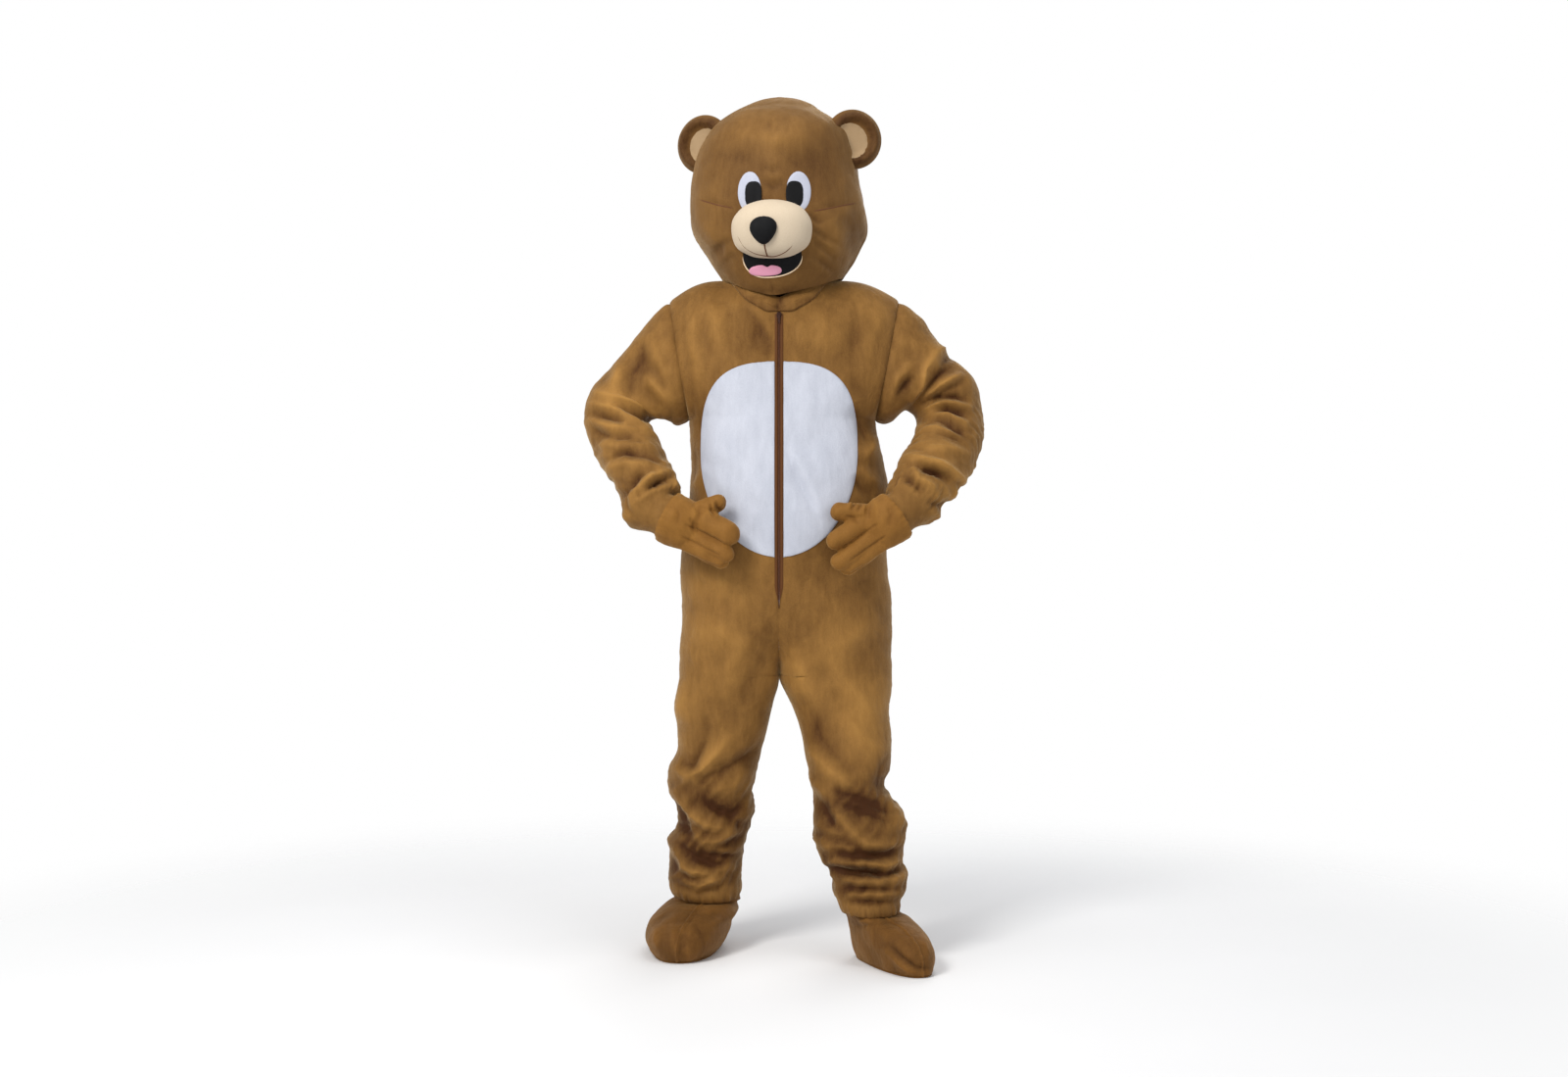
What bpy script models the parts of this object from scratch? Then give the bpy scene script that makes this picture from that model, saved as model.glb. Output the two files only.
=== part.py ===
"""Bear mascot costume, worn: a plush jumpsuit with a belly patch and zip, a head, gloves and foot covers.

Every piece is cloth of its real thickness round an empty hollow, so the costume keeps the pose of a
wearer who is not there. Lengths are metres. Tables give heights above the soles; the part's own origin is
where the wearer's shoulders carry the suit. The costume faces -Y, and its right-hand pieces lie at -X.
"""

import math

import bmesh
import bpy
import numpy as np

for leftover in list(bpy.data.objects):
    bpy.data.objects.remove(leftover)

# ---- Driving dimensions -------------------------------------------------------------------------

HOLD_HEIGHT = 1.420  # the inside of the neck, where the shoulders carry the suit, above the soles
PLUSH = 0.0025  # short-pile plush, backing and pile
SEAM = 0.0003  # what two sewn pieces stand apart
SQUARENESS = 2.3  # exponent of the body's rounded sections, 2 being an ellipse

CHEST = 1.250  # height of the row where the armhole is deepest
UNDERARM = 1.147
FORK_TOP = 0.800  # the two trouser halves start to part below this height
CROTCH = 0.597
HEM = 0.116  # height of the trouser legs' gathered lower edges
HEM_DIP = 0.012  # how much lower they hang in front and behind than at the sides
NECK_HALF_WIDTH = 0.118
NECK_SIDE = 1.452  # height of the neckline at the shoulder seam
NECK_FRONT = 1.376
NECK_BACK = 1.454
NECK_RISE = -0.3  # how the shoulder line would go on rising over the neck hole
SHOULDER_ROUND = 0.014  # how far the shoulder seam rises over a straight line
ZIP_TOP = 1.368
ZIP_FOOT = 0.745
ZIP_HALF_OPENING = 0.003

RIGHT, LEFT = -1, 1
FRONT, BACK = -1, 1
SIDE_NAME = {RIGHT: "right", LEFT: "left"}


def table(columns, rows):
    """A short table as a dict of named columns, rising in its first column."""
    ordered = np.array(sorted(rows), float)
    return dict(zip(columns.split(), ordered.T))


# The outline of each half of the suit: how far its outer side, and below the crotch its inner leg, lie
# from the middle, and how far back its side seam runs. The left foot stands a short step forward.
OUTLINE = {
    RIGHT: table(
        "height outer inner seam",
        [
            (1.147, 0.196, 0.0, 0.0),
            (1.050, 0.191, 0.0, 0.0),
            (0.950, 0.200, 0.0, 0.0),
            (0.855, 0.213, 0.0, 0.0),
            (0.750, 0.211, 0.0, 0.0),
            (0.700, 0.209, 0.0, 0.0),
            (0.650, 0.214, 0.0, 0.0),
            (0.597, 0.216, 0.0, 0.0),
            (0.523, 0.224, 0.015, 0.004),
            (0.470, 0.221, 0.028, 0.010),
            (0.425, 0.223, 0.038, 0.018),
            (0.392, 0.241, 0.047, 0.024),
            (0.340, 0.240, 0.060, 0.030),
            (0.302, 0.226, 0.055, 0.034),
            (0.262, 0.226, 0.064, 0.038),
            (0.236, 0.243, 0.071, 0.040),
            (0.205, 0.241, 0.080, 0.043),
            (0.160, 0.245, 0.084, 0.045),
            (0.138, 0.243, 0.081, 0.045),
            (0.116, 0.237, 0.079, 0.045),
        ],
    ),
    LEFT: table(
        "height outer inner seam",
        [
            (1.147, 0.209, 0.0, 0.0),
            (1.100, 0.216, 0.0, 0.0),
            (1.050, 0.229, 0.0, 0.0),
            (0.990, 0.240, 0.0, 0.0),
            (0.855, 0.234, 0.0, 0.0),
            (0.750, 0.245, 0.0, 0.0),
            (0.650, 0.245, 0.0, 0.0),
            (0.597, 0.243, 0.0, 0.0),
            (0.523, 0.237, 0.030, -0.010),
            (0.474, 0.241, 0.046, -0.025),
            (0.425, 0.243, 0.057, -0.045),
            (0.400, 0.240, 0.063, -0.055),
            (0.370, 0.228, 0.068, -0.062),
            (0.345, 0.235, 0.075, -0.070),
            (0.303, 0.264, 0.072, -0.080),
            (0.245, 0.268, 0.076, -0.092),
            (0.215, 0.259, 0.086, -0.098),
            (0.180, 0.270, 0.108, -0.105),
            (0.150, 0.268, 0.114, -0.112),
            (0.132, 0.259, 0.122, -0.117),
            (0.116, 0.262, 0.124, -0.120),
        ],
    ),
}

# How deep the suit is in front of and behind its side seams.
DEPTH = table(
    "height front back",
    [
        (1.450, 0.116, 0.112),
        (1.250, 0.126, 0.118),
        (1.147, 0.136, 0.118),
        (1.000, 0.152, 0.112),
        (0.900, 0.158, 0.124),
        (0.800, 0.148, 0.142),
        (0.700, 0.132, 0.146),
        (0.597, 0.114, 0.126),
        (0.500, 0.104, 0.112),
        (0.400, 0.098, 0.104),
        (0.300, 0.092, 0.098),
        (0.200, 0.088, 0.090),
        (0.116, 0.084, 0.082),
    ],
)

# Each armhole is flat: it runs from the shoulder point down to the underarm, and is this deep fore and aft.
ARMHOLE = {
    RIGHT: {"top_x": 0.2385, "top_height": 1.406, FRONT: 0.082, BACK: 0.078},
    LEFT: {"top_x": 0.2600, "top_height": 1.409, FRONT: 0.082, BACK: 0.078},
}

# The largest folds of the suit, each a soft ridge (or, below 0, a trough) from one point to another as
# seen from in front or behind. The columns are the sideways place and height of both ends, how far the
# fold stands out, and its half-width.
SUIT_FOLDS = {
    FRONT: [
        (-0.225, 0.455, -0.130, 0.400, -0.012, 0.020),
        (-0.215, 0.375, -0.110, 0.470, 0.012, 0.022),
        (-0.200, 0.330, -0.090, 0.300, 0.010, 0.020),
        (-0.220, 0.300, -0.110, 0.245, -0.010, 0.016),
        (-0.215, 0.215, -0.100, 0.225, -0.009, 0.014),
        (-0.225, 0.180, -0.095, 0.165, 0.009, 0.015),
        (-0.215, 0.140, -0.100, 0.150, -0.007, 0.012),
        (0.060, 0.410, 0.150, 0.320, 0.010, 0.020),
        (0.225, 0.385, 0.120, 0.340, -0.011, 0.018),
        (0.100, 0.285, 0.250, 0.265, 0.012, 0.018),
        (0.085, 0.235, 0.245, 0.230, -0.010, 0.014),
        (0.095, 0.205, 0.245, 0.200, 0.009, 0.014),
        (0.110, 0.168, 0.255, 0.172, -0.008, 0.012),
        (0.125, 0.140, 0.250, 0.142, 0.007, 0.012),
        (-0.150, 1.360, -0.190, 1.200, 0.008, 0.018),
        (-0.110, 1.360, -0.045, 1.270, -0.006, 0.016),
        (0.165, 1.350, 0.205, 1.190, 0.007, 0.018),
        (0.205, 1.120, 0.150, 0.960, -0.008, 0.020),
        (-0.060, 0.700, -0.120, 0.560, 0.006, 0.025),
    ],
    BACK: [
        (-0.180, 1.340, -0.100, 1.180, 0.008, 0.022),
        (0.180, 1.340, 0.100, 1.180, 0.008, 0.022),
        (-0.150, 1.040, 0.000, 0.980, -0.008, 0.024),
        (0.150, 1.030, 0.010, 0.960, 0.008, 0.022),
        (-0.170, 0.700, -0.070, 0.640, -0.010, 0.022),
        (0.180, 0.690, 0.080, 0.630, -0.010, 0.022),
        (-0.200, 0.440, -0.080, 0.400, 0.011, 0.022),
        (0.210, 0.430, 0.090, 0.400, 0.011, 0.022),
        (-0.210, 0.320, -0.090, 0.340, -0.010, 0.020),
        (0.240, 0.310, 0.100, 0.330, -0.010, 0.020),
        (-0.220, 0.240, -0.090, 0.220, 0.010, 0.016),
        (0.250, 0.240, 0.110, 0.220, 0.010, 0.016),
        (-0.215, 0.170, -0.100, 0.160, -0.008, 0.013),
        (0.250, 0.165, 0.120, 0.160, -0.008, 0.013),
    ],
}

# The belly patch: an egg shape round a middle height, parted by the zip.
BELLY = {
    "middle_height": 1.075,
    "half_width": 0.166,
    "up": 0.190,
    "down": 0.222,
    "up_power": 3.0,
    "down_power": 2.0,
    "gap": 0.0095,
    "near": -0.25,  # the outline is cut from the panel between these two places fore and aft
    "far": -0.02,
}
ZIP_CHAIN = 0.005  # width of the closed chain
SLIDER = {
    "down": 0.45,  # where it stands, as a share of the way from the zip's top to its next row
    "half_width": 0.0048,
    "half_length": 0.006,
    "plate": 0.0022,
    "pin_out": 0.0046,
    "pin_up": 0.0020,
    "pin_radius": 0.0007,
    "lug_half_height": 0.0019,
    "lug_over_pin": 0.0016,
    "eye_radius": 0.0018,
    "pull": 0.020,
    "pull_half_width": 0.0024,
    "pull_half_thickness": 0.0007,
    "pull_below_pin": 0.0004,
}
COLLAR = {"front": 0.030, "back": 0.014, "thickness": 0.003}
COLLAR_ROWS = [(0.0, 0.0), (0.35, 0.1), (0.7, 0.35), (1.0, 0.8)]  # shares of its height and of its lean

# Each sleeve from the armhole (station 0) to its gathered end in the glove (station 1): the edge far from
# the body and the edge near it, how far forward they lie, and half of the sleeve's depth.
SLEEVE_RADIUS = 0.070  # what turns an angle round the sleeve into a length, for its folds
SLEEVE = {
    RIGHT: table(
        "station far_x far_height near_x near_height forward half_depth",
        [
            (0.00, 0.2385, 1.406, 0.196, 1.147, 0.000, 0.080),
            (0.08, 0.270, 1.374, 0.204, 1.148, 0.000, 0.080),
            (0.17, 0.307, 1.327, 0.220, 1.157, -0.005, 0.078),
            (0.26, 0.351, 1.282, 0.241, 1.163, -0.010, 0.076),
            (0.35, 0.392, 1.236, 0.262, 1.161, -0.010, 0.074),
            (0.43, 0.416, 1.198, 0.274, 1.151, -0.005, 0.072),
            (0.51, 0.422, 1.157, 0.277, 1.133, 0.010, 0.070),
            (0.59, 0.413, 1.116, 0.266, 1.106, 0.034, 0.068),
            (0.67, 0.393, 1.072, 0.249, 1.078, 0.062, 0.067),
            (0.75, 0.366, 1.027, 0.231, 1.050, 0.094, 0.066),
            (0.83, 0.342, 0.974, 0.217, 1.020, 0.124, 0.062),
            (0.90, 0.321, 0.914, 0.213, 0.992, 0.148, 0.054),
            (0.95, 0.290, 0.895, 0.208, 0.970, 0.160, 0.043),
            (1.00, 0.252, 0.897, 0.205, 0.958, 0.167, 0.036),
        ],
    ),
    LEFT: table(
        "station far_x far_height near_x near_height forward half_depth",
        [
            (0.00, 0.2600, 1.409, 0.209, 1.147, 0.000, 0.080),
            (0.08, 0.300, 1.367, 0.226, 1.164, 0.000, 0.080),
            (0.17, 0.337, 1.322, 0.250, 1.184, -0.005, 0.078),
            (0.26, 0.380, 1.278, 0.274, 1.176, -0.010, 0.077),
            (0.35, 0.424, 1.240, 0.291, 1.158, -0.010, 0.076),
            (0.43, 0.436, 1.203, 0.299, 1.142, -0.005, 0.074),
            (0.51, 0.443, 1.153, 0.298, 1.119, 0.010, 0.072),
            (0.59, 0.441, 1.106, 0.287, 1.100, 0.034, 0.070),
            (0.67, 0.424, 1.061, 0.272, 1.078, 0.062, 0.068),
            (0.75, 0.394, 1.017, 0.253, 1.050, 0.094, 0.067),
            (0.83, 0.361, 0.971, 0.239, 1.021, 0.124, 0.063),
            (0.90, 0.334, 0.926, 0.228, 0.996, 0.148, 0.054),
            (0.95, 0.300, 0.914, 0.224, 0.980, 0.160, 0.043),
            (1.00, 0.266, 0.908, 0.221, 0.967, 0.167, 0.036),
        ],
    ),
}

# Folds of the sleeves. Columns: how far round from the top edge (as a length, front first) and how far
# along each end lies, how far the fold stands out, and its half-width.
SLEEVE_FOLDS = {
    RIGHT: [
        (0.020, 0.155, 0.190, 0.115, 0.011, 0.012),
        (0.010, 0.182, 0.190, 0.145, -0.013, 0.012),
        (0.000, 0.215, 0.170, 0.185, 0.008, 0.011),
        (0.020, 0.245, 0.190, 0.205, -0.008, 0.011),
        (0.030, 0.285, 0.185, 0.235, 0.009, 0.012),
        (0.010, 0.315, 0.180, 0.270, -0.008, 0.011),
        (0.020, 0.060, 0.090, 0.110, 0.006, 0.018),
        (0.240, 0.190, 0.400, 0.150, 0.009, 0.014),
        (0.250, 0.250, 0.390, 0.230, -0.009, 0.014),
        (0.250, 0.300, 0.380, 0.290, 0.008, 0.012),
    ],
    LEFT: [
        (0.060, 0.050, 0.150, 0.110, 0.007, 0.014),
        (0.040, 0.090, 0.180, 0.140, -0.008, 0.013),
        (0.020, 0.190, 0.185, 0.150, 0.009, 0.012),
        (0.015, 0.215, 0.185, 0.180, -0.010, 0.011),
        (0.040, 0.250, 0.170, 0.215, 0.009, 0.012),
        (0.020, 0.285, 0.150, 0.235, -0.010, 0.012),
        (0.040, 0.310, 0.190, 0.285, 0.009, 0.011),
        (0.240, 0.180, 0.400, 0.150, 0.009, 0.014),
        (0.250, 0.240, 0.390, 0.220, -0.009, 0.014),
        (0.250, 0.295, 0.380, 0.285, 0.008, 0.012),
    ],
}

# The head, by rows down its profile: how far each lies below the crown, and its four half-sizes.
CROWN = 1.8516
HEAD_TURN = -5  # degrees, the face looking slightly to its right
HEAD_SQUARENESS = 2.2
HEAD_WALL = 0.003
HEAD = table(
    "turn drop right left front back",
    [
        (0, 0.000, 0.000, 0.000, 0.000, 0.000),
        (12, 0.0085, 0.040, 0.049, 0.046, 0.046),
        (22, 0.0215, 0.070, 0.0745, 0.074, 0.074),
        (31, 0.0343, 0.096, 0.0925, 0.097, 0.096),
        (42, 0.052, 0.123, 0.122, 0.126, 0.124),
        (55, 0.083, 0.150, 0.153, 0.156, 0.150),
        (68, 0.125, 0.174, 0.167, 0.176, 0.168),
        (80, 0.178, 0.187, 0.173, 0.188, 0.176),
        (90, 0.230, 0.192, 0.183, 0.192, 0.178),
        (102, 0.282, 0.190, 0.192, 0.190, 0.172),
        (112, 0.307, 0.181, 0.189, 0.188, 0.165),
        (122, 0.333, 0.166, 0.177, 0.182, 0.155),
        (132, 0.358, 0.150, 0.163, 0.172, 0.143),
        (142, 0.384, 0.132, 0.147, 0.160, 0.130),
        (152, 0.410, 0.112, 0.128, 0.146, 0.116),
        (164, 0.446, 0.081, 0.098, 0.123, 0.095),
    ],
)
HEAD_RIM = {"side": 147.3, "front": 164}  # the profile rows where the head's open rim lies

# Face pieces, each by its middle and half-sizes as seen from in front; x is from the face's own middle.
EYE = {"x": 0.051, "height": 1.615, "half_width": 0.025, "half_height": 0.042, "thickness": 0.002}
PUPIL = {"x": 0.0425, "height": 1.609, "half_width": 0.0175, "half_height": 0.027, "thickness": 0.0015}
EYES_MIDDLE = 0.006  # the eyes are sewn on this far to the left of the muzzle's middle
MUZZLE = {"x": 0.001, "height": 1.5370, "half_width": 0.083, "half_height": 0.0600}
MUZZLE_BULGE = 0.052
MUZZLE_WALL = 0.003
NOSE = {"x": -0.011, "height": 1.537, "half_width": 0.0225, "half_height": 0.0205}
NOSE_EDGE, NOSE_BULGE = 0.002, 0.014
MOUTH = {"half_width": 0.061, "foot": 1.4420, "thickness": 0.0015}
TONGUE = {"x": -0.015, "height": 1.4545, "half_width": 0.034, "half_height": 0.0108, "thickness": 0.0025}
EAR = {RIGHT: -0.1615, LEFT: 0.164, "y": -0.030, "height": 1.747, "half_width": 0.0625, "half_height": 0.063}
EAR_TURN, EAR_LEAN = 18, 6  # degrees, how far it faces outward and leans from upright
EAR_DISH, EAR_ROLL, EAR_BACK = 0.004, 0.012, 0.016  # front's middle, the roll over it, and the bulge behind
EAR_INNER = 0.002
EAR_RINGS = [0, 0.2, 0.38, 0.55, 0.68, 0.80, 0.91, 0.98]  # shares of the ear's half-sizes
EAR_INNER_RINGS = 4  # how many of them the inner ear covers

# Gloves, in metres along the hand (from the cuff), across it (toward the thumb) and through it.
GLOVE_PLACE = {
    RIGHT: {
        "cuff": (-0.2335, -0.166, 0.938),
        "fingers": (0.865, -0.243, -0.437),
        "thumb": (0.451, 0.0, 0.892),
    },
    LEFT: {
        "cuff": (0.2463, -0.166, 0.942),
        "fingers": (-0.800, -0.220, -0.560),
        "thumb": (-0.573, 0.0, 0.820),
    },
}
GLOVE_WALL = 0.003
PALM = table(
    "along half_width half_depth",
    [
        (0.000, 0.0510, 0.046),
        (0.020, 0.0530, 0.045),
        (0.045, 0.0525, 0.040),
        (0.068, 0.0460, 0.032),
        (0.088, 0.0340, 0.024),
        (0.102, 0.0180, 0.014),
    ],
)
KNUCKLES = 0.060  # how far along the hand the fingers' round forms begin
FINGERS = {  # across at the root, across at the tip, through at the tip, reach along, radius
    RIGHT: [
        (0.0270, 0.0250, 0.004, 0.160, 0.0245),
        (-0.0115, -0.0130, 0.000, 0.167, 0.0185),
        (-0.0300, -0.0290, -0.012, 0.160, 0.0165),
    ],
    LEFT: [
        (0.0255, 0.0290, 0.003, 0.160, 0.0190),
        (-0.0105, -0.0130, 0.000, 0.176, 0.0190),
        (-0.0300, -0.0300, -0.012, 0.166, 0.0160),
    ],
}
THUMB = {
    RIGHT: {"root": (0.050, 0.036, 0.0), "tip": (0.095, 0.085, -0.004), "radius": 0.0180},
    LEFT: {"root": (0.058, 0.044, 0.0), "tip": (0.111, 0.084, -0.004), "radius": 0.0195},
}

# Foot covers: where the ankle stands, which way the toes point, how far aside of the ankle the sole's
# middle lies, how wide the ankle is, how far the slack upper overhangs the sole, and the sizes of the
# sole's outline, whose half-widths are at the heel and at the ball.
FOOT_PLACE = {
    RIGHT: {"ankle": (-0.159, 0.045), "turn": 5, "aside": -0.037, "ankle_half_width": 0.0720, "slack": 0.022},
    LEFT: {"ankle": (0.194, -0.116), "turn": -20, "aside": 0.030, "ankle_half_width": 0.0605, "slack": 0.009},
}
FOOT = {"toe": 0.204, "heel": 0.082}
FOOT_HALF_WIDTHS = {RIGHT: (0.056, 0.070), LEFT: (0.050, 0.058)}
FOOT_DOME = 0.098  # height of the upper where it meets the ankle
FOOT_DOME_SHARES = [0, 0.20, 0.42, 0.62, 0.80, 0.93, 1.0]
ANKLE = {"front": 0.068, "back": 0.066, "top": 0.160}
SOLE = 0.004

# ---- Curves and walls ---------------------------------------------------------------------------


def smooth(at, knots, values):
    """A smooth curve through a table's column, with slopes taken from the neighbouring rows."""
    at = np.asarray(at, float)
    slopes = np.gradient(values, knots)
    i = np.clip(np.searchsorted(knots, at) - 1, 0, len(knots) - 2)
    step = knots[i + 1] - knots[i]
    t = np.clip((at - knots[i]) / step, 0, 1)
    start = values[i] * (1 + 2 * t) * (1 - t) ** 2 + values[i + 1] * t * t * (3 - 2 * t)
    return start + step * (slopes[i] * t * (1 - t) ** 2 - slopes[i + 1] * t * t * (1 - t))


def ease(t):
    """0 to 1 with a soft start and end."""
    t = np.clip(t, 0, 1)
    return t * t * (3 - 2 * t)


def mix(a, b, share):
    return a + (b - a) * share


def unit(vectors):
    vectors = np.asarray(vectors, float)
    return vectors / np.maximum(np.linalg.norm(vectors, axis=-1, keepdims=True), 1e-12)


def rounded_depth(x, half_width, depth):
    """The depth of a rounded section at x across it."""
    return depth * (1 - np.clip(np.abs(x) / half_width, 0, 1) ** SQUARENESS) ** (1 / SQUARENESS)


def normals(grid, away, closed=False):
    """Unit normals of a grid of points, rows by columns, on the side that away points to.

    Closed: the columns go all round."""
    wide = np.concatenate([grid[:, -1:], grid, grid[:, :1]], axis=1) if closed else grid
    along_columns = np.gradient(wide, axis=1)
    if closed:
        along_columns = along_columns[:, 1:-1]
    found = unit(np.cross(along_columns, np.gradient(grid, axis=0)))
    return found if np.sum(found * away) > 0 else -found


def fold_relief(x, along, folds):
    """How far the folds of a table move each point out, by its distance from each fold's line."""
    total = np.zeros_like(x)
    for x0, along0, x1, along1, relief, reach in folds:
        run = np.array([x1 - x0, along1 - along0])
        share = ((x - x0) * run[0] + (along - along0) * run[1]) / (run @ run)
        on_line = np.clip(share, 0, 1)
        away = np.hypot(x - x0 - on_line * run[0], along - along0 - on_line * run[1])
        fullness = 0.35 + 0.65 * np.sin(math.pi * np.clip(share, 0, 1))
        total += relief * fullness * np.exp(-((away / reach) ** 2))
    return total


def turned_z(points, degrees):
    """Points turned about the upright axis."""
    c, s = math.cos(math.radians(degrees)), math.sin(math.radians(degrees))
    return np.asarray(points) @ np.array([[c, s, 0], [-s, c, 0], [0, 0, 1]])


def new_material(name, colour, roughness=0.9, metallic=0.0):
    made = bpy.data.materials.new(name)
    made.use_nodes = True
    shader = made.node_tree.nodes["Principled BSDF"]
    shader.inputs["Base Color"].default_value = (*colour, 1)
    shader.inputs["Roughness"].default_value = roughness
    shader.inputs["Metallic"].default_value = metallic
    return made


BROWN = new_material("brown_plush", (0.29, 0.145, 0.035))
DARK_BROWN = new_material("dark_brown_plush", (0.19, 0.085, 0.018))
WHITE = new_material("white_plush", (0.72, 0.74, 0.80))
CREAM = new_material("cream_fleece", (0.78, 0.66, 0.47))
BEIGE = new_material("beige_plush", (0.56, 0.40, 0.25))
BLACK = new_material("black_felt", (0.006, 0.006, 0.007))
PINK = new_material("pink_felt", (0.75, 0.36, 0.42))
ZIP_BROWN = new_material("zip_brown", (0.085, 0.026, 0.012), 0.6)
ZIP_LACQUER = new_material("zip_lacquer", (0.07, 0.03, 0.018), 0.4, 0.6)


def solid_from(name, mesh, material):
    """Puts a bmesh of points above the soles into the scene as a named solid, about the part's own origin."""
    bmesh.ops.remove_doubles(mesh, verts=mesh.verts, dist=1e-6)
    bmesh.ops.recalc_face_normals(mesh, faces=mesh.faces)
    bmesh.ops.translate(mesh, verts=mesh.verts, vec=(0, 0, -HOLD_HEIGHT))
    data = bpy.data.meshes.new(name)
    mesh.to_mesh(data)
    mesh.free()
    data.shade_smooth()
    data.materials.append(material)
    made = bpy.data.objects.new(name, data)
    bpy.context.scene.collection.objects.link(made)
    return made


def wall_mesh(outer, inner, closed=False):
    """A closed wall between two grids of points, with a rim along each open edge.

    A row whose points all coincide is a pole."""
    mesh = bmesh.new()
    rows, columns = outer.shape[:2]
    sheets = [[[mesh.verts.new(point) for point in row] for row in grid] for grid in (outer, inner)]
    steps = columns if closed else columns - 1
    for sheet in sheets:
        for r in range(rows - 1):
            for c in range(steps):
                d = (c + 1) % columns
                mesh.faces.new((sheet[r][c], sheet[r][d], sheet[r + 1][d], sheet[r + 1][c]))
    rims = [[(r, c) for c in range(columns)] + ([(r, 0)] if closed else []) for r in (0, rows - 1)]
    if not closed:
        rims += [[(r, c) for r in range(rows)] for c in (0, columns - 1)]
    for rim in rims:
        for (r, c), (s, d) in zip(rim, rim[1:]):
            mesh.faces.new((sheets[0][r][c], sheets[0][s][d], sheets[1][s][d], sheets[1][r][c]))
    return mesh


def capped_mesh(grid):
    """A closed body from a grid whose columns go all round, with its first and last rows filled."""
    mesh = bmesh.new()
    rows = [[mesh.verts.new(point) for point in row] for row in grid]
    for upper, lower in zip(rows, rows[1:]):
        for c in range(len(upper)):
            d = (c + 1) % len(upper)
            mesh.faces.new((upper[c], upper[d], lower[d], lower[c]))
    for row in (rows[0], rows[-1]):
        if (row[0].co - row[1].co).length > 1e-6:
            mesh.faces.new(row)
    return mesh


def cutter(made):
    """Marks a helper that only shapes its neighbours."""
    made.hide_render = True
    made.display_type = "WIRE"
    return made


def boolean(made, other, operation):
    modifier = made.modifiers.new(f"{operation.lower()}_{other.name}", "BOOLEAN")
    modifier.operation = operation
    modifier.object = other
    return made


# ---- The suit's body ----------------------------------------------------------------------------


def armhole_x(side, height):
    hole, low = ARMHOLE[side], OUTLINE[side]["outer"][-1]
    return low + (hole["top_x"] - low) * (height - UNDERARM) / (hole["top_height"] - UNDERARM)


def armhole_normal(side):
    """The direction in which the sleeve leaves the flat armhole."""
    lean = (armhole_x(side, CHEST) - armhole_x(side, UNDERARM)) / (CHEST - UNDERARM)
    return unit([side, 0.0, -lean])


def shoulder_height(side, x):
    """Height of the shoulder seam, and of the shape that it would have over the neck hole."""
    hole = ARMHOLE[side]
    slope = (hole["top_height"] - NECK_SIDE) / (hole["top_x"] - NECK_HALF_WIDTH)
    beyond = x - NECK_HALF_WIDTH
    share = np.clip(beyond / (hole["top_x"] - NECK_HALF_WIDTH), 0, 1)
    rise = np.where(beyond > 0, slope, NECK_RISE) * beyond
    return NECK_SIDE + rise + SHOULDER_ROUND * np.sin(math.pi * share)


def depth_at(face, height):
    return smooth(height, DEPTH["height"], DEPTH["front" if face == FRONT else "back"])


def seam_y(side, height):
    return smooth(height, OUTLINE[side]["height"], OUTLINE[side]["seam"])


def centre_edge(face, height):
    """How far from the middle a panel's centre edge lies: half the zip's opening, or half a seam."""
    opening = ease((height - ZIP_FOOT) / 0.03) if face == FRONT else 0.0
    return mix(SEAM / 2, ZIP_HALF_OPENING, opening)


def section(side, face, height):
    """Middle, half-width and depth of one half of the suit's rounded section, at a height up to the chest."""
    depth = depth_at(face, height)
    if height > UNDERARM:
        down = math.sqrt(max(0.0, 1 - ((CHEST - height) / (CHEST - UNDERARM)) ** 2))
        opening = ARMHOLE[side][face] * down
        return 0.0, armhole_x(side, height) / (1 - (opening / depth) ** SQUARENESS) ** (1 / SQUARENESS), depth
    outer = float(smooth(height, OUTLINE[side]["height"], OUTLINE[side]["outer"]))
    if height > CROTCH:
        parting = (max(0.0, FORK_TOP - height) / (FORK_TOP - CROTCH)) ** 1.3
        return outer * parting / (1 + parting), outer / (1 + parting), depth
    inner = float(smooth(height, OUTLINE[side]["height"], OUTLINE[side]["inner"]))
    return (outer + inner) / 2, (outer - inner) / 2, depth


def section_row(side, face, height, across):
    """Points of a level row of a panel, from its centre edge (across 0) to its armhole or side seam (1)."""
    middle, half_width, depth = section(side, face, height)
    first, last = -math.pi / 2, math.pi / 2
    if height > CROTCH:
        inside = middle - float(centre_edge(face, height))
        first = -math.atan2(inside, rounded_depth(inside, half_width, depth))
    if height > UNDERARM:
        edge = armhole_x(side, height)
        last = math.atan2(edge, rounded_depth(edge, half_width, depth))
    turn = mix(first, last, across)
    sideways, deep = np.abs(np.sin(turn)) / half_width, np.abs(np.cos(turn)) / depth
    reach = (sideways**SQUARENESS + deep**SQUARENESS) ** (-1 / SQUARENESS)
    x = np.maximum(middle + reach * np.sin(turn), SEAM / 2)
    y = np.maximum(reach * np.cos(turn), SEAM / 2)
    return np.stack([side * x, seam_y(side, height) + face * y, np.full_like(x, height)], axis=-1)


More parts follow.
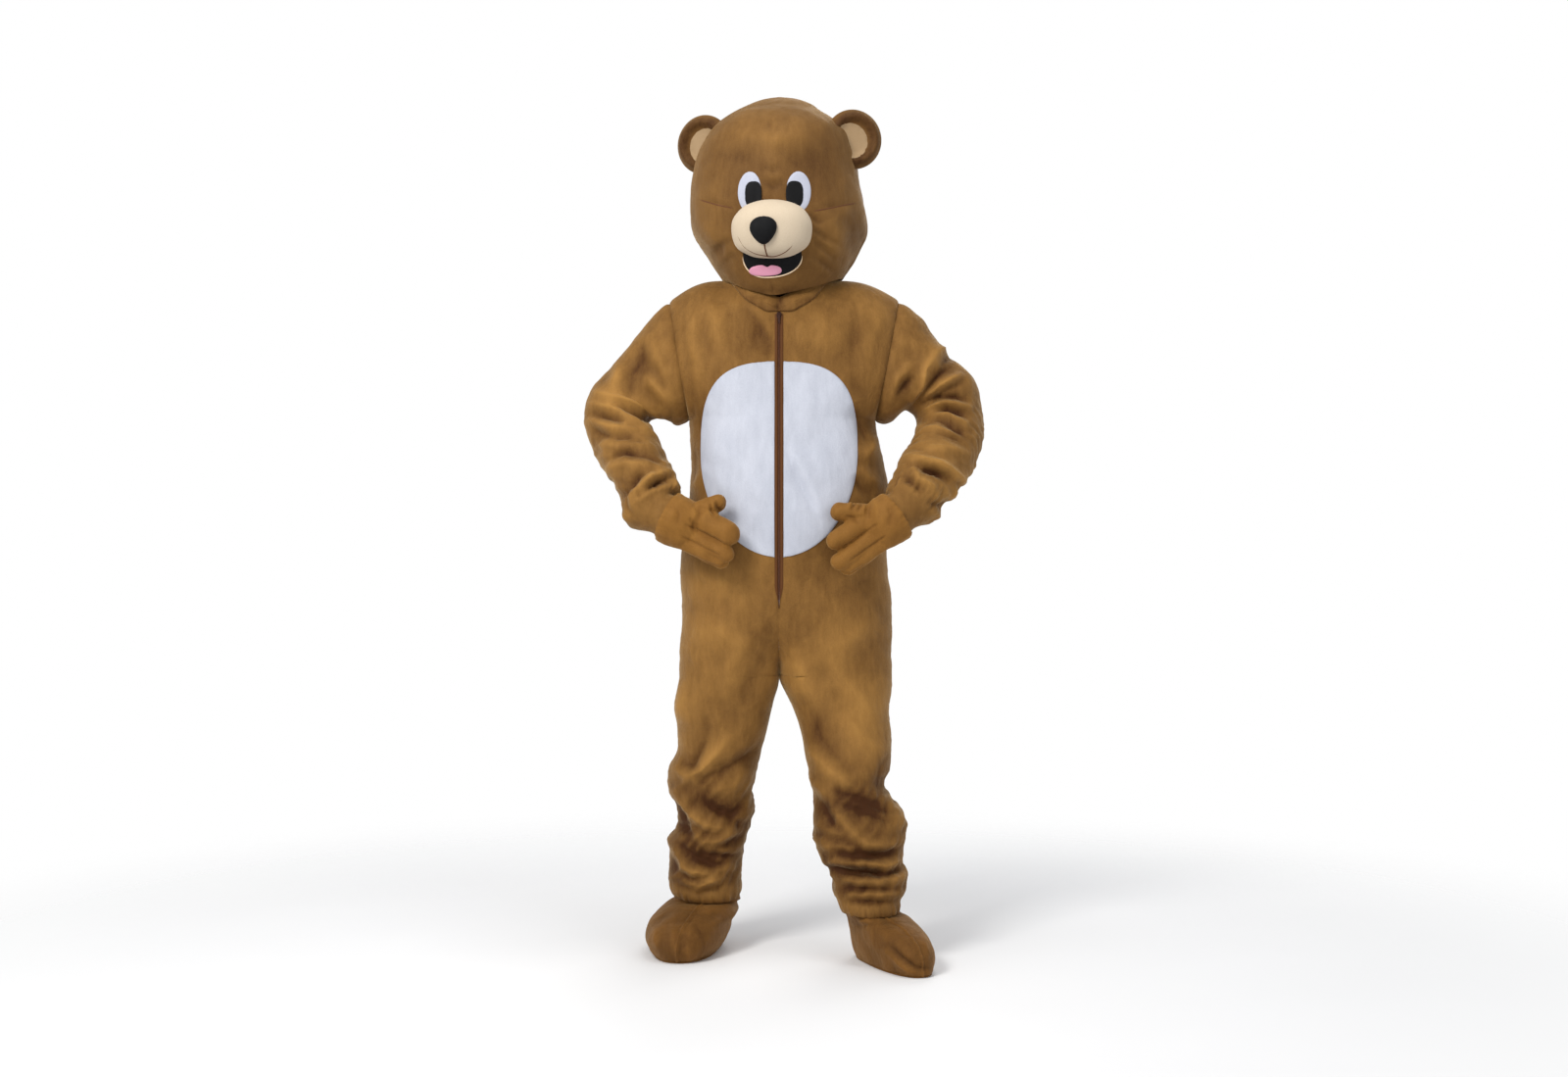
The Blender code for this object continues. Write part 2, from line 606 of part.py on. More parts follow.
def yoke_row(side, face, drop, across):
    """Points of a row between the neckline and shoulder seam (drop 0) and the chest (drop 1)."""
    start = float(centre_edge(face, NECK_FRONT))
    neck = np.minimum(across / 0.5, 1)
    shoulder = np.maximum(across / 0.5 - 1, 0)
    x_top = mix(start, NECK_HALF_WIDTH, neck) + shoulder * (ARMHOLE[side]["top_x"] - NECK_HALF_WIDTH)
    low, curve = (NECK_FRONT, 1.2) if face == FRONT else (NECK_BACK, 2.2)
    neckline = mix(low, NECK_SIDE, np.clip(x_top / NECK_HALF_WIDTH, 0, 1) ** curve)
    height_top = np.where(shoulder > 0, shoulder_height(side, x_top), neckline)
    chest = section_row(side, face, CHEST, across)
    x = mix(x_top, np.abs(chest[:, 0]), drop)
    height = mix(height_top, CHEST, drop)
    rise = np.clip((height - CHEST) / (shoulder_height(side, x) - CHEST), 0, 1)
    _, half_width, _ = section(side, face, CHEST)
    y = rounded_depth(x, half_width, depth_at(face, height)) * np.sqrt(1 - rise**3)
    return np.stack([side * x, face * np.maximum(y, SEAM / 2), height], axis=-1)


def panel_points(side, face, levels, across):
    """A panel's outer points.

    Levels run 0 to 1 down the yoke, 1 to 2 down the armhole and 2 to 3 down to the hem."""
    rows = []
    for level in levels:
        if level < 1:
            rows.append(yoke_row(side, face, level, across))
        else:
            rows.append(section_row(side, face, level_height(level), across))
    grid = np.array(rows)
    down_leg = np.clip((grid[..., 2] - CROTCH) / (HEM - CROTCH), 0, 1)
    grid[..., 2] -= HEM_DIP * down_leg**3 * np.sin(math.pi * across)
    fade = ease(across / 0.14) * ease((1 - across) / 0.14) * ease(np.array(levels) / 0.5)[:, None]
    relief = fold_relief(grid[..., 0], grid[..., 2], SUIT_FOLDS[face]) * fade
    return grid + normals(grid, (0, face, 0)) * relief[..., None]


def level_height(level):
    """Heights of the levels: 1 to 2 down the armhole, 2 to 2.5 to the crotch and 2.5 to 3 to the hem."""
    if level < 2:
        return CHEST - (CHEST - UNDERARM) * math.sin((level - 1) * math.pi / 2)
    if level <= 2.5:
        return mix(UNDERARM, CROTCH, (level - 2) / 0.5)
    return mix(CROTCH, HEM, (level - 2.5) / 0.5)


YOKE_LEVELS = [0, 0.12, 0.3, 0.62]
ARMHOLE_LEVELS = [1, 1.25, 1.5, 1.75]
BODY_LEVELS = [2, 2.05, 2.105, 2.16, 2.215, 2.27, 2.32, 2.37, 2.415, 2.455, 2.485]
LEG_LEVELS = [2.5 + 0.5 * step / 17 for step in range(18)]
LEVELS = YOKE_LEVELS + ARMHOLE_LEVELS + BODY_LEVELS + LEG_LEVELS
ACROSS = np.linspace(0, 1, 9)
UNDERARM_ROW = LEVELS.index(2)
CROTCH_ROW = LEVELS.index(2.5)


def flat_seams(inward, held):
    """Turns the inward directions along each seam into the seam's plane, so that panels meet face to face."""
    for rows, columns, axis in held:
        axis = unit(axis)
        part = inward[rows, columns]
        inward[rows, columns] = unit(part - (part @ axis)[..., None] * axis)
    return inward


def suit_panel(side, face):
    """One quarter of the suit: bodice and trouser leg cut in one piece, from the shoulder to the hem."""
    outer = panel_points(side, face, LEVELS, ACROSS)
    across_seam, across_middle = (0, 1, 0), (1, 0, 0)
    inward = flat_seams(
        -normals(outer, (0, face, 0)),
        [
            (slice(0, CROTCH_ROW), slice(0, 1), across_middle),
            (slice(CROTCH_ROW, None), slice(0, 1), across_seam),
            (slice(UNDERARM_ROW, None), slice(-1, None), across_seam),
            (slice(0, 1), slice(len(ACROSS) // 2, None), across_seam),
            (slice(0, UNDERARM_ROW + 1), slice(-1, None), armhole_normal(side)),
        ],
    )
    return outer, outer + PLUSH * inward


panels = {}
for side in (RIGHT, LEFT):
    for face, face_name in ((FRONT, "front"), (BACK, "back")):
        panels[side, face] = suit_panel(side, face)
        solid_from(f"suit_{face_name}_{SIDE_NAME[side]}", wall_mesh(*panels[side, face]), BROWN)


# ---- The belly, two pieces appliqued to the fronts ----------------------------------------------


def belly_outline(side):
    """Half of the egg-shaped outline as seen from in front, from its top round to its bottom middle."""
    turn = np.linspace(0, math.pi, 25)
    up = np.cos(turn) > 0
    power = np.where(up, BELLY["up_power"], BELLY["down_power"])
    x = BELLY["half_width"] * np.sin(turn) ** (2 / power)
    rise = np.abs(np.cos(turn)) ** (2 / power) * np.where(up, BELLY["up"], -BELLY["down"])
    return zip(side * np.maximum(x, BELLY["gap"]), BELLY["middle_height"] + rise)


def belly_prism(side):
    mesh = bmesh.new()
    outline = list(belly_outline(side))
    near, far = ([mesh.verts.new((x, BELLY[y], height)) for x, height in outline] for y in ("near", "far"))
    mesh.faces.new(near)
    mesh.faces.new(far)
    for i in range(len(outline)):
        j = (i + 1) % len(outline)
        mesh.faces.new((near[i], near[j], far[j], far[i]))
    return cutter(solid_from(f"belly_outline_{SIDE_NAME[side]}", mesh, WHITE))


ROW_SPARE = 0.075  # the patch is cut from panel rows that reach this far past it
for side in (RIGHT, LEFT):
    outer = panels[side, FRONT][0]
    lowest = BELLY["middle_height"] - BELLY["down"]
    highest = BELLY["middle_height"] + BELLY["up"]
    rows = [r for r in range(len(LEVELS)) if lowest - ROW_SPARE < outer[r, 0, 2] < highest + ROW_SPARE]
    outward = normals(outer, (0, FRONT, 0))
    slab = [(outer + outward * lift)[rows[0] : rows[-1] + 1] for lift in (SEAM + PLUSH, SEAM)]
    belly = solid_from(f"belly_{SIDE_NAME[side]}", wall_mesh(*slab), WHITE)
    boolean(belly, belly_prism(side), "INTERSECT")


# ---- Zip: tape behind the fronts' edges, its closed chain between them, slider and pull tab ------


def zip_path():
    """The line of the fronts' surface down the middle, as (y, height), from the zip's top to its foot."""
    line = np.array([(row[0, 1], row[0, 2]) for row in panels[RIGHT, FRONT][0]])
    line = line[(line[:, 1] < ZIP_TOP) & (line[:, 1] > ZIP_FOOT)]
    return np.concatenate([[end_of_line(line, ZIP_TOP)], line, [end_of_line(line, ZIP_FOOT)]])


def end_of_line(line, height):
    """A point at a height, on the fronts' middle line or straight on from its nearest stretch."""
    a, b = (line[1], line[0]) if height > line[0, 1] else (line[-2], line[-1])
    return a + (b - a) * (height - a[1]) / (b[1] - a[1])


def swept_down(name, path, profile, material):
    """A body with one outline (x across, depth behind the cloth's face) swept down a line of (y, height)."""
    run = unit(np.gradient(path, axis=0))
    behind = np.stack([-run[:, 1], run[:, 0]], axis=1)
    grid = [[(x, *(point + into * depth)) for x, depth in profile] for point, into in zip(path, behind)]
    return solid_from(name, capped_mesh(grid), material)


TAPE_HALF_WIDTH = 0.009
TAPE_FRONT = PLUSH + SEAM * 4  # how far the tape's face lies behind the cloth's
TAPE_REAR = TAPE_FRONT + 0.0012
CHAIN_FRONT = 0.0008  # how far the closed chain lies behind the cloth's face
CHAIN_HALF_WIDTH = ZIP_CHAIN / 2
TAPE_ABOVE_FOOT = 0.03  # the tape ends where the fronts' edges start to close over it
zip_line = zip_path()
tape_line = zip_line[zip_line[:, 1] > ZIP_FOOT + TAPE_ABOVE_FOOT]
zip_profile = [
    (-TAPE_HALF_WIDTH, TAPE_REAR),
    (TAPE_HALF_WIDTH, TAPE_REAR),
    (TAPE_HALF_WIDTH, TAPE_FRONT),
    (CHAIN_HALF_WIDTH, TAPE_FRONT),
    (CHAIN_HALF_WIDTH, CHAIN_FRONT),
    (-CHAIN_HALF_WIDTH, CHAIN_FRONT),
    (-CHAIN_HALF_WIDTH, TAPE_FRONT),
    (-TAPE_HALF_WIDTH, TAPE_FRONT),
]
swept_down("zip", tape_line, zip_profile, ZIP_BROWN)


def on_zip(points):
    """From the slider's own frame (across, out of the cloth, up the zip) to its place near the zip's top."""
    top, below = zip_line[0], zip_line[1]
    up = unit(top - below)
    out = np.array([-up[1], up[0]])
    y, height = mix(top, below, SLIDER["down"])
    points = np.asarray(points, float)
    places = (y, height) + points[..., 1:2] * out + points[..., 2:] * up
    return np.concatenate([points[..., :1], places], axis=-1)


def zip_block(name, low, high):
    """A plain block in the slider's frame."""
    x, out, up = (np.array(pair) for pair in zip(low, high))
    corners = [[(x[a], out[b], up[level]) for a, b in ((0, 0), (1, 0), (1, 1), (0, 1))] for level in (0, 1)]
    return solid_from(name, capped_mesh(on_zip(corners)), ZIP_LACQUER)


def zip_rod(name, radius, half_length, sides=12):
    """A closed cylinder along X, on the pull tab's hinge."""
    turn = np.linspace(0, 2 * math.pi, sides, endpoint=False)
    ring = [(SLIDER["pin_out"] + radius * math.cos(a), SLIDER["pin_up"] + radius * math.sin(a)) for a in turn]
    ends = [[(x, *point) for point in ring] for x in (-half_length, half_length)]
    return solid_from(name, capped_mesh(on_zip(ends)), ZIP_LACQUER)


half_width, pin_up, pin_out = SLIDER["half_width"], SLIDER["pin_up"], SLIDER["pin_out"]
half_length, pin_radius = SLIDER["half_length"], SLIDER["pin_radius"]
plate_corner = (half_width, SLIDER["plate"], half_length)
slider = zip_block("zip_slider", (-half_width, SEAM, -half_length), plate_corner)
lug_inside = SLIDER["pull_half_width"] + SEAM
lug_low, lug_high = pin_up - SLIDER["lug_half_height"], pin_up + SLIDER["lug_half_height"]
for side in (RIGHT, LEFT):
    inside, outside = sorted((side * lug_inside, side * half_width))
    corner = (outside, pin_out + SLIDER["lug_over_pin"], lug_high)
    lug = zip_block(f"slider_lug_{SIDE_NAME[side]}", (inside, SEAM * 2, lug_low), corner)
    boolean(slider, cutter(lug), "UNION")
boolean(slider, cutter(zip_rod("slider_pin", pin_radius, half_width - SEAM)), "UNION")

pull_half_width = SLIDER["pull_half_width"]
pull_back, pull_front = pin_out - SLIDER["pull_half_thickness"], pin_out + SLIDER["pull_half_thickness"]
pull_low, pull_high = pin_up - SLIDER["pull"], pin_up - SLIDER["pull_below_pin"]
low_corner, high_corner = (-pull_half_width, pull_back, pull_low), (pull_half_width, pull_front, pull_high)
pull = zip_block("zip_pull", low_corner, high_corner)
boolean(pull, cutter(zip_rod("pull_eye", SLIDER["eye_radius"], pull_half_width)), "UNION")
boolean(pull, cutter(zip_rod("pull_hole", pin_radius + SEAM, half_width)), "DIFFERENCE")


# ---- Collar, a folded band that stands in the neckline ------------------------------------------


def neck_ring():
    """The neckline's outer points, all round from the front middle."""
    half = len(ACROSS) // 2 + 1
    ring = [panels[LEFT, FRONT][0][0, :half], panels[LEFT, BACK][0][0, :half][::-1]]
    ring += [panels[RIGHT, BACK][0][0, :half], panels[RIGHT, FRONT][0][0, :half][::-1]]
    points = np.concatenate(ring)
    keep = np.linalg.norm(points - np.roll(points, 1, axis=0), axis=1) > 0.008
    return points[keep]


ring = neck_ring()
NECK_MIDDLE = (0.0, -0.015, 0.0)
toward_middle = unit((NECK_MIDDLE - ring) * (1, 1, 0))
front_share = ease((-ring[:, 1] + 0.02) / 0.12)
band = mix(COLLAR["back"], COLLAR["front"], front_share)
collar_rows = []
for rise, lean in COLLAR_ROWS:
    lifted = ring + toward_middle * (SEAM * 3 + lean * 0.35 * band[:, None])
    lifted[:, 2] += SEAM * 2 + rise * band
    collar_rows.append(lifted)
collar_outer = np.array(collar_rows)
collar_in = -normals(collar_outer, -toward_middle, closed=True)
collar_in[0] = unit(collar_in[0] * (1, 1, 0.15))
collar_inner = collar_outer + collar_in * COLLAR["thickness"]
solid_from("collar", wall_mesh(collar_outer, collar_inner, closed=True), BROWN)


# ---- Sleeves, from the armhole to their gathered ends inside the gloves --------------------------


def hand_frame(side):
    """The glove's directions: along the hand, across it to the thumb, and through it, out of its back."""
    along = unit(GLOVE_PLACE[side]["fingers"])
    thumb = np.array(GLOVE_PLACE[side]["thumb"])
    across = unit(thumb - (thumb @ along) * along)
    through = np.cross(along, across)
    return along, across, through * (-1 if through[1] > 0 else 1)


def hand_points(side, local):
    """From the hand's own frame to its place."""
    return np.array(GLOVE_PLACE[side]["cuff"]) + local @ np.array(hand_frame(side))


def armhole_ring(side, layer):
    """The armhole's points (layer 0 outside, 1 inside), from the top down the front and up the back."""
    front, back = (panels[side, face][layer][: UNDERARM_ROW + 1, -1] for face in (FRONT, BACK))
    top, bottom = (front[0] + back[0]) / 2, (front[-1] + back[-1]) / 2
    return np.concatenate([[top], front[1:-1], [bottom], back[-2:0:-1]])


def sleeve_edge(side, stations, edge):
    """The line of a sleeve's far or near edge."""
    shape = SLEEVE[side]
    keys = (f"{edge}_x", "forward", f"{edge}_height")
    line = np.stack([smooth(stations, shape["station"], shape[key]) for key in keys], axis=1)
    return line * (side, -1, 1)


def sleeve_points(side, stations, columns):
    """A sleeve's outer points. Stations 0 to 1 run from the armhole to the gathered end inside the glove."""
    hole = armhole_ring(side, 0)
    hole_turn = np.linspace(0, 2 * math.pi, len(hole) + 1)
    turn = np.linspace(0, 2 * math.pi, columns, endpoint=False)
    looped = np.concatenate([hole, hole[:1]])
    start = np.stack([np.interp(turn, hole_turn, looped[:, axis]) for axis in range(3)], axis=1)
    far, near = sleeve_edge(side, stations, "far"), sleeve_edge(side, stations, "near")
    centres = (far + near) / 2
    run = unit(np.gradient(centres, axis=0))
    first = unit(far - near)
    second = unit(np.cross(run, first))
    second = second * np.where(second[:, 1:2] > 0, -1, 1)
    half_width = np.linalg.norm(far - near, axis=1)[:, None, None] / 2
    half_depth = smooth(stations, SLEEVE[side]["station"], SLEEVE[side]["half_depth"])[:, None, None]
    c, s = np.cos(turn)[None, :, None], np.sin(turn)[None, :, None]
    oval = half_width * c * first[:, None] + half_depth * s * second[:, None]
    leave = ease(stations / 0.30)[:, None, None]
    grid = mix(start[None] - centres[0], oval, leave) + centres[:, None]
    away = grid - grid.mean(axis=1, keepdims=True)
    steps = np.linalg.norm(np.diff(centres, axis=0), axis=1)
    arc = np.concatenate([[0], np.cumsum(steps)])[:, None] + 0 * turn
    around = SLEEVE_RADIUS * turn[None] + 0 * arc
    lap = 2 * math.pi * SLEEVE_RADIUS
    relief = sum(fold_relief(around + n * lap, arc, SLEEVE_FOLDS[side]) for n in (-1, 0, 1))
    fade = ease(stations / 0.12)[:, None]
    return grid + normals(grid, away, closed=True) * (relief * fade)[..., None], centres


SLEEVE_STATIONS = np.concatenate([[0, 0.06], np.linspace(0.13, 0.9, 13)])
SLEEVE_COLUMNS = 16
TUCK = ((-0.014, 0.0025), (0.004, 0.0), (0.024, 0.0))  # how far into the glove, and how much narrower


def tucked_end(side):
    """The sleeve's last rows, gathered to the size of the glove's cuff and pushed into it."""
    turn = np.linspace(0, 2 * math.pi, SLEEVE_COLUMNS, endpoint=False)
    rows = []
    for along, narrower in TUCK:
        less = GLOVE_WALL + SEAM * 2.2 + narrower
        width = smooth(max(along, 0), PALM["along"], PALM["half_width"]) - less
        depth = smooth(max(along, 0), PALM["along"], PALM["half_depth"]) - less
        rows.append(np.stack([along + 0 * turn, -width * np.cos(turn), depth * np.sin(turn)], axis=-1))
    return hand_points(side, np.array(rows))


for side in (RIGHT, LEFT):
    outer, centres = sleeve_points(side, SLEEVE_STATIONS, SLEEVE_COLUMNS)
    outer[0] = armhole_ring(side, 0)
    end = tucked_end(side)
    outer = np.concatenate([outer, end])
    centres = np.concatenate([centres, end.mean(axis=1)])
    inner = outer - PLUSH * normals(outer, outer - centres[:, None], closed=True)
    inner[0] = armhole_ring(side, 1)
    offset = armhole_normal(side) * SEAM * 1.5
    walls = [layer + offset * np.linspace(1, 0, len(layer))[:, None, None] for layer in (outer, inner)]
    solid_from(f"sleeve_{SIDE_NAME[side]}", wall_mesh(*walls, closed=True), BROWN)


# ---- Head ---------------------------------------------------------------------------------------


def head_rows(turn, key):
    return smooth(turn, HEAD["turn"], HEAD[key])


def head_place(points):
    """From the head's own frame, facing -Y, to the way the head looks."""
    return turned_z(points, HEAD_TURN)


def head_points(around, down):
    """Points of the head's surface: around in radians from the face's middle to its left; down 0 at the
    crown to 1 at the rim."""
    toward_front = np.clip(np.cos(around), 0, 1)
    rim = HEAD_RIM["side"] + (HEAD_RIM["front"] - HEAD_RIM["side"]) * toward_front**1.5
    turn = down * rim
    half_width = np.where(np.sin(around) > 0, head_rows(turn, "left"), head_rows(turn, "right"))
    depth = np.where(np.cos(around) > 0, head_rows(turn, "front"), head_rows(turn, "back"))
    s, c = np.abs(np.sin(around)), np.abs(np.cos(around))
    reach = (s**HEAD_SQUARENESS + c**HEAD_SQUARENESS) ** (-1 / HEAD_SQUARENESS)
    x, y = half_width * reach * np.sin(around), -depth * reach * np.cos(around)
    return np.stack([x, y, CROWN - head_rows(turn, "drop")], axis=-1)


def face_point(x, height):
    """The point of the face's surface at x across and a height, as seen from in front."""
    rows = np.linspace(0, HEAD_RIM["front"], 400)
    turn = np.interp(CROWN - height, head_rows(rows, "drop"), rows)
    half_width = np.where(x > 0, head_rows(turn, "left"), head_rows(turn, "right"))
    share = np.clip(np.abs(x) / half_width, 0, 1) ** HEAD_SQUARENESS
    y = -head_rows(turn, "front") * (1 - share) ** (1 / HEAD_SQUARENESS)
    return np.stack([x + 0 * height, y, height + 0 * x], axis=-1)


def surface_normal(point_at, u, v):
    """The unit normal, toward -Y, of a surface given by two coordinates."""
    step = 1e-4
    across = point_at(u + step, v) - point_at(u - step, v)
    up = point_at(u, v + step) - point_at(u, v - step)
    found = unit(np.cross(across, up))
    return found * np.where(found[..., 1:2] > 0, -1, 1)


HEAD_DOWN = np.concatenate([[0, 0.08], np.linspace(0.17, 1, 11)])
HEAD_MIDDLE = (0, 0, 1.62)


def head_panel(name, first, last, columns):
    """A panel of the head between two seams, each given by its angle from the face's middle."""
    around = np.radians(np.linspace(first, last, columns))[None] + np.zeros((len(HEAD_DOWN), 1))
    outer = head_points(around, HEAD_DOWN[:, None])
    inward = -normals(outer, outer - HEAD_MIDDLE)
    inward[0] = (0, 0, -1)
    seams = []
    for column in (0, columns - 1):
        angle = around[0, column]
        seams.append((slice(1, None), slice(column, column + 1), (math.cos(angle), math.sin(angle), 0)))
    inner = outer + HEAD_WALL * flat_seams(inward, seams)
    middle = math.radians((first + last) / 2)
    apart = np.array([math.sin(middle), -math.cos(middle), 0]) * SEAM / 2
    return solid_from(name, wall_mesh(head_place(outer + apart), head_place(inner + apart)), BROWN)


head_panel("head_front", -90, 90, 13)
head_panel("head_back_left", 90, 180, 7)
head_panel("head_back_right", 180, 270, 7)


def pad(name, point_at, shape, outline, lift, thickness, material, rings=4, sides=24, keep=0.0):
    """A piece that lies on a surface round the middle of shape. Outline gives its half-sizes for angles, and
    thickness its height for 0 to 1 from its middle to its edge. With keep, it is a wall of that thickness."""
    turn = np.linspace(0, 2 * math.pi, sides, endpoint=False)
    u_edge, v_edge = outline(turn)
    share = np.sin(np.linspace(0, math.pi / 2, rings + 1))[:, None]
    u, v = shape["x"] + share * u_edge, shape["height"] + share * v_edge
    base, outward = point_at(u, v), surface_normal(point_at, u, v)
    top = thickness(share) + 0 * u
    under = np.maximum(top - keep, 0) if keep else 0 * top
    outer, inner = (base + outward * (lift + height)[..., None] for height in (top, under))
    return solid_from(name, wall_mesh(head_place(outer), head_place(inner), closed=True), material)


def oval(shape, power=2.0, grow=0.0):
    """An outline for pad: a rounded oval of the shape's half-sizes."""

    def outline(turn):
        x, y = np.cos(turn), np.sin(turn)
        wide, high = shape["half_width"] + grow, shape["half_height"] + grow
        return wide * np.sign(x) * np.abs(x) ** (2 / power), high * np.sign(y) * np.abs(y) ** (2 / power)

    return outline


def nose_outline(turn):
    """A rounded triangle, its point down."""
    corners = 1 + 0.10 * np.cos(3 * (turn - math.pi / 2))
    x = NOSE["half_width"] * np.cos(turn) * corners * (1 + 0.22 * np.sin(turn))
    return x, NOSE["half_height"] * np.sin(turn)


def flat(thickness):
    return lambda share: thickness + 0 * share


def muzzle_height(share):
    """How far the muzzle stands out from the face, from its middle to its edge."""
    dome = np.clip(1 - np.clip(share, 0, 1) ** 2.6, 0, 1) ** 0.62
    return mix(MUZZLE_WALL, MUZZLE_BULGE, dome)


def nose_height(share):
    return NOSE_EDGE + NOSE_BULGE * np.clip(1 - share**2.5, 0, 1) ** 0.6


def muzzle_point(x, height):
    """The muzzle's outer surface as seen from in front, for what lies on it."""
    sideways = (x - MUZZLE["x"]) / MUZZLE["half_width"]
    upward = (height - MUZZLE["height"]) / MUZZLE["half_height"]
    lift = SEAM + muzzle_height(np.hypot(sideways, upward))
    return face_point(x, height) + surface_normal(face_point, x, height) * lift[..., None]


pad("muzzle", face_point, MUZZLE, oval(MUZZLE), SEAM, muzzle_height, CREAM, 6, 22, MUZZLE_WALL)
pad("nose", muzzle_point, NOSE, nose_outline, SEAM * 1.3, nose_height, BLACK, 4, 14)
CORE_DEPTH = 0.01
core_outline = oval(MUZZLE, grow=SEAM * 2)
core_depth = flat(CORE_DEPTH * 2)
muzzle_core = pad("muzzle_core", face_point, MUZZLE, core_outline, -CORE_DEPTH, core_depth, CREAM, 3, 28)
cutter(muzzle_core)
PUPIL_SQUARENESS = 2.8
EYE_PIECES = [
    ("eye", EYE, 2.0, SEAM * 2, WHITE, 18),
    ("pupil", PUPIL, PUPIL_SQUARENESS, SEAM * 3 + EYE["thickness"], BLACK, 16),
]
for side in (RIGHT, LEFT):
    for name, shape, power, lift, colour, sides in EYE_PIECES:
        piece = f"{name}_{SIDE_NAME[side]}"
        placed = {**shape, "x": EYES_MIDDLE + side * shape["x"]}
        thickness = flat(shape["thickness"])
        patch = pad(piece, face_point, placed, oval(shape, power), lift, thickness, colour, 2, sides)
        boolean(patch, muzzle_core, "DIFFERENCE")


MOUTH_CLEAR = 0.0025  # how far the mouth's lining stays below the muzzle


def mouth():
    """The open mouth's black lining, between the muzzle's lower edge and the lower lip."""
    x = np.sin(np.linspace(-1, 1, 15) * math.pi / 2) * MOUTH["half_width"]
    drop = MUZZLE["half_height"] * np.sqrt(1 - (x / MUZZLE["half_width"]) ** 2)
    muzzle_edge = MUZZLE["height"] - drop - MOUTH_CLEAR
    corner = muzzle_edge[0] - 0.002
    lip = corner - (corner - MOUTH["foot"]) * np.sqrt(1 - (x / x[-1]) ** 2)
    height = mix(muzzle_edge, lip, np.linspace(0, 1, 4)[:, None])
    across = x[None] + 0 * height
    base, outward = face_point(across, height), surface_normal(face_point, across, height)
    walls = [head_place(base + outward * lift) for lift in (SEAM + MOUTH["thickness"], SEAM)]
    return solid_from("mouth", wall_mesh(*walls), BLACK)


mouth()
tongue_lift = SEAM * 4 + MOUTH["thickness"]
pad("tongue", face_point, TONGUE, oval(TONGUE, 2.4), tongue_lift, flat(TONGUE["thickness"]), PINK, 2, 16)


# ---- Ears, foam-filled discs with a dished front, seated on the head ------------------------------


def head_core():
    """The head's outer form, a seam's width larger and closed below, that the ears are cut to."""
    around = np.radians(np.arange(0, 360, 15))[None] + np.zeros((len(HEAD_DOWN), 1))
    outer = head_points(around, HEAD_DOWN[:, None])
    outward = normals(outer, outer - HEAD_MIDDLE, closed=True)
    outward[0] = (0, 0, 1)
    return cutter(solid_from("head_core", capped_mesh(head_place(outer + outward * SEAM * 2)), BROWN))


def ear_front(share):
    """How far the ear's front stands before its middle plane: a rolled edge round a shallow dish."""
    roll = EAR_ROLL * np.exp(-(((share - 0.76) / 0.2) ** 2))
    return (EAR_DISH + roll) * np.sqrt(np.clip(1 - share**8, 0, 1))


def ear_back(share):
    """How far the ear's back stands behind its middle plane."""
    return EAR_BACK * np.sqrt(np.clip(1 - share**3, 0, 1))


def ear_place(side, points):
    """From an ear's own frame (across, before, up) to the head."""
    lean = math.radians(EAR_LEAN) * side
    c, s = math.cos(lean), math.sin(lean)
    leaned = points @ np.array([[c, 0, -s], [0, 1, 0], [s, 0, c]])
    return head_place(turned_z(leaned, side * EAR_TURN) + (EAR[side], EAR["y"], EAR["height"]))


def ear_rings(shares, before):
    """Rings of an ear in its own frame, each a share of its half-sizes and as far before its middle plane."""
    share = np.array(shares)[:, None]
    turn = np.linspace(0, 2 * math.pi, 16, endpoint=False)
    x, z = EAR["half_width"] * np.cos(turn), EAR["half_height"] * np.sin(turn)
    return np.stack([share * x, before(share) + 0 * share * turn, share * z], axis=-1)


core = head_core()
front = ear_rings(EAR_RINGS, lambda share: -ear_front(share))
back = ear_rings([1.0, 0.9, 0.7, 0.4, 0], ear_back)
inner_rings = EAR_RINGS[:EAR_INNER_RINGS]
inner_front = ear_rings(inner_rings, lambda share: -ear_front(share) - SEAM - EAR_INNER)
inner_back = ear_rings(inner_rings, lambda share: -ear_front(share) - SEAM)
for side in (RIGHT, LEFT):
    ear_body = capped_mesh(ear_place(side, np.concatenate([front, back])))
    inner_wall = wall_mesh(ear_place(side, inner_front), ear_place(side, inner_back), closed=True)
    boolean(solid_from(f"ear_{SIDE_NAME[side]}", ear_body, BROWN), core, "DIFFERENCE")
    boolean(solid_from(f"ear_inner_{SIDE_NAME[side]}", inner_wall, BEIGE), core, "DIFFERENCE")


# ---- Gloves, a back and a palm sewn together round three fingers and a thumb ----------------------


def palm_body(side, name, shrink, start):
    """The hand's body as a closed form, its half-sizes less by shrink, from start to the knuckles."""
    turn = np.linspace(0, 2 * math.pi, SLEEVE_COLUMNS, endpoint=False)
    along, half_width, half_depth = (PALM[key] for key in ("along", "half_width", "half_depth"))
    along = np.append(along[:-1], along[-1] - shrink)
    if start < 0:
        along, half_width, half_depth = (np.insert(v, 0, v[0]) for v in (along, half_width, half_depth))
        along[0] = start
    rows = zip(along, half_width - shrink, half_depth - shrink)
    grid = [np.stack([a + 0 * turn, w * np.cos(turn), d * np.sin(turn)], axis=-1) for a, w, d in rows]
    return cutter(solid_from(name, capped_mesh(hand_points(side, np.array(grid))), BROWN))


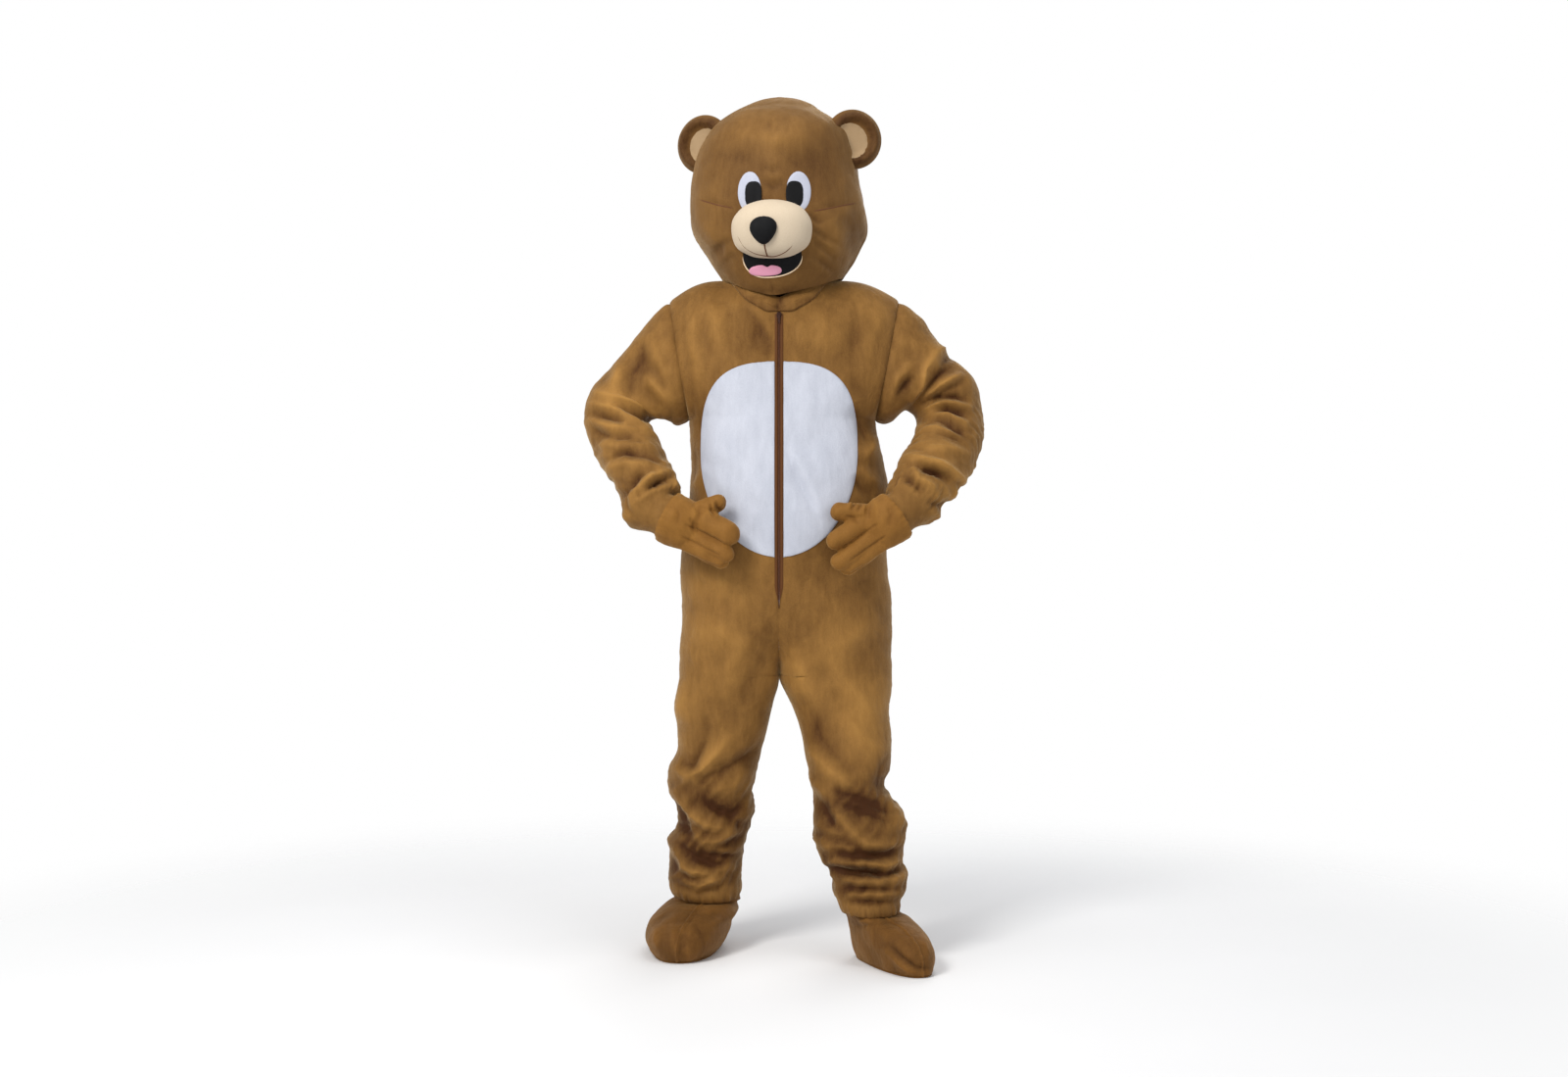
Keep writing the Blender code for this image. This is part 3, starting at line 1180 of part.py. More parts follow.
def finger_body(side, name, root, tip, radius):
    """A finger as a closed round form with a domed tip."""
    root, tip = np.array(root, float), np.array(tip, float)
    axis = unit(tip - root)
    reach = np.linalg.norm(tip - root)
    one = unit(np.cross(axis, (0, 0, 1)))
    two = np.cross(axis, one)
    turn = np.linspace(0, 2 * math.pi, 8, endpoint=False) + FINGER_TWIST
    ring = radius * (np.cos(turn)[:, None] * one + np.sin(turn)[:, None] * two)
    rows = [(0, 0.96), (reach - radius, 1.0), (reach - 0.45 * radius, 0.85), (reach - 0.08 * radius, 0.40)]
    grid = [root + axis * distance + ring * width for distance, width in rows]
    return cutter(solid_from(name, capped_mesh(hand_points(side, np.array(grid))), BROWN))


HALF_LENGTH, HALF_BREADTH = 0.2, 0.2  # of the box that halves a glove, centred over the hand
HALF_MIDDLE = (0.1, 0.02)
HALF_DEPTH = 0.08
FINGER_TWIST = 0.21  # turns the fingers' facets so that none lies flush with a neighbour's


def hand_half(side, name, low, high):
    """A closed box over one side of the hand, between two distances through it."""
    mesh = bmesh.new()
    bmesh.ops.create_cube(mesh, size=1)
    for vertex in mesh.verts:
        x, y, z = vertex.co
        along, across = HALF_MIDDLE[0] + HALF_LENGTH * x, HALF_MIDDLE[1] + HALF_BREADTH * y
        vertex.co = hand_points(side, np.array([along, across, (low + high) / 2 + (high - low) * z]))
    return solid_from(name, mesh, BROWN)


def hand_bodies(side, prefix, shrink, start):
    """Every form that the glove's outside (shrink 0) or its hollow is made of."""
    bodies = [palm_body(side, f"{prefix}_palm", shrink, start)]
    for i, (root, tip, bend, reach, radius) in enumerate(FINGERS[side]):
        first, last = (KNUCKLES, root, 0), (reach - shrink, tip, bend)
        bodies.append(finger_body(side, f"{prefix}_finger_{i}", first, last, radius - shrink))
    thumb = THUMB[side]
    thumb_axis = unit(np.array(thumb["tip"]) - thumb["root"])
    tip = np.array(thumb["tip"]) - thumb_axis * shrink
    bodies.append(finger_body(side, f"{prefix}_thumb", thumb["root"], tip, thumb["radius"] - shrink))
    return bodies


for side in (RIGHT, LEFT):
    prefix = f"glove_{SIDE_NAME[side]}"
    outside = hand_bodies(side, f"{prefix}_outside", 0.0, 0.0)
    hollow = hand_bodies(side, f"{prefix}_hollow", GLOVE_WALL, -0.02)
    for first, *others in (outside, hollow):
        for other in others:
            boolean(first, other, "UNION")
    for half, low, high in (("back", SEAM / 2, HALF_DEPTH), ("palm", -HALF_DEPTH, -SEAM / 2)):
        piece = hand_half(side, f"{prefix}_{half}", low, high)
        boolean(piece, outside[0], "INTERSECT")
        boolean(piece, hollow[0], "DIFFERENCE")


# ---- Foot covers, two uppers sewn along the instep and heel, on a flat sole -----------------------


def foot_place(side, points):
    x, y = FOOT_PLACE[side]["ankle"]
    return turned_z(points, -FOOT_PLACE[side]["turn"]) + (x, y, 0)


def sole_outline(side, turn):
    """The sole's edge from the ankle's middle: turn 0 at the toe, a quarter turn at the left."""
    forward = np.cos(turn)
    half_width = mix(*FOOT_HALF_WIDTHS[side], ease((forward + 0.9) / 1.4))
    reach = np.where(forward > 0, FOOT["toe"], FOOT["heel"])
    x = half_width * np.sign(np.sin(turn)) * np.abs(np.sin(turn)) ** 0.87
    y = -reach * np.sign(forward) * np.abs(forward) ** np.where(forward > 0, 0.80, 0.87)
    return x + FOOT_PLACE[side]["aside"], y


def upper_points(side, turn, height):
    """A foot cover's surface: a bulging dome from the sole's edge up to the ankle, then straight up inside
    the trousers."""
    edge_x, edge_y = sole_outline(side, turn)
    ankle_x = FOOT_PLACE[side]["ankle_half_width"] * np.sin(turn)
    ankle_y = -np.where(np.cos(turn) > 0, ANKLE["front"], ANKLE["back"]) * np.cos(turn)
    share = np.clip((height - SOLE) / FOOT_DOME, 0, 1)
    spread = np.clip(1 - share**2.6, 0, 1) ** 0.62
    bulge = FOOT_PLACE[side]["slack"] * np.sin(math.pi * share**0.85)
    x = mix(ankle_x, edge_x, spread) + bulge * np.sin(turn)
    y = mix(ankle_y, edge_y, spread) - bulge * np.cos(turn)
    return np.stack([x, y, height + 0 * turn], axis=-1)


UPPER_HEIGHTS = SOLE + SEAM + np.concatenate([FOOT_DOME * np.array(FOOT_DOME_SHARES), [ANKLE["top"]]])
UPPER_COLUMNS = 22
UPPER_MIDDLE = (-0.04, 0.03)  # y and height of a point inside the cover
SOLE_EDGE = (slice(0, 1), slice(None), (0, 0, 1))
for side in (RIGHT, LEFT):
    turn = np.linspace(0, 2 * math.pi, UPPER_COLUMNS + 1)[None] + np.zeros((len(UPPER_HEIGHTS), 1))
    outer = upper_points(side, turn, UPPER_HEIGHTS[:, None])
    away = outer - (FOOT_PLACE[side]["aside"], *UPPER_MIDDLE)
    inward = -normals(outer[:, :-1], away[:, :-1], closed=True)
    inward = flat_seams(inward, [SOLE_EDGE])
    inner = outer + PLUSH * np.concatenate([inward, inward[:, :1]], axis=1)
    half = UPPER_COLUMNS // 2
    halves = [("left", slice(0, half + 1), SEAM / 2), ("right", slice(half, None), -SEAM / 2)]
    for name, columns, step in halves:
        walls = (foot_place(side, layer[:, columns] + (step, 0, 0)) for layer in (outer, inner))
        solid_from(f"foot_{SIDE_NAME[side]}_{name}", wall_mesh(*walls), DARK_BROWN)
    turn = np.linspace(0, 2 * math.pi, 24, endpoint=False)
    edge_x, edge_y = sole_outline(side, turn)
    edges = [np.stack([edge_x, edge_y, level + 0 * turn], axis=-1) for level in (0.0, SOLE)]
    solid_from(f"sole_{SIDE_NAME[side]}", capped_mesh([foot_place(side, edge) for edge in edges]), DARK_BROWN)
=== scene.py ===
"""The looks of a bear mascot costume, worn: a plush jumpsuit with a belly patch and zip, a head, gloves and
foot covers.

Lengths are metres and heights are above the soles; piece() moves them to the part's own origin, where the
wearer's shoulders carry the suit. The costume faces -Y, and its right-hand pieces lie at -X.
"""

import math

import bmesh
import bpy
import numpy as np
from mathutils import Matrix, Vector
from mathutils.bvhtree import BVHTree


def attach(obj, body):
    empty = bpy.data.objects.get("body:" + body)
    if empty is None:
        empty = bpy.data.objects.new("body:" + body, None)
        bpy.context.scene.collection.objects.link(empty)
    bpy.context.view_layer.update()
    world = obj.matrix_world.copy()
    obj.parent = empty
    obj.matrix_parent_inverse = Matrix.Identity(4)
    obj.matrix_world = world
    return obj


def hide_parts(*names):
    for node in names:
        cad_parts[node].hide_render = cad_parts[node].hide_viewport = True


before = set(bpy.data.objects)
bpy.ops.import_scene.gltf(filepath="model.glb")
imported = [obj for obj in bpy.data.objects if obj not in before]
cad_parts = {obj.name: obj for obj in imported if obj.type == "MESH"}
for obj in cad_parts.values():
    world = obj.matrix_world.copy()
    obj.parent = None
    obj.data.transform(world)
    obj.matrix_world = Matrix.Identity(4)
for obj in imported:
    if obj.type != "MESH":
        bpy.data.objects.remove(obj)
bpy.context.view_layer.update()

# ---- Suit ----------------------------------------------------------------------------------------
# The jumpsuit is four panels of short-pile plush, each a bodice quarter and trouser leg cut in one. They
# are sewn together down the sides, the back, the inner legs and the shoulders, and elastic gathers each
# leg's lower end over the foot cover.

HOLD_HEIGHT = 1.420  # the inside of the neck, where the shoulders carry the suit, above the soles
PLUSH = 0.0025  # short-pile plush, backing and pile
SEAM = 0.0003  # what two sewn pieces stand apart
SQUARENESS = 2.3  # exponent of the body's rounded sections, 2 being an ellipse

CHEST = 1.250  # height of the row where the armhole is deepest
UNDERARM = 1.147
FORK_TOP = 0.800  # the two trouser halves start to part below this height
CROTCH = 0.597
HEM = 0.116
HEM_DIP = 0.012  # how much lower the hems hang in front and behind than at the sides
NECK_HALF_WIDTH = 0.118
NECK_SIDE = 1.452
NECK_FRONT = 1.376
NECK_BACK = 1.454
NECK_RISE = -0.3  # how the shoulder line would go on rising over the neck hole
SHOULDER_ROUND = 0.014
ZIP_TOP = 1.368
ZIP_FOOT = 0.745
ZIP_HALF_OPENING = 0.003
ZIP_OPENS_OVER = 0.03  # how far up from the zip's foot its opening reaches its full width
PARTING_POWER, PARTING_EARLY = 1.3, 0.65  # how the halves part between the fork's top and the crotch

RIGHT, LEFT = -1, 1
FRONT, BACK = -1, 1
SIDE_NAME = {RIGHT: "right", LEFT: "left"}
FACE_NAME = {FRONT: "front", BACK: "back"}
NECKLINE = {FRONT: (NECK_FRONT, 1.2), BACK: (NECK_BACK, 2.2)}  # its lowest height, and its curve's power


def table(columns, rows):
    """A short table as a dict of named columns, rising in its first column."""
    ordered = np.array(sorted(rows), float)
    return dict(zip(columns.split(), ordered.T))


# How far each half's outer side, and below the crotch its inner leg, lie from the middle, and how far back
# its side seam runs. The left foot stands a short step forward.
OUTLINE = {
    RIGHT: table("height outer inner seam", [
        (1.147, 0.196, 0.0, 0.0),
        (1.050, 0.191, 0.0, 0.0),
        (0.950, 0.200, 0.0, 0.0),
        (0.855, 0.213, 0.0, 0.0),
        (0.750, 0.211, 0.0, 0.0),
        (0.700, 0.209, 0.0, 0.0),
        (0.650, 0.214, 0.0, 0.0),
        (0.597, 0.216, 0.0, 0.0),
        (0.523, 0.224, 0.015, 0.004),
        (0.470, 0.221, 0.028, 0.010),
        (0.425, 0.223, 0.038, 0.018),
        (0.392, 0.241, 0.047, 0.024),
        (0.340, 0.240, 0.060, 0.030),
        (0.302, 0.226, 0.055, 0.034),
        (0.262, 0.226, 0.064, 0.038),
        (0.236, 0.243, 0.071, 0.040),
        (0.205, 0.241, 0.080, 0.043),
        (0.160, 0.245, 0.084, 0.045),
        (0.138, 0.243, 0.081, 0.045),
        (0.116, 0.237, 0.079, 0.045),
    ]),
    LEFT: table("height outer inner seam", [
        (1.147, 0.209, 0.0, 0.0),
        (1.100, 0.216, 0.0, 0.0),
        (1.050, 0.229, 0.0, 0.0),
        (0.990, 0.240, 0.0, 0.0),
        (0.855, 0.234, 0.0, 0.0),
        (0.750, 0.245, 0.0, 0.0),
        (0.650, 0.245, 0.0, 0.0),
        (0.597, 0.243, 0.0, 0.0),
        (0.523, 0.237, 0.030, -0.010),
        (0.474, 0.241, 0.046, -0.025),
        (0.425, 0.243, 0.057, -0.045),
        (0.400, 0.240, 0.063, -0.055),
        (0.370, 0.228, 0.068, -0.062),
        (0.345, 0.235, 0.075, -0.070),
        (0.303, 0.264, 0.072, -0.080),
        (0.245, 0.268, 0.076, -0.092),
        (0.215, 0.259, 0.086, -0.098),
        (0.180, 0.270, 0.108, -0.105),
        (0.150, 0.268, 0.114, -0.112),
        (0.132, 0.259, 0.122, -0.117),
        (0.116, 0.262, 0.124, -0.120),
    ]),
}
# How deep the suit is in front of and behind its side seams.
DEPTH = table("height front back", [
    (1.450, 0.116, 0.112),
    (1.250, 0.126, 0.118),
    (1.147, 0.136, 0.118),
    (1.000, 0.152, 0.112),
    (0.900, 0.158, 0.124),
    (0.800, 0.148, 0.142),
    (0.700, 0.132, 0.146),
    (0.597, 0.114, 0.126),
    (0.500, 0.104, 0.112),
    (0.400, 0.098, 0.104),
    (0.300, 0.092, 0.098),
    (0.200, 0.088, 0.090),
    (0.116, 0.084, 0.082),
])
ARMHOLE = {
    RIGHT: {"top_x": 0.2385, "top_height": 1.406, FRONT: 0.082, BACK: 0.078},
    LEFT: {"top_x": 0.2600, "top_height": 1.409, FRONT: 0.082, BACK: 0.078},
}

# The folds of the suit, in millimetres. Each row is how far a fold stands out (below 0 it is a trough), its
# half-width, how deep a trough runs along its right-hand side as a share of that (below 0, along its
# left-hand side), and then the points (x, height) of its line, as seen from in front.
FRONT_FOLDS = [
    # right leg
    (13, 14, 0, (-232, 404), (-201, 382), (-167, 397), (-132, 437), (-105, 480)),
    (-12, 10, 0, (-214, 412), (-185, 404), (-172, 430), (-155, 462)),
    (-11, 16, 0, (-180, 376), (-115, 396), (-67, 425), (-35, 455)),
    (9, 22, 0, (-150, 350), (-105, 362), (-66, 400)),
    (-12, 12, 0, (-182, 334), (-139, 311), (-98, 298), (-72, 325)),
    (11, 12, 0.4, (-232, 352), (-198, 309), (-157, 278), (-90, 265)),
    (-9, 10, 0, (-236, 322), (-206, 285), (-178, 262)),
    (8, 10, 0.3, (-200, 295), (-185, 262), (-166, 242)),
    (-12, 9, 0, (-232, 276), (-205, 268), (-178, 254)),
    (11, 11, 0.5, (-176, 237), (-122, 246), (-86, 268)),
    (-13, 11, 0, (-222, 240), (-181, 206), (-146, 189), (-82, 192)),
    (8, 9, 0, (-165, 226), (-125, 222), (-86, 213)),
    (-8, 8, 0, (-176, 214), (-130, 209), (-86, 206)),
    (11, 12, 0.3, (-232, 228), (-201, 182), (-146, 167), (-82, 203)),
    (10, 10, 0.5, (-228, 168), (-174, 143), (-110, 166)),
    (-8, 8, 0, (-204, 158), (-165, 160), (-125, 178)),
    (8, 10, 0.3, (-215, 190), (-175, 160), (-120, 150)),
    (7, 14, 0, (-81, 280), (-67, 316), (-50, 350)),
    (8, 18, 0, (-214, 590), (-208, 545), (-222, 500)),
    (-6, 16, 0, (-160, 440), (-150, 480), (-155, 520)),
    (6, 24, 0, (-60, 690), (-100, 620), (-120, 540)),
    (-6, 20, 0, (-30, 650), (-60, 590), (-75, 530)),
    # left leg
    (-10, 22, 0, (45, 560), (85, 468), (146, 409), (176, 355)),
    (8, 16, 0.3, (58, 447), (112, 403), (170, 358)),
    (-11, 13, 0, (105, 365), (153, 355), (222, 325), (262, 300)),
    (11, 14, 0, (225, 350), (250, 310), (262, 280)),
    (-9, 10, 0, (112, 341), (170, 324), (242, 292)),
    (11, 12, 0.5, (108, 328), (146, 286), (184, 254), (222, 248), (268, 262)),
    (-13, 10, 0, (108, 237), (188, 227), (265, 243)),
    (8, 10, 0, (75, 243), (129, 249), (180, 243)),
    (12, 10, 0.9, (95, 216), (188, 215), (225, 206), (268, 224)),
    (-12, 9, 0, (108, 200), (188, 195), (262, 197)),
    (10, 11, 0.4, (118, 180), (188, 177), (272, 183)),
    (-8, 8, 0, (130, 162), (188, 165), (250, 160)),
    (9, 9, 0.5, (135, 150), (188, 153), (262, 150)),
    (-7, 8, 0, (130, 134), (184, 139), (255, 132)),
    (-7, 12, 0, (78, 348), (102, 313), (116, 276)),
    (6, 10, 0.3, (76, 285), (119, 278), (158, 265)),
    (8, 26, 0, (130, 530), (174, 474), (232, 430)),
    (7, 26, 0, (100, 640), (170, 560), (215, 500)),
    (-6, 20, 0, (232, 440), (215, 400), (205, 350)),
    (6, 20, 0, (30, 660), (50, 600), (60, 540)),
    # bodice
    (-8, 7, 0, (-207, 1349), (-200, 1266), (-193, 1204), (-185, 1150)),
    (7, 10, 0, (-219, 1331), (-212, 1273), (-203, 1200)),
    (-5, 8, 0, (-80, 1398), (-50, 1359), (-22, 1310)),
    (6, 14, 0, (-60, 1405), (-32, 1365), (-12, 1320)),
    (6, 18, 0, (-188, 1365), (-178, 1270), (-168, 1190)),
    (-5, 16, 0, (-164, 1375), (-157, 1321), (-148, 1270)),
    (5, 18, 0, (-140, 1390), (-130, 1340), (-120, 1290)),
    (-7, 14, 0, (-186, 1110), (-181, 1066), (-184, 1005)),
    (6, 12, 0, (-152, 1050), (-169, 1021), (-190, 995)),
    (-8, 18, 0, (155, 1175), (176, 1135), (193, 1080)),
    (8, 14, 0, (222, 1120), (200, 1090), (180, 1055)),
    (-7, 12, 0, (158, 1026), (176, 1000), (205, 985)),
    (7, 14, 0, (170, 1050), (190, 1020), (220, 1010)),
    (-5, 18, 0, (140, 1232), (176, 1204), (203, 1165)),
    (5, 20, 0, (205, 1350), (192, 1266), (186, 1200)),
    (-3, 13, 0, (165, 1380), (160, 1320), (150, 1260)),
    (4, 26, 0, (110, 1380), (95, 1330), (80, 1290)),
    (-6, 9, 0, (4, 1090), (31, 1037), (51, 996), (88, 918)),
    (5, 13, 0, (18, 1098), (46, 1045), (68, 998), (104, 930)),
    (4, 22, 0, (60, 1240), (62, 1160), (56, 1100)),
    (-4, 20, 0, (-85, 1200), (-90, 1100), (-80, 1000)),
    (4, 24, 0, (-130, 1150), (-135, 1060), (-120, 980)),
    (6, 30, 0, (-190, 840), (-140, 800), (-60, 780)),
    (-5, 26, 0, (210, 820), (150, 780), (70, 765)),
    (5, 22, 0, (-180, 740), (-120, 690), (-60, 660)),
    (5, 22, 0, (215, 730), (150, 680), (80, 650)),
]
BACK_FOLDS = [
    (9, 20, 0, (-185, 1345), (-140, 1270), (-85, 1180)),
    (8, 18, 0.3, (190, 1340), (150, 1260), (90, 1190)),
    (-6, 16, 0, (-120, 1380), (-90, 1320), (-50, 1270)),
    (6, 18, 0, (120, 1380), (100, 1330), (60, 1280)),
    (6, 12, 0.4, (-196, 1200), (-160, 1160), (-100, 1145)),
    (6, 12, 0.4, (205, 1190), (170, 1150), (110, 1130)),
    (-9, 16, 0, (-185, 1060), (-120, 1020), (-30, 1000)),
    (9, 16, 0.5, (-190, 1030), (-110, 985), (-10, 975)),
    (9, 16, 0.5, (20, 980), (110, 1000), (215, 1045)),
    (-8, 16, 0, (30, 950), (120, 960), (220, 1000)),
    (7, 18, 0, (-180, 930), (-100, 900), (-20, 905)),
    (6, 18, 0, (30, 890), (120, 880), (210, 910)),
    (-11, 14, 0, (-190, 690), (-130, 640), (-55, 625)),
    (10, 16, 0.3, (-195, 660), (-130, 610), (-60, 590)),
    (-11, 14, 0, (60, 625), (140, 635), (210, 680)),
    (10, 16, 0.3, (70, 590), (150, 605), (220, 650)),
    (11, 14, 0.5, (-215, 470), (-150, 425), (-70, 430)),
    (-10, 12, 0, (-218, 415), (-150, 385), (-80, 400)),
    (11, 14, 0.4, (80, 440), (150, 420), (230, 455)),
    (-11, 12, 0, (80, 395), (160, 380), (235, 405)),
    (10, 12, 0.5, (-226, 360), (-150, 335), (-75, 355)),
    (-10, 11, 0, (-225, 318), (-140, 300), (-75, 325)),
    (11, 12, 0.4, (85, 345), (170, 330), (250, 350)),
    (-10, 11, 0, (85, 300), (170, 290), (258, 305)),
    (11, 11, 0.6, (-232, 272), (-150, 262), (-80, 286)),
    (-10, 10, 0, (-235, 232), (-160, 220), (-85, 240)),
    (10, 10, 0.5, (-238, 205), (-160, 192), (-85, 210)),
    (11, 11, 0.6, (85, 262), (170, 250), (264, 268)),
    (-10, 10, 0, (95, 222), (180, 212), (264, 228)),
    (10, 10, 0.5, (105, 192), (185, 184), (266, 196)),
    (-9, 9, 0, (-236, 172), (-160, 160), (-86, 172)),
    (9, 9, 0.5, (-238, 148), (-160, 138), (-86, 150)),
    (-9, 9, 0, (115, 165), (190, 156), (266, 168)),
    (9, 9, 0.5, (120, 142), (190, 136), (262, 146)),
]
SUIT_FOLDS = {FRONT: FRONT_FOLDS, BACK: BACK_FOLDS}


def smooth(at, knots, values):
    """A smooth curve through a table's column or rows, with slopes taken from the neighbouring rows."""
    at = np.asarray(at, float)
    slopes = np.gradient(values, knots, axis=0)
    i = np.clip(np.searchsorted(knots, at) - 1, 0, len(knots) - 2)
    step = knots[i + 1] - knots[i]
    t = np.clip((at - knots[i]) / step, 0, 1)
    if values.ndim > 1:
        step, t = step[..., None], t[..., None]
    start = values[i] * (1 + 2 * t) * (1 - t) ** 2 + values[i + 1] * t * t * (3 - 2 * t)
    return start + step * (slopes[i] * t * (1 - t) ** 2 - slopes[i + 1] * t * t * (1 - t))


def ease(t):
    """0 to 1 with a soft start and end."""
    t = np.clip(t, 0, 1)
    return t * t * (3 - 2 * t)


def mix(a, b, share):
    return a + (b - a) * share


def unit(vectors):
    vectors = np.asarray(vectors, float)
    return vectors / np.maximum(np.linalg.norm(vectors, axis=-1, keepdims=True), 1e-12)


def rounded_depth(x, half_width, depth):
    """The depth of a rounded section at x across it."""
    return depth * (1 - np.clip(np.abs(x) / half_width, 0, 1) ** SQUARENESS) ** (1 / SQUARENESS)


def normals(grid, away, closed=False):
    """Unit normals of a grid of points, rows by columns, on the side that away points to.

    Closed: the columns go all round."""
    wide = np.concatenate([grid[:, -1:], grid, grid[:, :1]], axis=1) if closed else grid
    along_columns = np.gradient(wide, axis=1)
    if closed:
        along_columns = along_columns[:, 1:-1]
    found = unit(np.cross(along_columns, np.gradient(grid, axis=0)))
    return found if np.sum(found * away) > 0 else -found


FOLD_CREST = 1.35  # exponent of a fold's section: 2 is a soft swell, 1 a sharp crest
FOLD_TAPER = 0.7  # exponent of how a fold fades to its ends
TROUGH_PLACE, TROUGH_WIDTH = 1.6, 0.8  # of the trough beside a fold, as shares of the fold's half-width
FAR_AWAY = 9.0


def fold_relief(x, height, folds):
    """How far the folds of a table move each point out, by its signed distance from each fold's line."""
    total = np.zeros_like(x)
    for out, reach, trough, *line in folds:
        out, reach, line = out / 1000, reach / 1000, np.array(line) / 1000
        lengths = np.linalg.norm(np.diff(line, axis=0), axis=1)
        starts = np.concatenate([[0], np.cumsum(lengths)]) / lengths.sum()
        nearest, share = np.full_like(x, FAR_AWAY), np.zeros_like(x)
        for (x0, h0), (x1, h1), s0, s1 in zip(line, line[1:], starts, starts[1:]):
            run = np.array([x1 - x0, h1 - h0])
            t = np.clip(((x - x0) * run[0] + (height - h0) * run[1]) / (run @ run), 0, 1)
            aside, above = x - x0 - t * run[0], height - h0 - t * run[1]
            left = np.hypot(aside, above) * np.sign(run[0] * above - run[1] * aside)
            closer = np.abs(left) < np.abs(nearest)
            nearest = np.where(closer, left, nearest)
            share = np.where(closer, mix(s0, s1, t), share)
        taper = np.sin(math.pi * share) ** FOLD_TAPER
        beside = (nearest + TROUGH_PLACE * reach * np.sign(trough)) / (TROUGH_WIDTH * reach)
        profile = np.exp(-(np.abs(nearest / reach) ** FOLD_CREST)) - abs(trough) * np.exp(-(beside**2))
        total += out * taper * profile
    return total


UNEVEN_WAVES = 9


def unevenness(points, seed, wavelength, height):
    """A soft unevenness of hung cloth: a few slow waves in different directions."""
    draw = np.random.default_rng(seed)
    total = np.zeros(points.shape[:-1])
    for _ in range(UNEVEN_WAVES):
        direction = unit(draw.normal(size=3)) * 2 * math.pi / (wavelength * draw.uniform(0.7, 1.6))
        total += np.sin(points @ direction + draw.uniform(0, 2 * math.pi))
    return total * height / math.sqrt(UNEVEN_WAVES)


def wrinkles(points, seed, wavelength, height, waves=5):
    """Crumpled cloth: crossing waves with sharp crests, bent by slower ones."""
    draw = np.random.default_rng(seed)
    total = np.zeros(points.shape[:-1])
    for _ in range(waves):
        steep = unit(draw.normal(size=3) * (0.4, 0.4, 1.0))
        direction = steep * math.pi / (wavelength * draw.uniform(0.7, 1.5))
        bend = unevenness(points, draw.integers(1000), wavelength * 3, 1.1)
        total += 0.6 - np.abs(np.sin(points @ direction + bend))
    return total * height / 2


def gathers(along, fade, seed, pitch, height):
    """Small uneven gathers across a seam or hem, by the length along it and a fade of 1 at it."""
    draw = np.random.default_rng(seed)
    total = np.zeros_like(along)
    for scale in (1.0, 0.73, 1.37, 0.51):
        wavelength = pitch * scale * draw.uniform(0.92, 1.08)
        total += np.sin(2 * math.pi * along / wavelength + draw.uniform(0, 6.28))
    return total * height * 0.4 * fade


def grid_faces(rows, columns, closed, first=0):
    """The quads of a grid whose points are numbered row by row from first."""
    steps = columns if closed else columns - 1
    r, c = np.meshgrid(np.arange(rows - 1), np.arange(steps), indexing="ij")
    d = (c + 1) % columns
    corners = [(r, c), (r, d), (r + 1, d), (r + 1, c)]
    quads = np.stack([row * columns + column for row, column in corners], axis=-1)
    return (quads.reshape(-1, 4) + first).tolist()


WELD = 1e-6  # points nearer than this are one
SHARP_EDGE = 62  # degrees


def piece(name, points, faces, material, crease_shade=None):
    """A named piece of the costume from points above the soles, riding on the costume's body."""
    data = bpy.data.meshes.new(name)
    placed = np.asarray(points, float).reshape(-1, 3) - (0, 0, HOLD_HEIGHT)
    data.from_pydata(placed.tolist(), [], faces)
    depth = np.zeros(len(placed)) if crease_shade is None else np.asarray(crease_shade, float).ravel()
    # The crease shade attribute colours the pile darker in troughs and lighter on ridges: painted shade and
    # painted highlight.
    data.attributes.new("crease_shade", "FLOAT", "POINT").data.foreach_set("value", depth)
    mesh = bmesh.new()
    mesh.from_mesh(data)
    bmesh.ops.remove_doubles(mesh, verts=mesh.verts, dist=WELD)
    bmesh.ops.recalc_face_normals(mesh, faces=mesh.faces)
    mesh.to_mesh(data)
    mesh.free()
    data.shade_smooth()
    data.set_sharp_from_angle(angle=math.radians(SHARP_EDGE))
    data.materials.append(material)
    made = bpy.data.objects.new(name, data)
    bpy.context.scene.collection.objects.link(made)
    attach(made, "costume")
    return made


def cloth(name, outer, inner, material, slot, closed=False, crease_shade=None):
    """A wall of cloth between two grids of points, closed along its open edges."""
    rows, columns = outer.shape[:2]
    count = rows * columns
    faces = grid_faces(rows, columns, closed) + grid_faces(rows, columns, closed, count)
    index = np.arange(count).reshape(rows, columns)
    rims = [index[0], index[-1]]
    if closed:
        rims = [np.append(rim, rim[0]) for rim in rims]
    else:
        rims += [index[:, 0], index[:, -1]]
    for rim in rims:
        faces += np.stack([rim[:-1], rim[1:], rim[1:] + count, rim[:-1] + count], axis=1).tolist()
    depth = None if crease_shade is None else np.concatenate([crease_shade.ravel(), crease_shade.ravel()])
    points = np.concatenate([outer.reshape(-1, 3), inner.reshape(-1, 3)])
    return piece(name, points, faces, material, depth)


def armhole_x(side, height):
    hole, low = ARMHOLE[side], OUTLINE[side]["outer"][-1]
    return low + (hole["top_x"] - low) * (height - UNDERARM) / (hole["top_height"] - UNDERARM)


def shoulder_height(side, x):
    """Height of the shoulder seam, and of the shape that it would have over the neck hole."""
    hole = ARMHOLE[side]
    slope = (hole["top_height"] - NECK_SIDE) / (hole["top_x"] - NECK_HALF_WIDTH)
    beyond = x - NECK_HALF_WIDTH
    share = np.clip(beyond / (hole["top_x"] - NECK_HALF_WIDTH), 0, 1)
    rise = np.where(beyond > 0, slope, NECK_RISE) * beyond
    return NECK_SIDE + rise + SHOULDER_ROUND * np.sin(math.pi * share)


def depth_at(face, height):
    return smooth(height, DEPTH["height"], DEPTH[FACE_NAME[face]])


def centre_edge(face, height):
    """How far from the middle a panel's centre edge lies: half the zip's opening, or nothing."""
    return ZIP_HALF_OPENING * ease((height - ZIP_FOOT) / ZIP_OPENS_OVER) if face == FRONT else 0.0


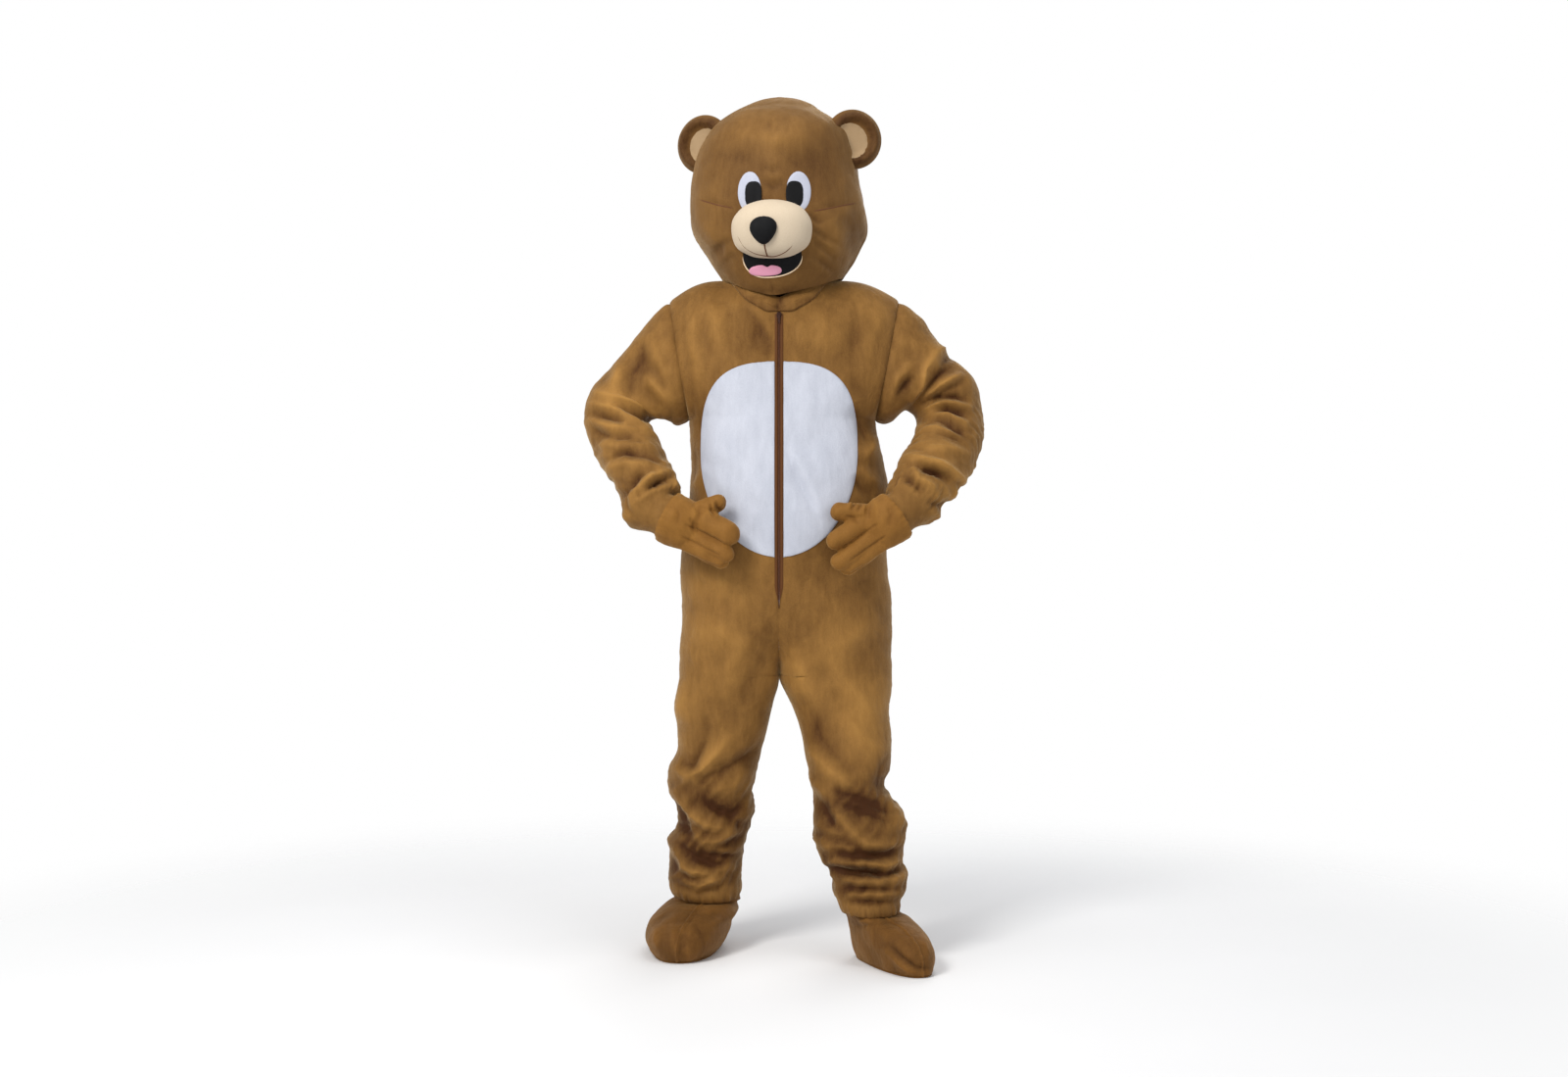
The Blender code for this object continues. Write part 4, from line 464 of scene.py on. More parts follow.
def section(side, face, height):
    """Middle, half-width and depth of one half of the suit's section, at a height up to the chest."""
    depth = depth_at(face, height)
    if height > UNDERARM:
        down = math.sqrt(max(0.0, 1 - ((CHEST - height) / (CHEST - UNDERARM)) ** 2))
        opening = ARMHOLE[side][face] * down
        return 0.0, armhole_x(side, height) / (1 - (opening / depth) ** SQUARENESS) ** (1 / SQUARENESS), depth
    outer = float(smooth(height, OUTLINE[side]["height"], OUTLINE[side]["outer"]))
    if height > CROTCH:
        down = max(0.0, FORK_TOP - height) / (FORK_TOP - CROTCH)
        parting = down**PARTING_POWER * (1 + PARTING_EARLY - PARTING_EARLY * down)
        return outer * parting / (1 + parting), outer / (1 + parting), depth
    inner = float(smooth(height, OUTLINE[side]["height"], OUTLINE[side]["inner"]))
    return (outer + inner) / 2, (outer - inner) / 2, depth


def section_row(side, face, height, across):
    """Points of a level row of a panel, from its centre edge (across 0) to its armhole or side seam (1)."""
    middle, half_width, depth = section(side, face, height)
    first, last = -math.pi / 2, math.pi / 2
    if height > CROTCH:
        inside = middle - float(centre_edge(face, height))
        first = -math.atan2(inside, rounded_depth(inside, half_width, depth))
    if height > UNDERARM:
        edge = armhole_x(side, height)
        last = math.atan2(edge, rounded_depth(edge, half_width, depth))
    turn = mix(first, last, across)
    sideways, deep = np.abs(np.sin(turn)) / half_width, np.abs(np.cos(turn)) / depth
    reach = (sideways**SQUARENESS + deep**SQUARENESS) ** (-1 / SQUARENESS)
    x = np.maximum(middle + reach * np.sin(turn), 0)
    y = np.maximum(reach * np.cos(turn), 0)
    seam = smooth(height, OUTLINE[side]["height"], OUTLINE[side]["seam"])
    return np.stack([side * x, seam + face * y, np.full_like(x, height)], axis=-1)


def yoke_row(side, face, drop, across):
    """Points of a row between the neckline and shoulder seam (drop 0) and the chest (drop 1)."""
    start = float(centre_edge(face, NECK_FRONT))
    neck = np.minimum(across / 0.5, 1)
    shoulder = np.maximum(across / 0.5 - 1, 0)
    x_top = mix(start, NECK_HALF_WIDTH, neck) + shoulder * (ARMHOLE[side]["top_x"] - NECK_HALF_WIDTH)
    low, curve = NECKLINE[face]
    neckline = mix(low, NECK_SIDE, np.clip(x_top / NECK_HALF_WIDTH, 0, 1) ** curve)
    height_top = np.where(shoulder > 0, shoulder_height(side, x_top), neckline)
    chest = section_row(side, face, CHEST, across)
    x = mix(x_top, np.abs(chest[:, 0]), drop)
    height = mix(height_top, CHEST, drop)
    rise = np.clip((height - CHEST) / (shoulder_height(side, x) - CHEST), 0, 1)
    _, half_width, _ = section(side, face, CHEST)
    y = rounded_depth(x, half_width, depth_at(face, height)) * np.sqrt(1 - rise**3)
    return np.stack([side * x, face * y, height], axis=-1)


def level_height(level):
    """Heights of the levels: 1 to 2 down the armhole, 2 to 2.5 to the crotch and 2.5 to 3 to the hem."""
    if level < 2:
        return CHEST - (CHEST - UNDERARM) * math.sin((level - 1) * math.pi / 2)
    if level <= 2.5:
        return mix(UNDERARM, CROTCH, (level - 2) / 0.5)
    return mix(CROTCH, HEM, (level - 2.5) / 0.5)


YOKE_LEVELS = np.linspace(0, 1, 33)[:-1] ** 1.25
ARMHOLE_LEVELS = np.linspace(1, 2, 21)[:-1]
BODY_LEVELS = np.linspace(2, 2.5, 101)[:-1]
LEG_LEVELS = np.linspace(2.5, 3, 146)
LEVELS = np.concatenate([YOKE_LEVELS, ARMHOLE_LEVELS, BODY_LEVELS, LEG_LEVELS])
ACROSS = np.linspace(0, 1, 73)
UNDERARM_ROW = len(YOKE_LEVELS) + len(ARMHOLE_LEVELS)
LEG_FROM, ARMHOLE_TO = 2.42, 2.08  # the levels where a panel turns into a leg, and leaves the armhole
SHIN_TOP, SHIN_FOOT = 0.46, 0.125  # heights between which the trouser leg is crumpled
SHIN_SHADE = 0.006  # painted shade: how much darker the crumpled lower legs are coloured, where less light reaches them
SEAM_GROOVE, SEAM_REACH = 0.0022, 0.005  # how deep a sewn seam draws the pile in, and how far
HEM_DRAWN, HEM_REACH = 0.0060, 0.008  # how far the elastic draws the hem in, and how far up
# Each set of waves: the seed of its directions, its wavelength and its height.
HUNG_WAVES, SMALL_WAVES = (4, 0.16, 0.0022), (9, 0.06, 0.0007)
SHIN_WRINKLES, FINE_WRINKLES = (15, 0.030, 0.0042), (16, 0.030, 0.0009)


def panel_row(side, face, level):
    if level < 1:
        return yoke_row(side, face, level, ACROSS)
    return section_row(side, face, level_height(level), ACROSS)


def suit_grid(side, face):
    """A panel's outer points with its folds, and each point's crease shade: painted shade in its troughs,
    seams and hem and on the lower legs, and painted highlight on its ridges.
    """
    grid = np.array([panel_row(side, face, level) for level in LEVELS])
    down_leg = np.clip((grid[..., 2] - CROTCH) / (HEM - CROTCH), 0, 1)
    grid[..., 2] -= HEM_DIP * down_leg**3 * np.sin(math.pi * ACROSS)
    outward = normals(grid, (0, face, 0))
    x, height = grid[..., 0], grid[..., 2]
    leg = ease((LEVELS - LEG_FROM) / 0.16)[:, None]
    armhole = ease((ARMHOLE_TO - LEVELS) / 0.08)[:, None]
    own = ease((1 - ACROSS) / 0.25) * mix(1.0, ease(ACROSS / 0.25), leg)
    own = 0.5 + 0.5 * own
    relief = own * fold_relief(x, height, SUIT_FOLDS[face])
    relief += (1 - own) * fold_relief(x, height, SUIT_FOLDS[-face])
    relief += unevenness(grid * (1, 0.4, 1), *HUNG_WAVES) + unevenness(grid * (1, 0.4, 1), *SMALL_WAVES)
    shin = ease((SHIN_TOP - height) / 0.14) * ease((height - SHIN_FOOT) / 0.03)
    relief += shin * wrinkles(grid * (1, 0.6, 1), *SHIN_WRINKLES, waves=3)
    relief += wrinkles(grid * (1, 0.6, 0.5), *FINE_WRINKLES)
    centre = mix(ease(ACROSS / 0.10), 1.0, leg)
    sewn = 1 - armhole * (1 - ease((1 - ACROSS) / 0.12))
    relief = relief * centre * sewn * ease(LEVELS / 0.35)[:, None]
    around = np.cumsum(np.linalg.norm(np.diff(grid, axis=1, prepend=grid[:, :1]), axis=-1), axis=1)
    down = np.cumsum(np.linalg.norm(np.diff(grid, axis=0, prepend=grid[:1]), axis=-1), axis=0)
    to_side, to_centre = around[:, -1:] - around, around
    to_hem, to_top = down[-1:] - down, down
    at_hem = np.exp(-to_hem / 0.020) * ease(to_side / 0.02) * ease(to_centre / 0.02)
    relief += gathers(around, at_hem, 5, 0.021, 0.0020)
    relief += gathers(down, np.exp(-to_side / 0.012), 21 + face, 0.026, 0.0010) * ease(to_side / 0.004)
    edges = [to_side, to_centre + (1 - leg) * (face == FRONT)]
    edges.append(np.where(ACROSS[None] > 0.5, to_top, 1.0) + 0 * x)
    for edge in edges:
        relief -= SEAM_GROOVE * np.exp(-((edge / SEAM_REACH) ** 2))
    relief -= HEM_DRAWN * np.exp(-to_hem / HEM_REACH)
    # The lower legs' crease shade is lowered as painted shade.
    return grid + outward * relief[..., None], relief - SHIN_SHADE * shin


def colour(red, green, blue):
    """A colour, given by its sRGB values from 0 to 255, as a shader takes it."""
    return tuple(((v / 255 + 0.055) / 1.055) ** 2.4 for v in (red, green, blue)) + (1.0,)


def node_group(name, inputs, outputs):
    """An empty shader node group with named sockets, and its input and output nodes."""
    group = bpy.data.node_groups.new(name, "ShaderNodeTree")
    for socket, kind, value in inputs:
        made = group.interface.new_socket(name=socket, in_out="INPUT", socket_type=f"NodeSocket{kind}")
        if value is not None:
            made.default_value = value
    for socket, kind in outputs:
        group.interface.new_socket(name=socket, in_out="OUTPUT", socket_type=f"NodeSocket{kind}")
    return group, group.nodes.new("NodeGroupInput"), group.nodes.new("NodeGroupOutput")


def pile_group():
    """Short pile: fibres, brushed patches where the nap lies another way, crumpling, and painted shade and
    highlight: darker in creases and crumple hollows, lighter on ridges and crumple crests.
    """
    group, given, result = node_group(
        "short_pile",
        [
            ("Deep", "Color", None),
            ("Lit", "Color", None),
            ("Crease Shade", "Float", 0.0),
            ("Fibre Size", "Float", 0.0016),
            ("Brushed", "Float", 0.35),
            ("Crumple", "Float", 0.0),
        ],
        [("Color", "Color"), ("Height", "Float"), ("Roughness", "Float")],
    )
    nodes, links = group.nodes, group.links
    place = nodes.new("ShaderNodeTexCoord")

    def noise(scale, detail, stretch=(1, 1, 1), roughness=0.55, distortion=0.0):
        mapping, made = nodes.new("ShaderNodeMapping"), nodes.new("ShaderNodeTexNoise")
        mapping.inputs["Scale"].default_value = stretch
        links.new(place.outputs["Object"], mapping.inputs["Vector"])
        links.new(mapping.outputs["Vector"], made.inputs["Vector"])
        made.inputs["Detail"].default_value = detail
        made.inputs["Roughness"].default_value = roughness
        made.inputs["Distortion"].default_value = distortion
        if isinstance(scale, float):
            made.inputs["Scale"].default_value = scale
        else:
            links.new(scale, made.inputs["Scale"])
        return made.outputs["Fac"]

    def combine(operation, one, two, clamp=False):
        made = nodes.new("ShaderNodeMath")
        made.operation, made.use_clamp = operation, clamp
        for socket, value in zip(made.inputs, (one, two)):
            if isinstance(value, (int, float)):
                socket.default_value = value
            else:
                links.new(value, socket)
        return made.outputs[0]

    def centred(value, share):
        return combine("MULTIPLY", combine("SUBTRACT", value, 0.5), share)

    fineness = combine("DIVIDE", 1.0, given.outputs["Fibre Size"])
    fibres = noise(fineness, 2.0, roughness=0.75)
    patches = noise(9.0, 4.0, (1, 1, 0.55), distortion=0.5)
    streaks = noise(70.0, 4.0, (1, 1, 0.22), roughness=0.65)
    crumpled = centred(noise(30.0, 3.0, (1, 1, 0.8), distortion=0.9), given.outputs["Crumple"])
    nap = combine("ADD", combine("MULTIPLY", patches, 0.5), combine("MULTIPLY", streaks, 0.5))
    tone = combine("ADD", centred(nap, given.outputs["Brushed"]), centred(fibres, 0.5))
    # Painted shade in troughs and painted highlight on ridges, from the crease shade.
    tone = combine("ADD", tone, given.outputs["Crease Shade"])
    # Painted shade and highlight: the crumpling's hollows are coloured darker and its crests lighter.
    tone = combine("ADD", tone, combine("MULTIPLY", crumpled, 0.35))
    blend = nodes.new("ShaderNodeMix")
    blend.data_type = "RGBA"
    links.new(combine("ADD", tone, 0.5, clamp=True), blend.inputs["Factor"])
    links.new(given.outputs["Deep"], blend.inputs["A"])
    links.new(given.outputs["Lit"], blend.inputs["B"])
    links.new(blend.outputs["Result"], result.inputs["Color"])
    raised = combine("ADD", combine("MULTIPLY", fibres, 0.6), combine("MULTIPLY", streaks, 0.5))
    links.new(combine("ADD", raised, combine("MULTIPLY", crumpled, 2.5)), result.inputs["Height"])
    links.new(combine("ADD", combine("MULTIPLY", streaks, -0.3), 0.85), result.inputs["Roughness"])
    return group


SHORT_PILE = pile_group()
CREASE_SHADE_TONE = 40.0  # how strongly a metre of crease shade darkens the pile as painted shade in troughs and lightens it as painted highlight on ridges
PILE_DEPTH = 0.0014


def pile(name, deep, lit, tint, sheen, fibre=0.0016, brushed=0.35, bump=0.5, tone=CREASE_SHADE_TONE, crumple=0.0):
    """A short-pile fabric: deep and lit colours of the pile and the tint of its sheen, each from 0 to 255."""
    made = bpy.data.materials.new(name)
    made.use_nodes = True
    nodes, links = made.node_tree.nodes, made.node_tree.links
    shader = nodes["Principled BSDF"]
    texture = nodes.new("ShaderNodeGroup")
    texture.node_tree = SHORT_PILE
    texture.inputs["Deep"].default_value = colour(*deep)
    texture.inputs["Lit"].default_value = colour(*lit)
    texture.inputs["Fibre Size"].default_value = fibre
    texture.inputs["Brushed"].default_value = brushed
    texture.inputs["Crumple"].default_value = crumple
    crease_shade, scaled = nodes.new("ShaderNodeAttribute"), nodes.new("ShaderNodeMath")
    crease_shade.attribute_name = "crease_shade"
    scaled.operation = "MULTIPLY"
    scaled.inputs[1].default_value = tone
    links.new(crease_shade.outputs["Fac"], scaled.inputs[0])
    links.new(scaled.outputs[0], texture.inputs["Crease Shade"])
    raised = nodes.new("ShaderNodeBump")
    raised.inputs["Strength"].default_value = bump
    raised.inputs["Distance"].default_value = PILE_DEPTH
    links.new(texture.outputs["Height"], raised.inputs["Height"])
    links.new(raised.outputs["Normal"], shader.inputs["Normal"])
    links.new(texture.outputs["Color"], shader.inputs["Base Color"])
    links.new(texture.outputs["Roughness"], shader.inputs["Roughness"])
    shader.inputs["Specular IOR Level"].default_value = 0.15
    shader.inputs["Sheen Weight"].default_value = sheen
    shader.inputs["Sheen Roughness"].default_value = 0.35
    shader.inputs["Sheen Tint"].default_value = colour(*tint)
    return made


BROWN_PLUSH = pile(
    "brown_plush", (62, 32, 6), (158, 115, 57), (255, 222, 168),
    sheen=0.38, brushed=0.85, bump=0.9, crumple=0.8,
)

panels = {}
for side in (RIGHT, LEFT):
    for face in (FRONT, BACK):
        outer, crease_shade = suit_grid(side, face)
        panels[side, face] = outer
        name = f"suit_{FACE_NAME[face]}_{SIDE_NAME[side]}"
        inner = outer - PLUSH * normals(outer, (0, face, 0))
        made = cloth(f"{name}_plush", outer, inner, BROWN_PLUSH, "brown_plush", crease_shade=crease_shade)
        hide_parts(name)


# ---- Belly ---------------------------------------------------------------------------------------
# The belly is a patch of white short-pile fleece in two halves, one on each front, cut back for the zip.
# It is laid on the finished front and sewn down along its edge.

WHITE_PLUSH = pile(
    "white_plush", (156, 160, 172), (206, 209, 219), (240, 244, 255),
    sheen=0.2, fibre=0.0024, brushed=0.9, bump=0.55, tone=20.0, crumple=0.5,
)
BELLY_MIDDLE = 1.075
BELLY_HALF_WIDTH = 0.166
BELLY_UP, BELLY_DOWN = 0.190, 0.222
BELLY_UP_POWER, BELLY_DOWN_POWER = 3.0, 2.0
BELLY_GAP = 0.0095  # how far its inner edge stays from the middle, for the zip
BELLY_ROWS, BELLY_COLUMNS = 101, 49
EDGE_ROLL = 0.004  # how far from its edge a sewn patch is drawn down


def surface_of(grids):
    """A tree of faces, to find the cloth of some grids from in front."""
    points, faces, first = [], [], 0
    for grid in grids:
        points += grid.reshape(-1, 3).tolist()
        faces += grid_faces(*grid.shape[:2], False, first)
        first = len(points)
    return BVHTree.FromPolygons(points, faces)


RAYS_FROM = -1.0  # the y, well in front, that rays start from


def laid_on(tree, x, height):
    """The points of a surface straight behind x across and a height, as seen from in front."""
    points = []
    for place in zip(x.ravel(), height.ravel()):
        found, _, _, _ = tree.ray_cast((place[0], RAYS_FROM, place[1]), (0, 1, 0))
        points.append(found if found is not None else (place[0], 0.0, place[1]))
    return np.array(points, float).reshape(*x.shape, 3)


fronts = {side: surface_of([panels[side, FRONT]]) for side in (RIGHT, LEFT)}
for side in (RIGHT, LEFT):
    turn = np.linspace(0.02, math.pi - 0.02, BELLY_ROWS)
    up = np.cos(turn) > 0
    power = np.where(up, BELLY_UP_POWER, BELLY_DOWN_POWER)
    reach = BELLY_HALF_WIDTH * np.sin(turn) ** (2 / power)
    rise = np.abs(np.cos(turn)) ** (2 / power) * np.where(up, BELLY_UP, -BELLY_DOWN)
    across = np.linspace(0, 1, BELLY_COLUMNS)
    x = side * mix(BELLY_GAP, np.maximum(reach, BELLY_GAP + 0.002)[:, None], across)
    height = BELLY_MIDDLE + rise[:, None] + 0 * x
    base = laid_on(fronts[side], x, height)
    outward = normals(base, (0, FRONT, 0))
    to_edge = np.minimum(
        np.minimum((1 - across) * reach[:, None], across * reach[:, None]),
        np.minimum(BELLY_MIDDLE + BELLY_UP - height, height - BELLY_MIDDLE + BELLY_DOWN),
    )
    drawn = np.exp(-np.clip(to_edge, 0, 1) / EDGE_ROLL)
    soft = unevenness(base * (1, 0, 0.45), 31 + side, 0.10, 0.0012) * (1 - drawn)
    lift = SEAM + PLUSH + soft + 0.0008 * (1 - drawn) - 0.0012 * drawn
    outer = base + outward * np.maximum(lift, SEAM + 0.001)[..., None]
    name = f"belly_{SIDE_NAME[side]}"
    # The crease shade darkens the pile along the sewn edge as painted shade, and adds half the suit's folds
    # as painted shade in troughs and painted highlight on ridges.
    crease_shade = soft - 0.01 * drawn + 0.5 * fold_relief(x, height, SUIT_FOLDS[FRONT])
    made = cloth(f"{name}_plush", outer, base + outward * SEAM, WHITE_PLUSH, "white_plush", crease_shade=crease_shade)
    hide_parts(name)


# ---- Zip -----------------------------------------------------------------------------------------
# A brown coil zip closes the front from the collar to below the belly. Its woven tape is sewn behind the
# fronts' edges, a narrow binding covers each edge beside it, and a lacquered slider carries a pull tab.

ZIP_TAPE = pile(
    "zip_tape", (58, 30, 14), (96, 54, 26), (220, 150, 110), sheen=0.2, fibre=0.0009, brushed=0.2, bump=0.3
)
BINDING = pile(
    "zip_binding", (66, 38, 16), (106, 65, 32), (235, 180, 130),
    sheen=0.3, fibre=0.0011, brushed=0.3, bump=0.4,
)


def lacquer_group():
    """A hard surface with fine wear: where it is worn it takes a second colour."""
    group, given, result = node_group(
        "worn_lacquer",
        [("Base", "Color", None), ("Worn", "Color", None)],
        [("Color", "Color"), ("Height", "Float")],
    )
    nodes, links = group.nodes, group.links
    kinds = ("TexCoord", "TexNoise", "MapRange", "Mix")
    place, wear, share, blend = (nodes.new(f"ShaderNode{kind}") for kind in kinds)
    wear.inputs["Scale"].default_value = 900.0
    wear.inputs["Detail"].default_value = 3.0
    share.inputs["From Min"].default_value = 0.45
    blend.data_type = "RGBA"
    links.new(place.outputs["Object"], wear.inputs["Vector"])
    links.new(wear.outputs["Fac"], share.inputs["Value"])
    links.new(share.outputs["Result"], blend.inputs["Factor"])
    links.new(given.outputs["Base"], blend.inputs["A"])
    links.new(given.outputs["Worn"], blend.inputs["B"])
    links.new(blend.outputs["Result"], result.inputs["Color"])
    links.new(wear.outputs["Fac"], result.inputs["Height"])
    return group


WORN_LACQUER = lacquer_group()
WEAR_LIGHTER, WEAR_ADDED = 2.2, 0.02


def lacquer(name, base, roughness, metallic=0.0):
    """Lacquered or moulded hard material with fine wear."""
    made = bpy.data.materials.new(name)
    made.use_nodes = True
    nodes, links = made.node_tree.nodes, made.node_tree.links
    shader = nodes["Principled BSDF"]
    shader.inputs["Metallic"].default_value = metallic
    shader.inputs["Roughness"].default_value = roughness
    texture, raised = nodes.new("ShaderNodeGroup"), nodes.new("ShaderNodeBump")
    texture.node_tree = WORN_LACQUER
    worn = tuple(min(1.0, v * WEAR_LIGHTER + WEAR_ADDED) for v in base[:3]) + (1.0,)
    texture.inputs["Base"].default_value = base
    texture.inputs["Worn"].default_value = worn
    raised.inputs["Strength"].default_value = 0.15
    raised.inputs["Distance"].default_value = 0.0003
    links.new(texture.outputs["Color"], shader.inputs["Base Color"])
    links.new(texture.outputs["Height"], raised.inputs["Height"])
    links.new(raised.outputs["Normal"], shader.inputs["Normal"])
    return made


ZIP_TEETH = lacquer("zip_coil", colour(84, 44, 18), 0.6)
ZIP_LACQUER = lacquer("zip_lacquer", colour(52, 26, 16), 0.35, 0.6)
TAPE_HALF_WIDTH = 0.009
TAPE_DEPTH = PLUSH + SEAM * 4  # how far the tape's face lies behind the cloth's
TAPE_THICKNESS = 0.0012
TAPE_ABOVE_FOOT = 0.03
TOOTH_PITCH = 0.0026
TOOTH_HALF_DEPTH, TOOTH_HALF_HEIGHT = 0.0011, 0.0010
TOOTH_FACE = 0.0006  # how far the closed teeth stand behind the cloth's face
TOOTH_MIDDLE = 0.0009  # and their middle line behind that
TOOTH_RINGS = ((-0.0004, 0.55), (0.0006, 1.0), (0.0020, 1.0), (0.0026, 0.5))  # x and share of its size
TOOTH_SIDES = 8


def zip_line(heights):
    """The line of the fronts' face down the middle, as (y, height)."""
    beside = ZIP_HALF_OPENING + 0.002
    both = [laid_on(fronts[side], side * beside + 0 * heights, heights) for side in (RIGHT, LEFT)]
    return (both[0][:, 1] + both[1][:, 1]) / 2


zip_heights = np.linspace(ZIP_TOP, ZIP_FOOT, 150)
zip_y = zip_line(zip_heights)
kernel = np.ones(9) / 9
zip_y = np.convolve(np.pad(zip_y, 4, mode="edge"), kernel, mode="valid")
zip_run = unit(np.stack([np.gradient(zip_y), np.gradient(zip_heights)], axis=1))
zip_behind = np.stack([-zip_run[:, 1], zip_run[:, 0]], axis=1)


def beside_zip(x, behind, rows):
    """Points at some x across and some way behind the cloth's face, down the zip."""
    y = zip_y[rows, None] + zip_behind[rows, :1] * behind
    height = zip_heights[rows, None] + zip_behind[rows, 1:] * behind
    return np.stack([x + 0 * y, y + 0 * x, height + 0 * x], axis=-1)


tape_rows = zip_heights > ZIP_FOOT + TAPE_ABOVE_FOOT
tape_x = np.linspace(-TAPE_HALF_WIDTH, TAPE_HALF_WIDTH, 13)[None]
tape_front = beside_zip(tape_x, TAPE_DEPTH, tape_rows)
tape_back = beside_zip(tape_x, TAPE_DEPTH + TAPE_THICKNESS, tape_rows)
tape = cloth("zip_tape", tape_front, tape_back, ZIP_TAPE, "zip_brown")
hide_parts("zip")

teeth_points, teeth_faces, teeth_height = [], [], ZIP_TOP - 0.004
tooth_turn = np.linspace(0, 2 * math.pi, TOOTH_SIDES, endpoint=False)
count = 0
while teeth_height > ZIP_FOOT + 0.006:
    toward = RIGHT if count % 2 else LEFT
    y = np.interp(-teeth_height, -zip_heights, zip_y) + TOOTH_FACE
    for x, size in TOOTH_RINGS:
        ring_y = y + TOOTH_MIDDLE - size * TOOTH_HALF_DEPTH * np.sin(tooth_turn)
        ring_height = teeth_height + size * TOOTH_HALF_HEIGHT * np.cos(tooth_turn)
        teeth_points.append(np.stack([0 * ring_y + toward * x, ring_y, ring_height], axis=1))
    first = count * len(TOOTH_RINGS) * TOOTH_SIDES
    last = first + (len(TOOTH_RINGS) - 1) * TOOTH_SIDES
    teeth_faces += grid_faces(len(TOOTH_RINGS), TOOTH_SIDES, True, first)
    teeth_faces.append(list(range(first + TOOTH_SIDES - 1, first - 1, -1)))
    teeth_faces.append(list(range(last, last + TOOTH_SIDES)))
    teeth_height -= TOOTH_PITCH / 2
    count += 1
piece("zip_teeth", np.concatenate(teeth_points), teeth_faces, ZIP_TEETH)

BINDING_IN, BINDING_OUT = 0.0026, BELLY_GAP - 0.0006
for side in (RIGHT, LEFT):
    across = np.linspace(0, 1, 9)[None]
    arch = 0.0014 * np.sqrt(np.clip(1 - (2 * across - 1) ** 2, 0, 1))
    narrow = ease((zip_heights - ZIP_FOOT) / 0.05)[:, None]
    x = side * mix(SEAM + 0.0010 * (1 - across), mix(BINDING_IN, BINDING_OUT, across), narrow)
    base = laid_on(fronts[side], x + side * 0.001, zip_heights[:, None] + 0 * x)
    base[..., 0] = x
    outward = np.array([0, -1.0, 0])
    seed = unevenness(base * (0, 0, 1), 50 + side, 0.03, 0.00015)
    outer = base + outward * (0.0005 + arch + seed)[..., None]
    inner = base + outward * 0.0002
    name = f"zip_binding_{SIDE_NAME[side]}"
    made = cloth(name, outer, inner, BINDING, "zip_brown")


def joined(parts):
    """Several bodies of points and faces as one."""
    points, faces, first = [], [], 0
    for part_points, part_faces in parts:
        points.append(part_points)
        faces += [[i + first for i in face] for face in part_faces]
        first += len(part_points)
    return np.concatenate(points), faces


for node in ("zip_slider", "zip_pull"):
    carried = bpy.data.objects[node]
    carried.data.materials.clear()
    carried.data.materials.append(ZIP_LACQUER)


# ---- Collar --------------------------------------------------------------------------------------
# The collar is a folded band of the suit's plush that stands up in the neckline, meeting in a V above the
# zip. The head's lower edge rests behind it.

COLLAR_FRONT, COLLAR_BACK, COLLAR_THICKNESS = 0.026, 0.014, 0.003
COLLAR_OVERLAP = 0.016  # how far the band's fold hangs over the neckline in front
COLLAR_ROLL = 0.005
COLLAR_NOTCH = 0.030  # how far from the middle the band draws back, to clear the zip's pull tab
NOTCH_OVERLAP, NOTCH_ROLL = 0.25, 0.2  # shares of its overlap and roll that the band keeps there
COLLAR_REACH = 0.112  # how far from the middle its fold hangs over the neckline
COLLAR_LEAN = 0.35
COLLAR_ROWS = [(0.0, 0.0), (0.35, 0.1), (0.7, 0.35), (1.0, 0.8)]  # shares of its height and of its lean
NECK_MIDDLE = (0.0, -0.015, 0.0)
COLLAR_FOLDS = [
    (-6, 4, 0, (6, 1366), (-4, 1382), (6, 1402)),
    (3.5, 8, 0, (-75, 1424), (-45, 1402), (-12, 1388)),
    (3.5, 8, 0, (14, 1388), (50, 1404), (85, 1424)),
    (-3, 4, 0, (-60, 1400), (-40, 1404), (-22, 1398)),
    (-3, 4, 0, (30, 1384), (55, 1396), (80, 1402)),
]
half = len(ACROSS) // 2 + 1
quarters = [panels[LEFT, FRONT][0, :half], panels[LEFT, BACK][0, :half][::-1]]
quarters += [panels[RIGHT, BACK][0, :half], panels[RIGHT, FRONT][0, :half][::-1]]
neck = np.concatenate(quarters)
neck = neck[np.linalg.norm(neck - np.roll(neck, 1, axis=0), axis=1) > 0.0004]
toward_middle = unit((NECK_MIDDLE - neck) * (1, 1, 0))
band = mix(COLLAR_BACK, COLLAR_FRONT, ease((-neck[:, 1] + 0.02) / 0.12))
low = COLLAR_OVERLAP * ease((COLLAR_REACH - np.abs(neck[:, 0])) / 0.05) * ease(-neck[:, 1] / 0.05)
notch = ease(np.abs(neck[:, 0]) / COLLAR_NOTCH) * (neck[:, 1] < 0) + (neck[:, 1] >= 0)
low *= mix(NOTCH_OVERLAP, 1.0, notch)
both_fronts = surface_of([panels[RIGHT, FRONT], panels[LEFT, FRONT]])
collar_rows = []
for share in np.linspace(0, 1, 8, endpoint=False):
    over = (1 - share) * low
    lowered = neck - toward_middle * COLLAR_LEAN * over[:, None] - np.stack([0 * low, 0 * low, over], axis=1)
    on_front = laid_on(both_fronts, lowered[:, 0], lowered[:, 2])
    lowered[:, 1] = np.where(low > 0.001, np.minimum(on_front[:, 1], lowered[:, 1]), lowered[:, 1])
    collar_rows.append(lowered + (0, -SEAM * 3, SEAM * 2))
shares = np.linspace(0, 1, 15)
leans = smooth(shares, *np.array(COLLAR_ROWS).T)
for rise, lean in zip(shares, leans):
    lifted = neck + toward_middle * (SEAM * 3 + lean * COLLAR_LEAN * band[:, None])
    lifted[:, 2] += SEAM * 2 + rise * band
    collar_rows.append(lifted)
outer = np.array(collar_rows)
away = normals(outer, -toward_middle, closed=True)
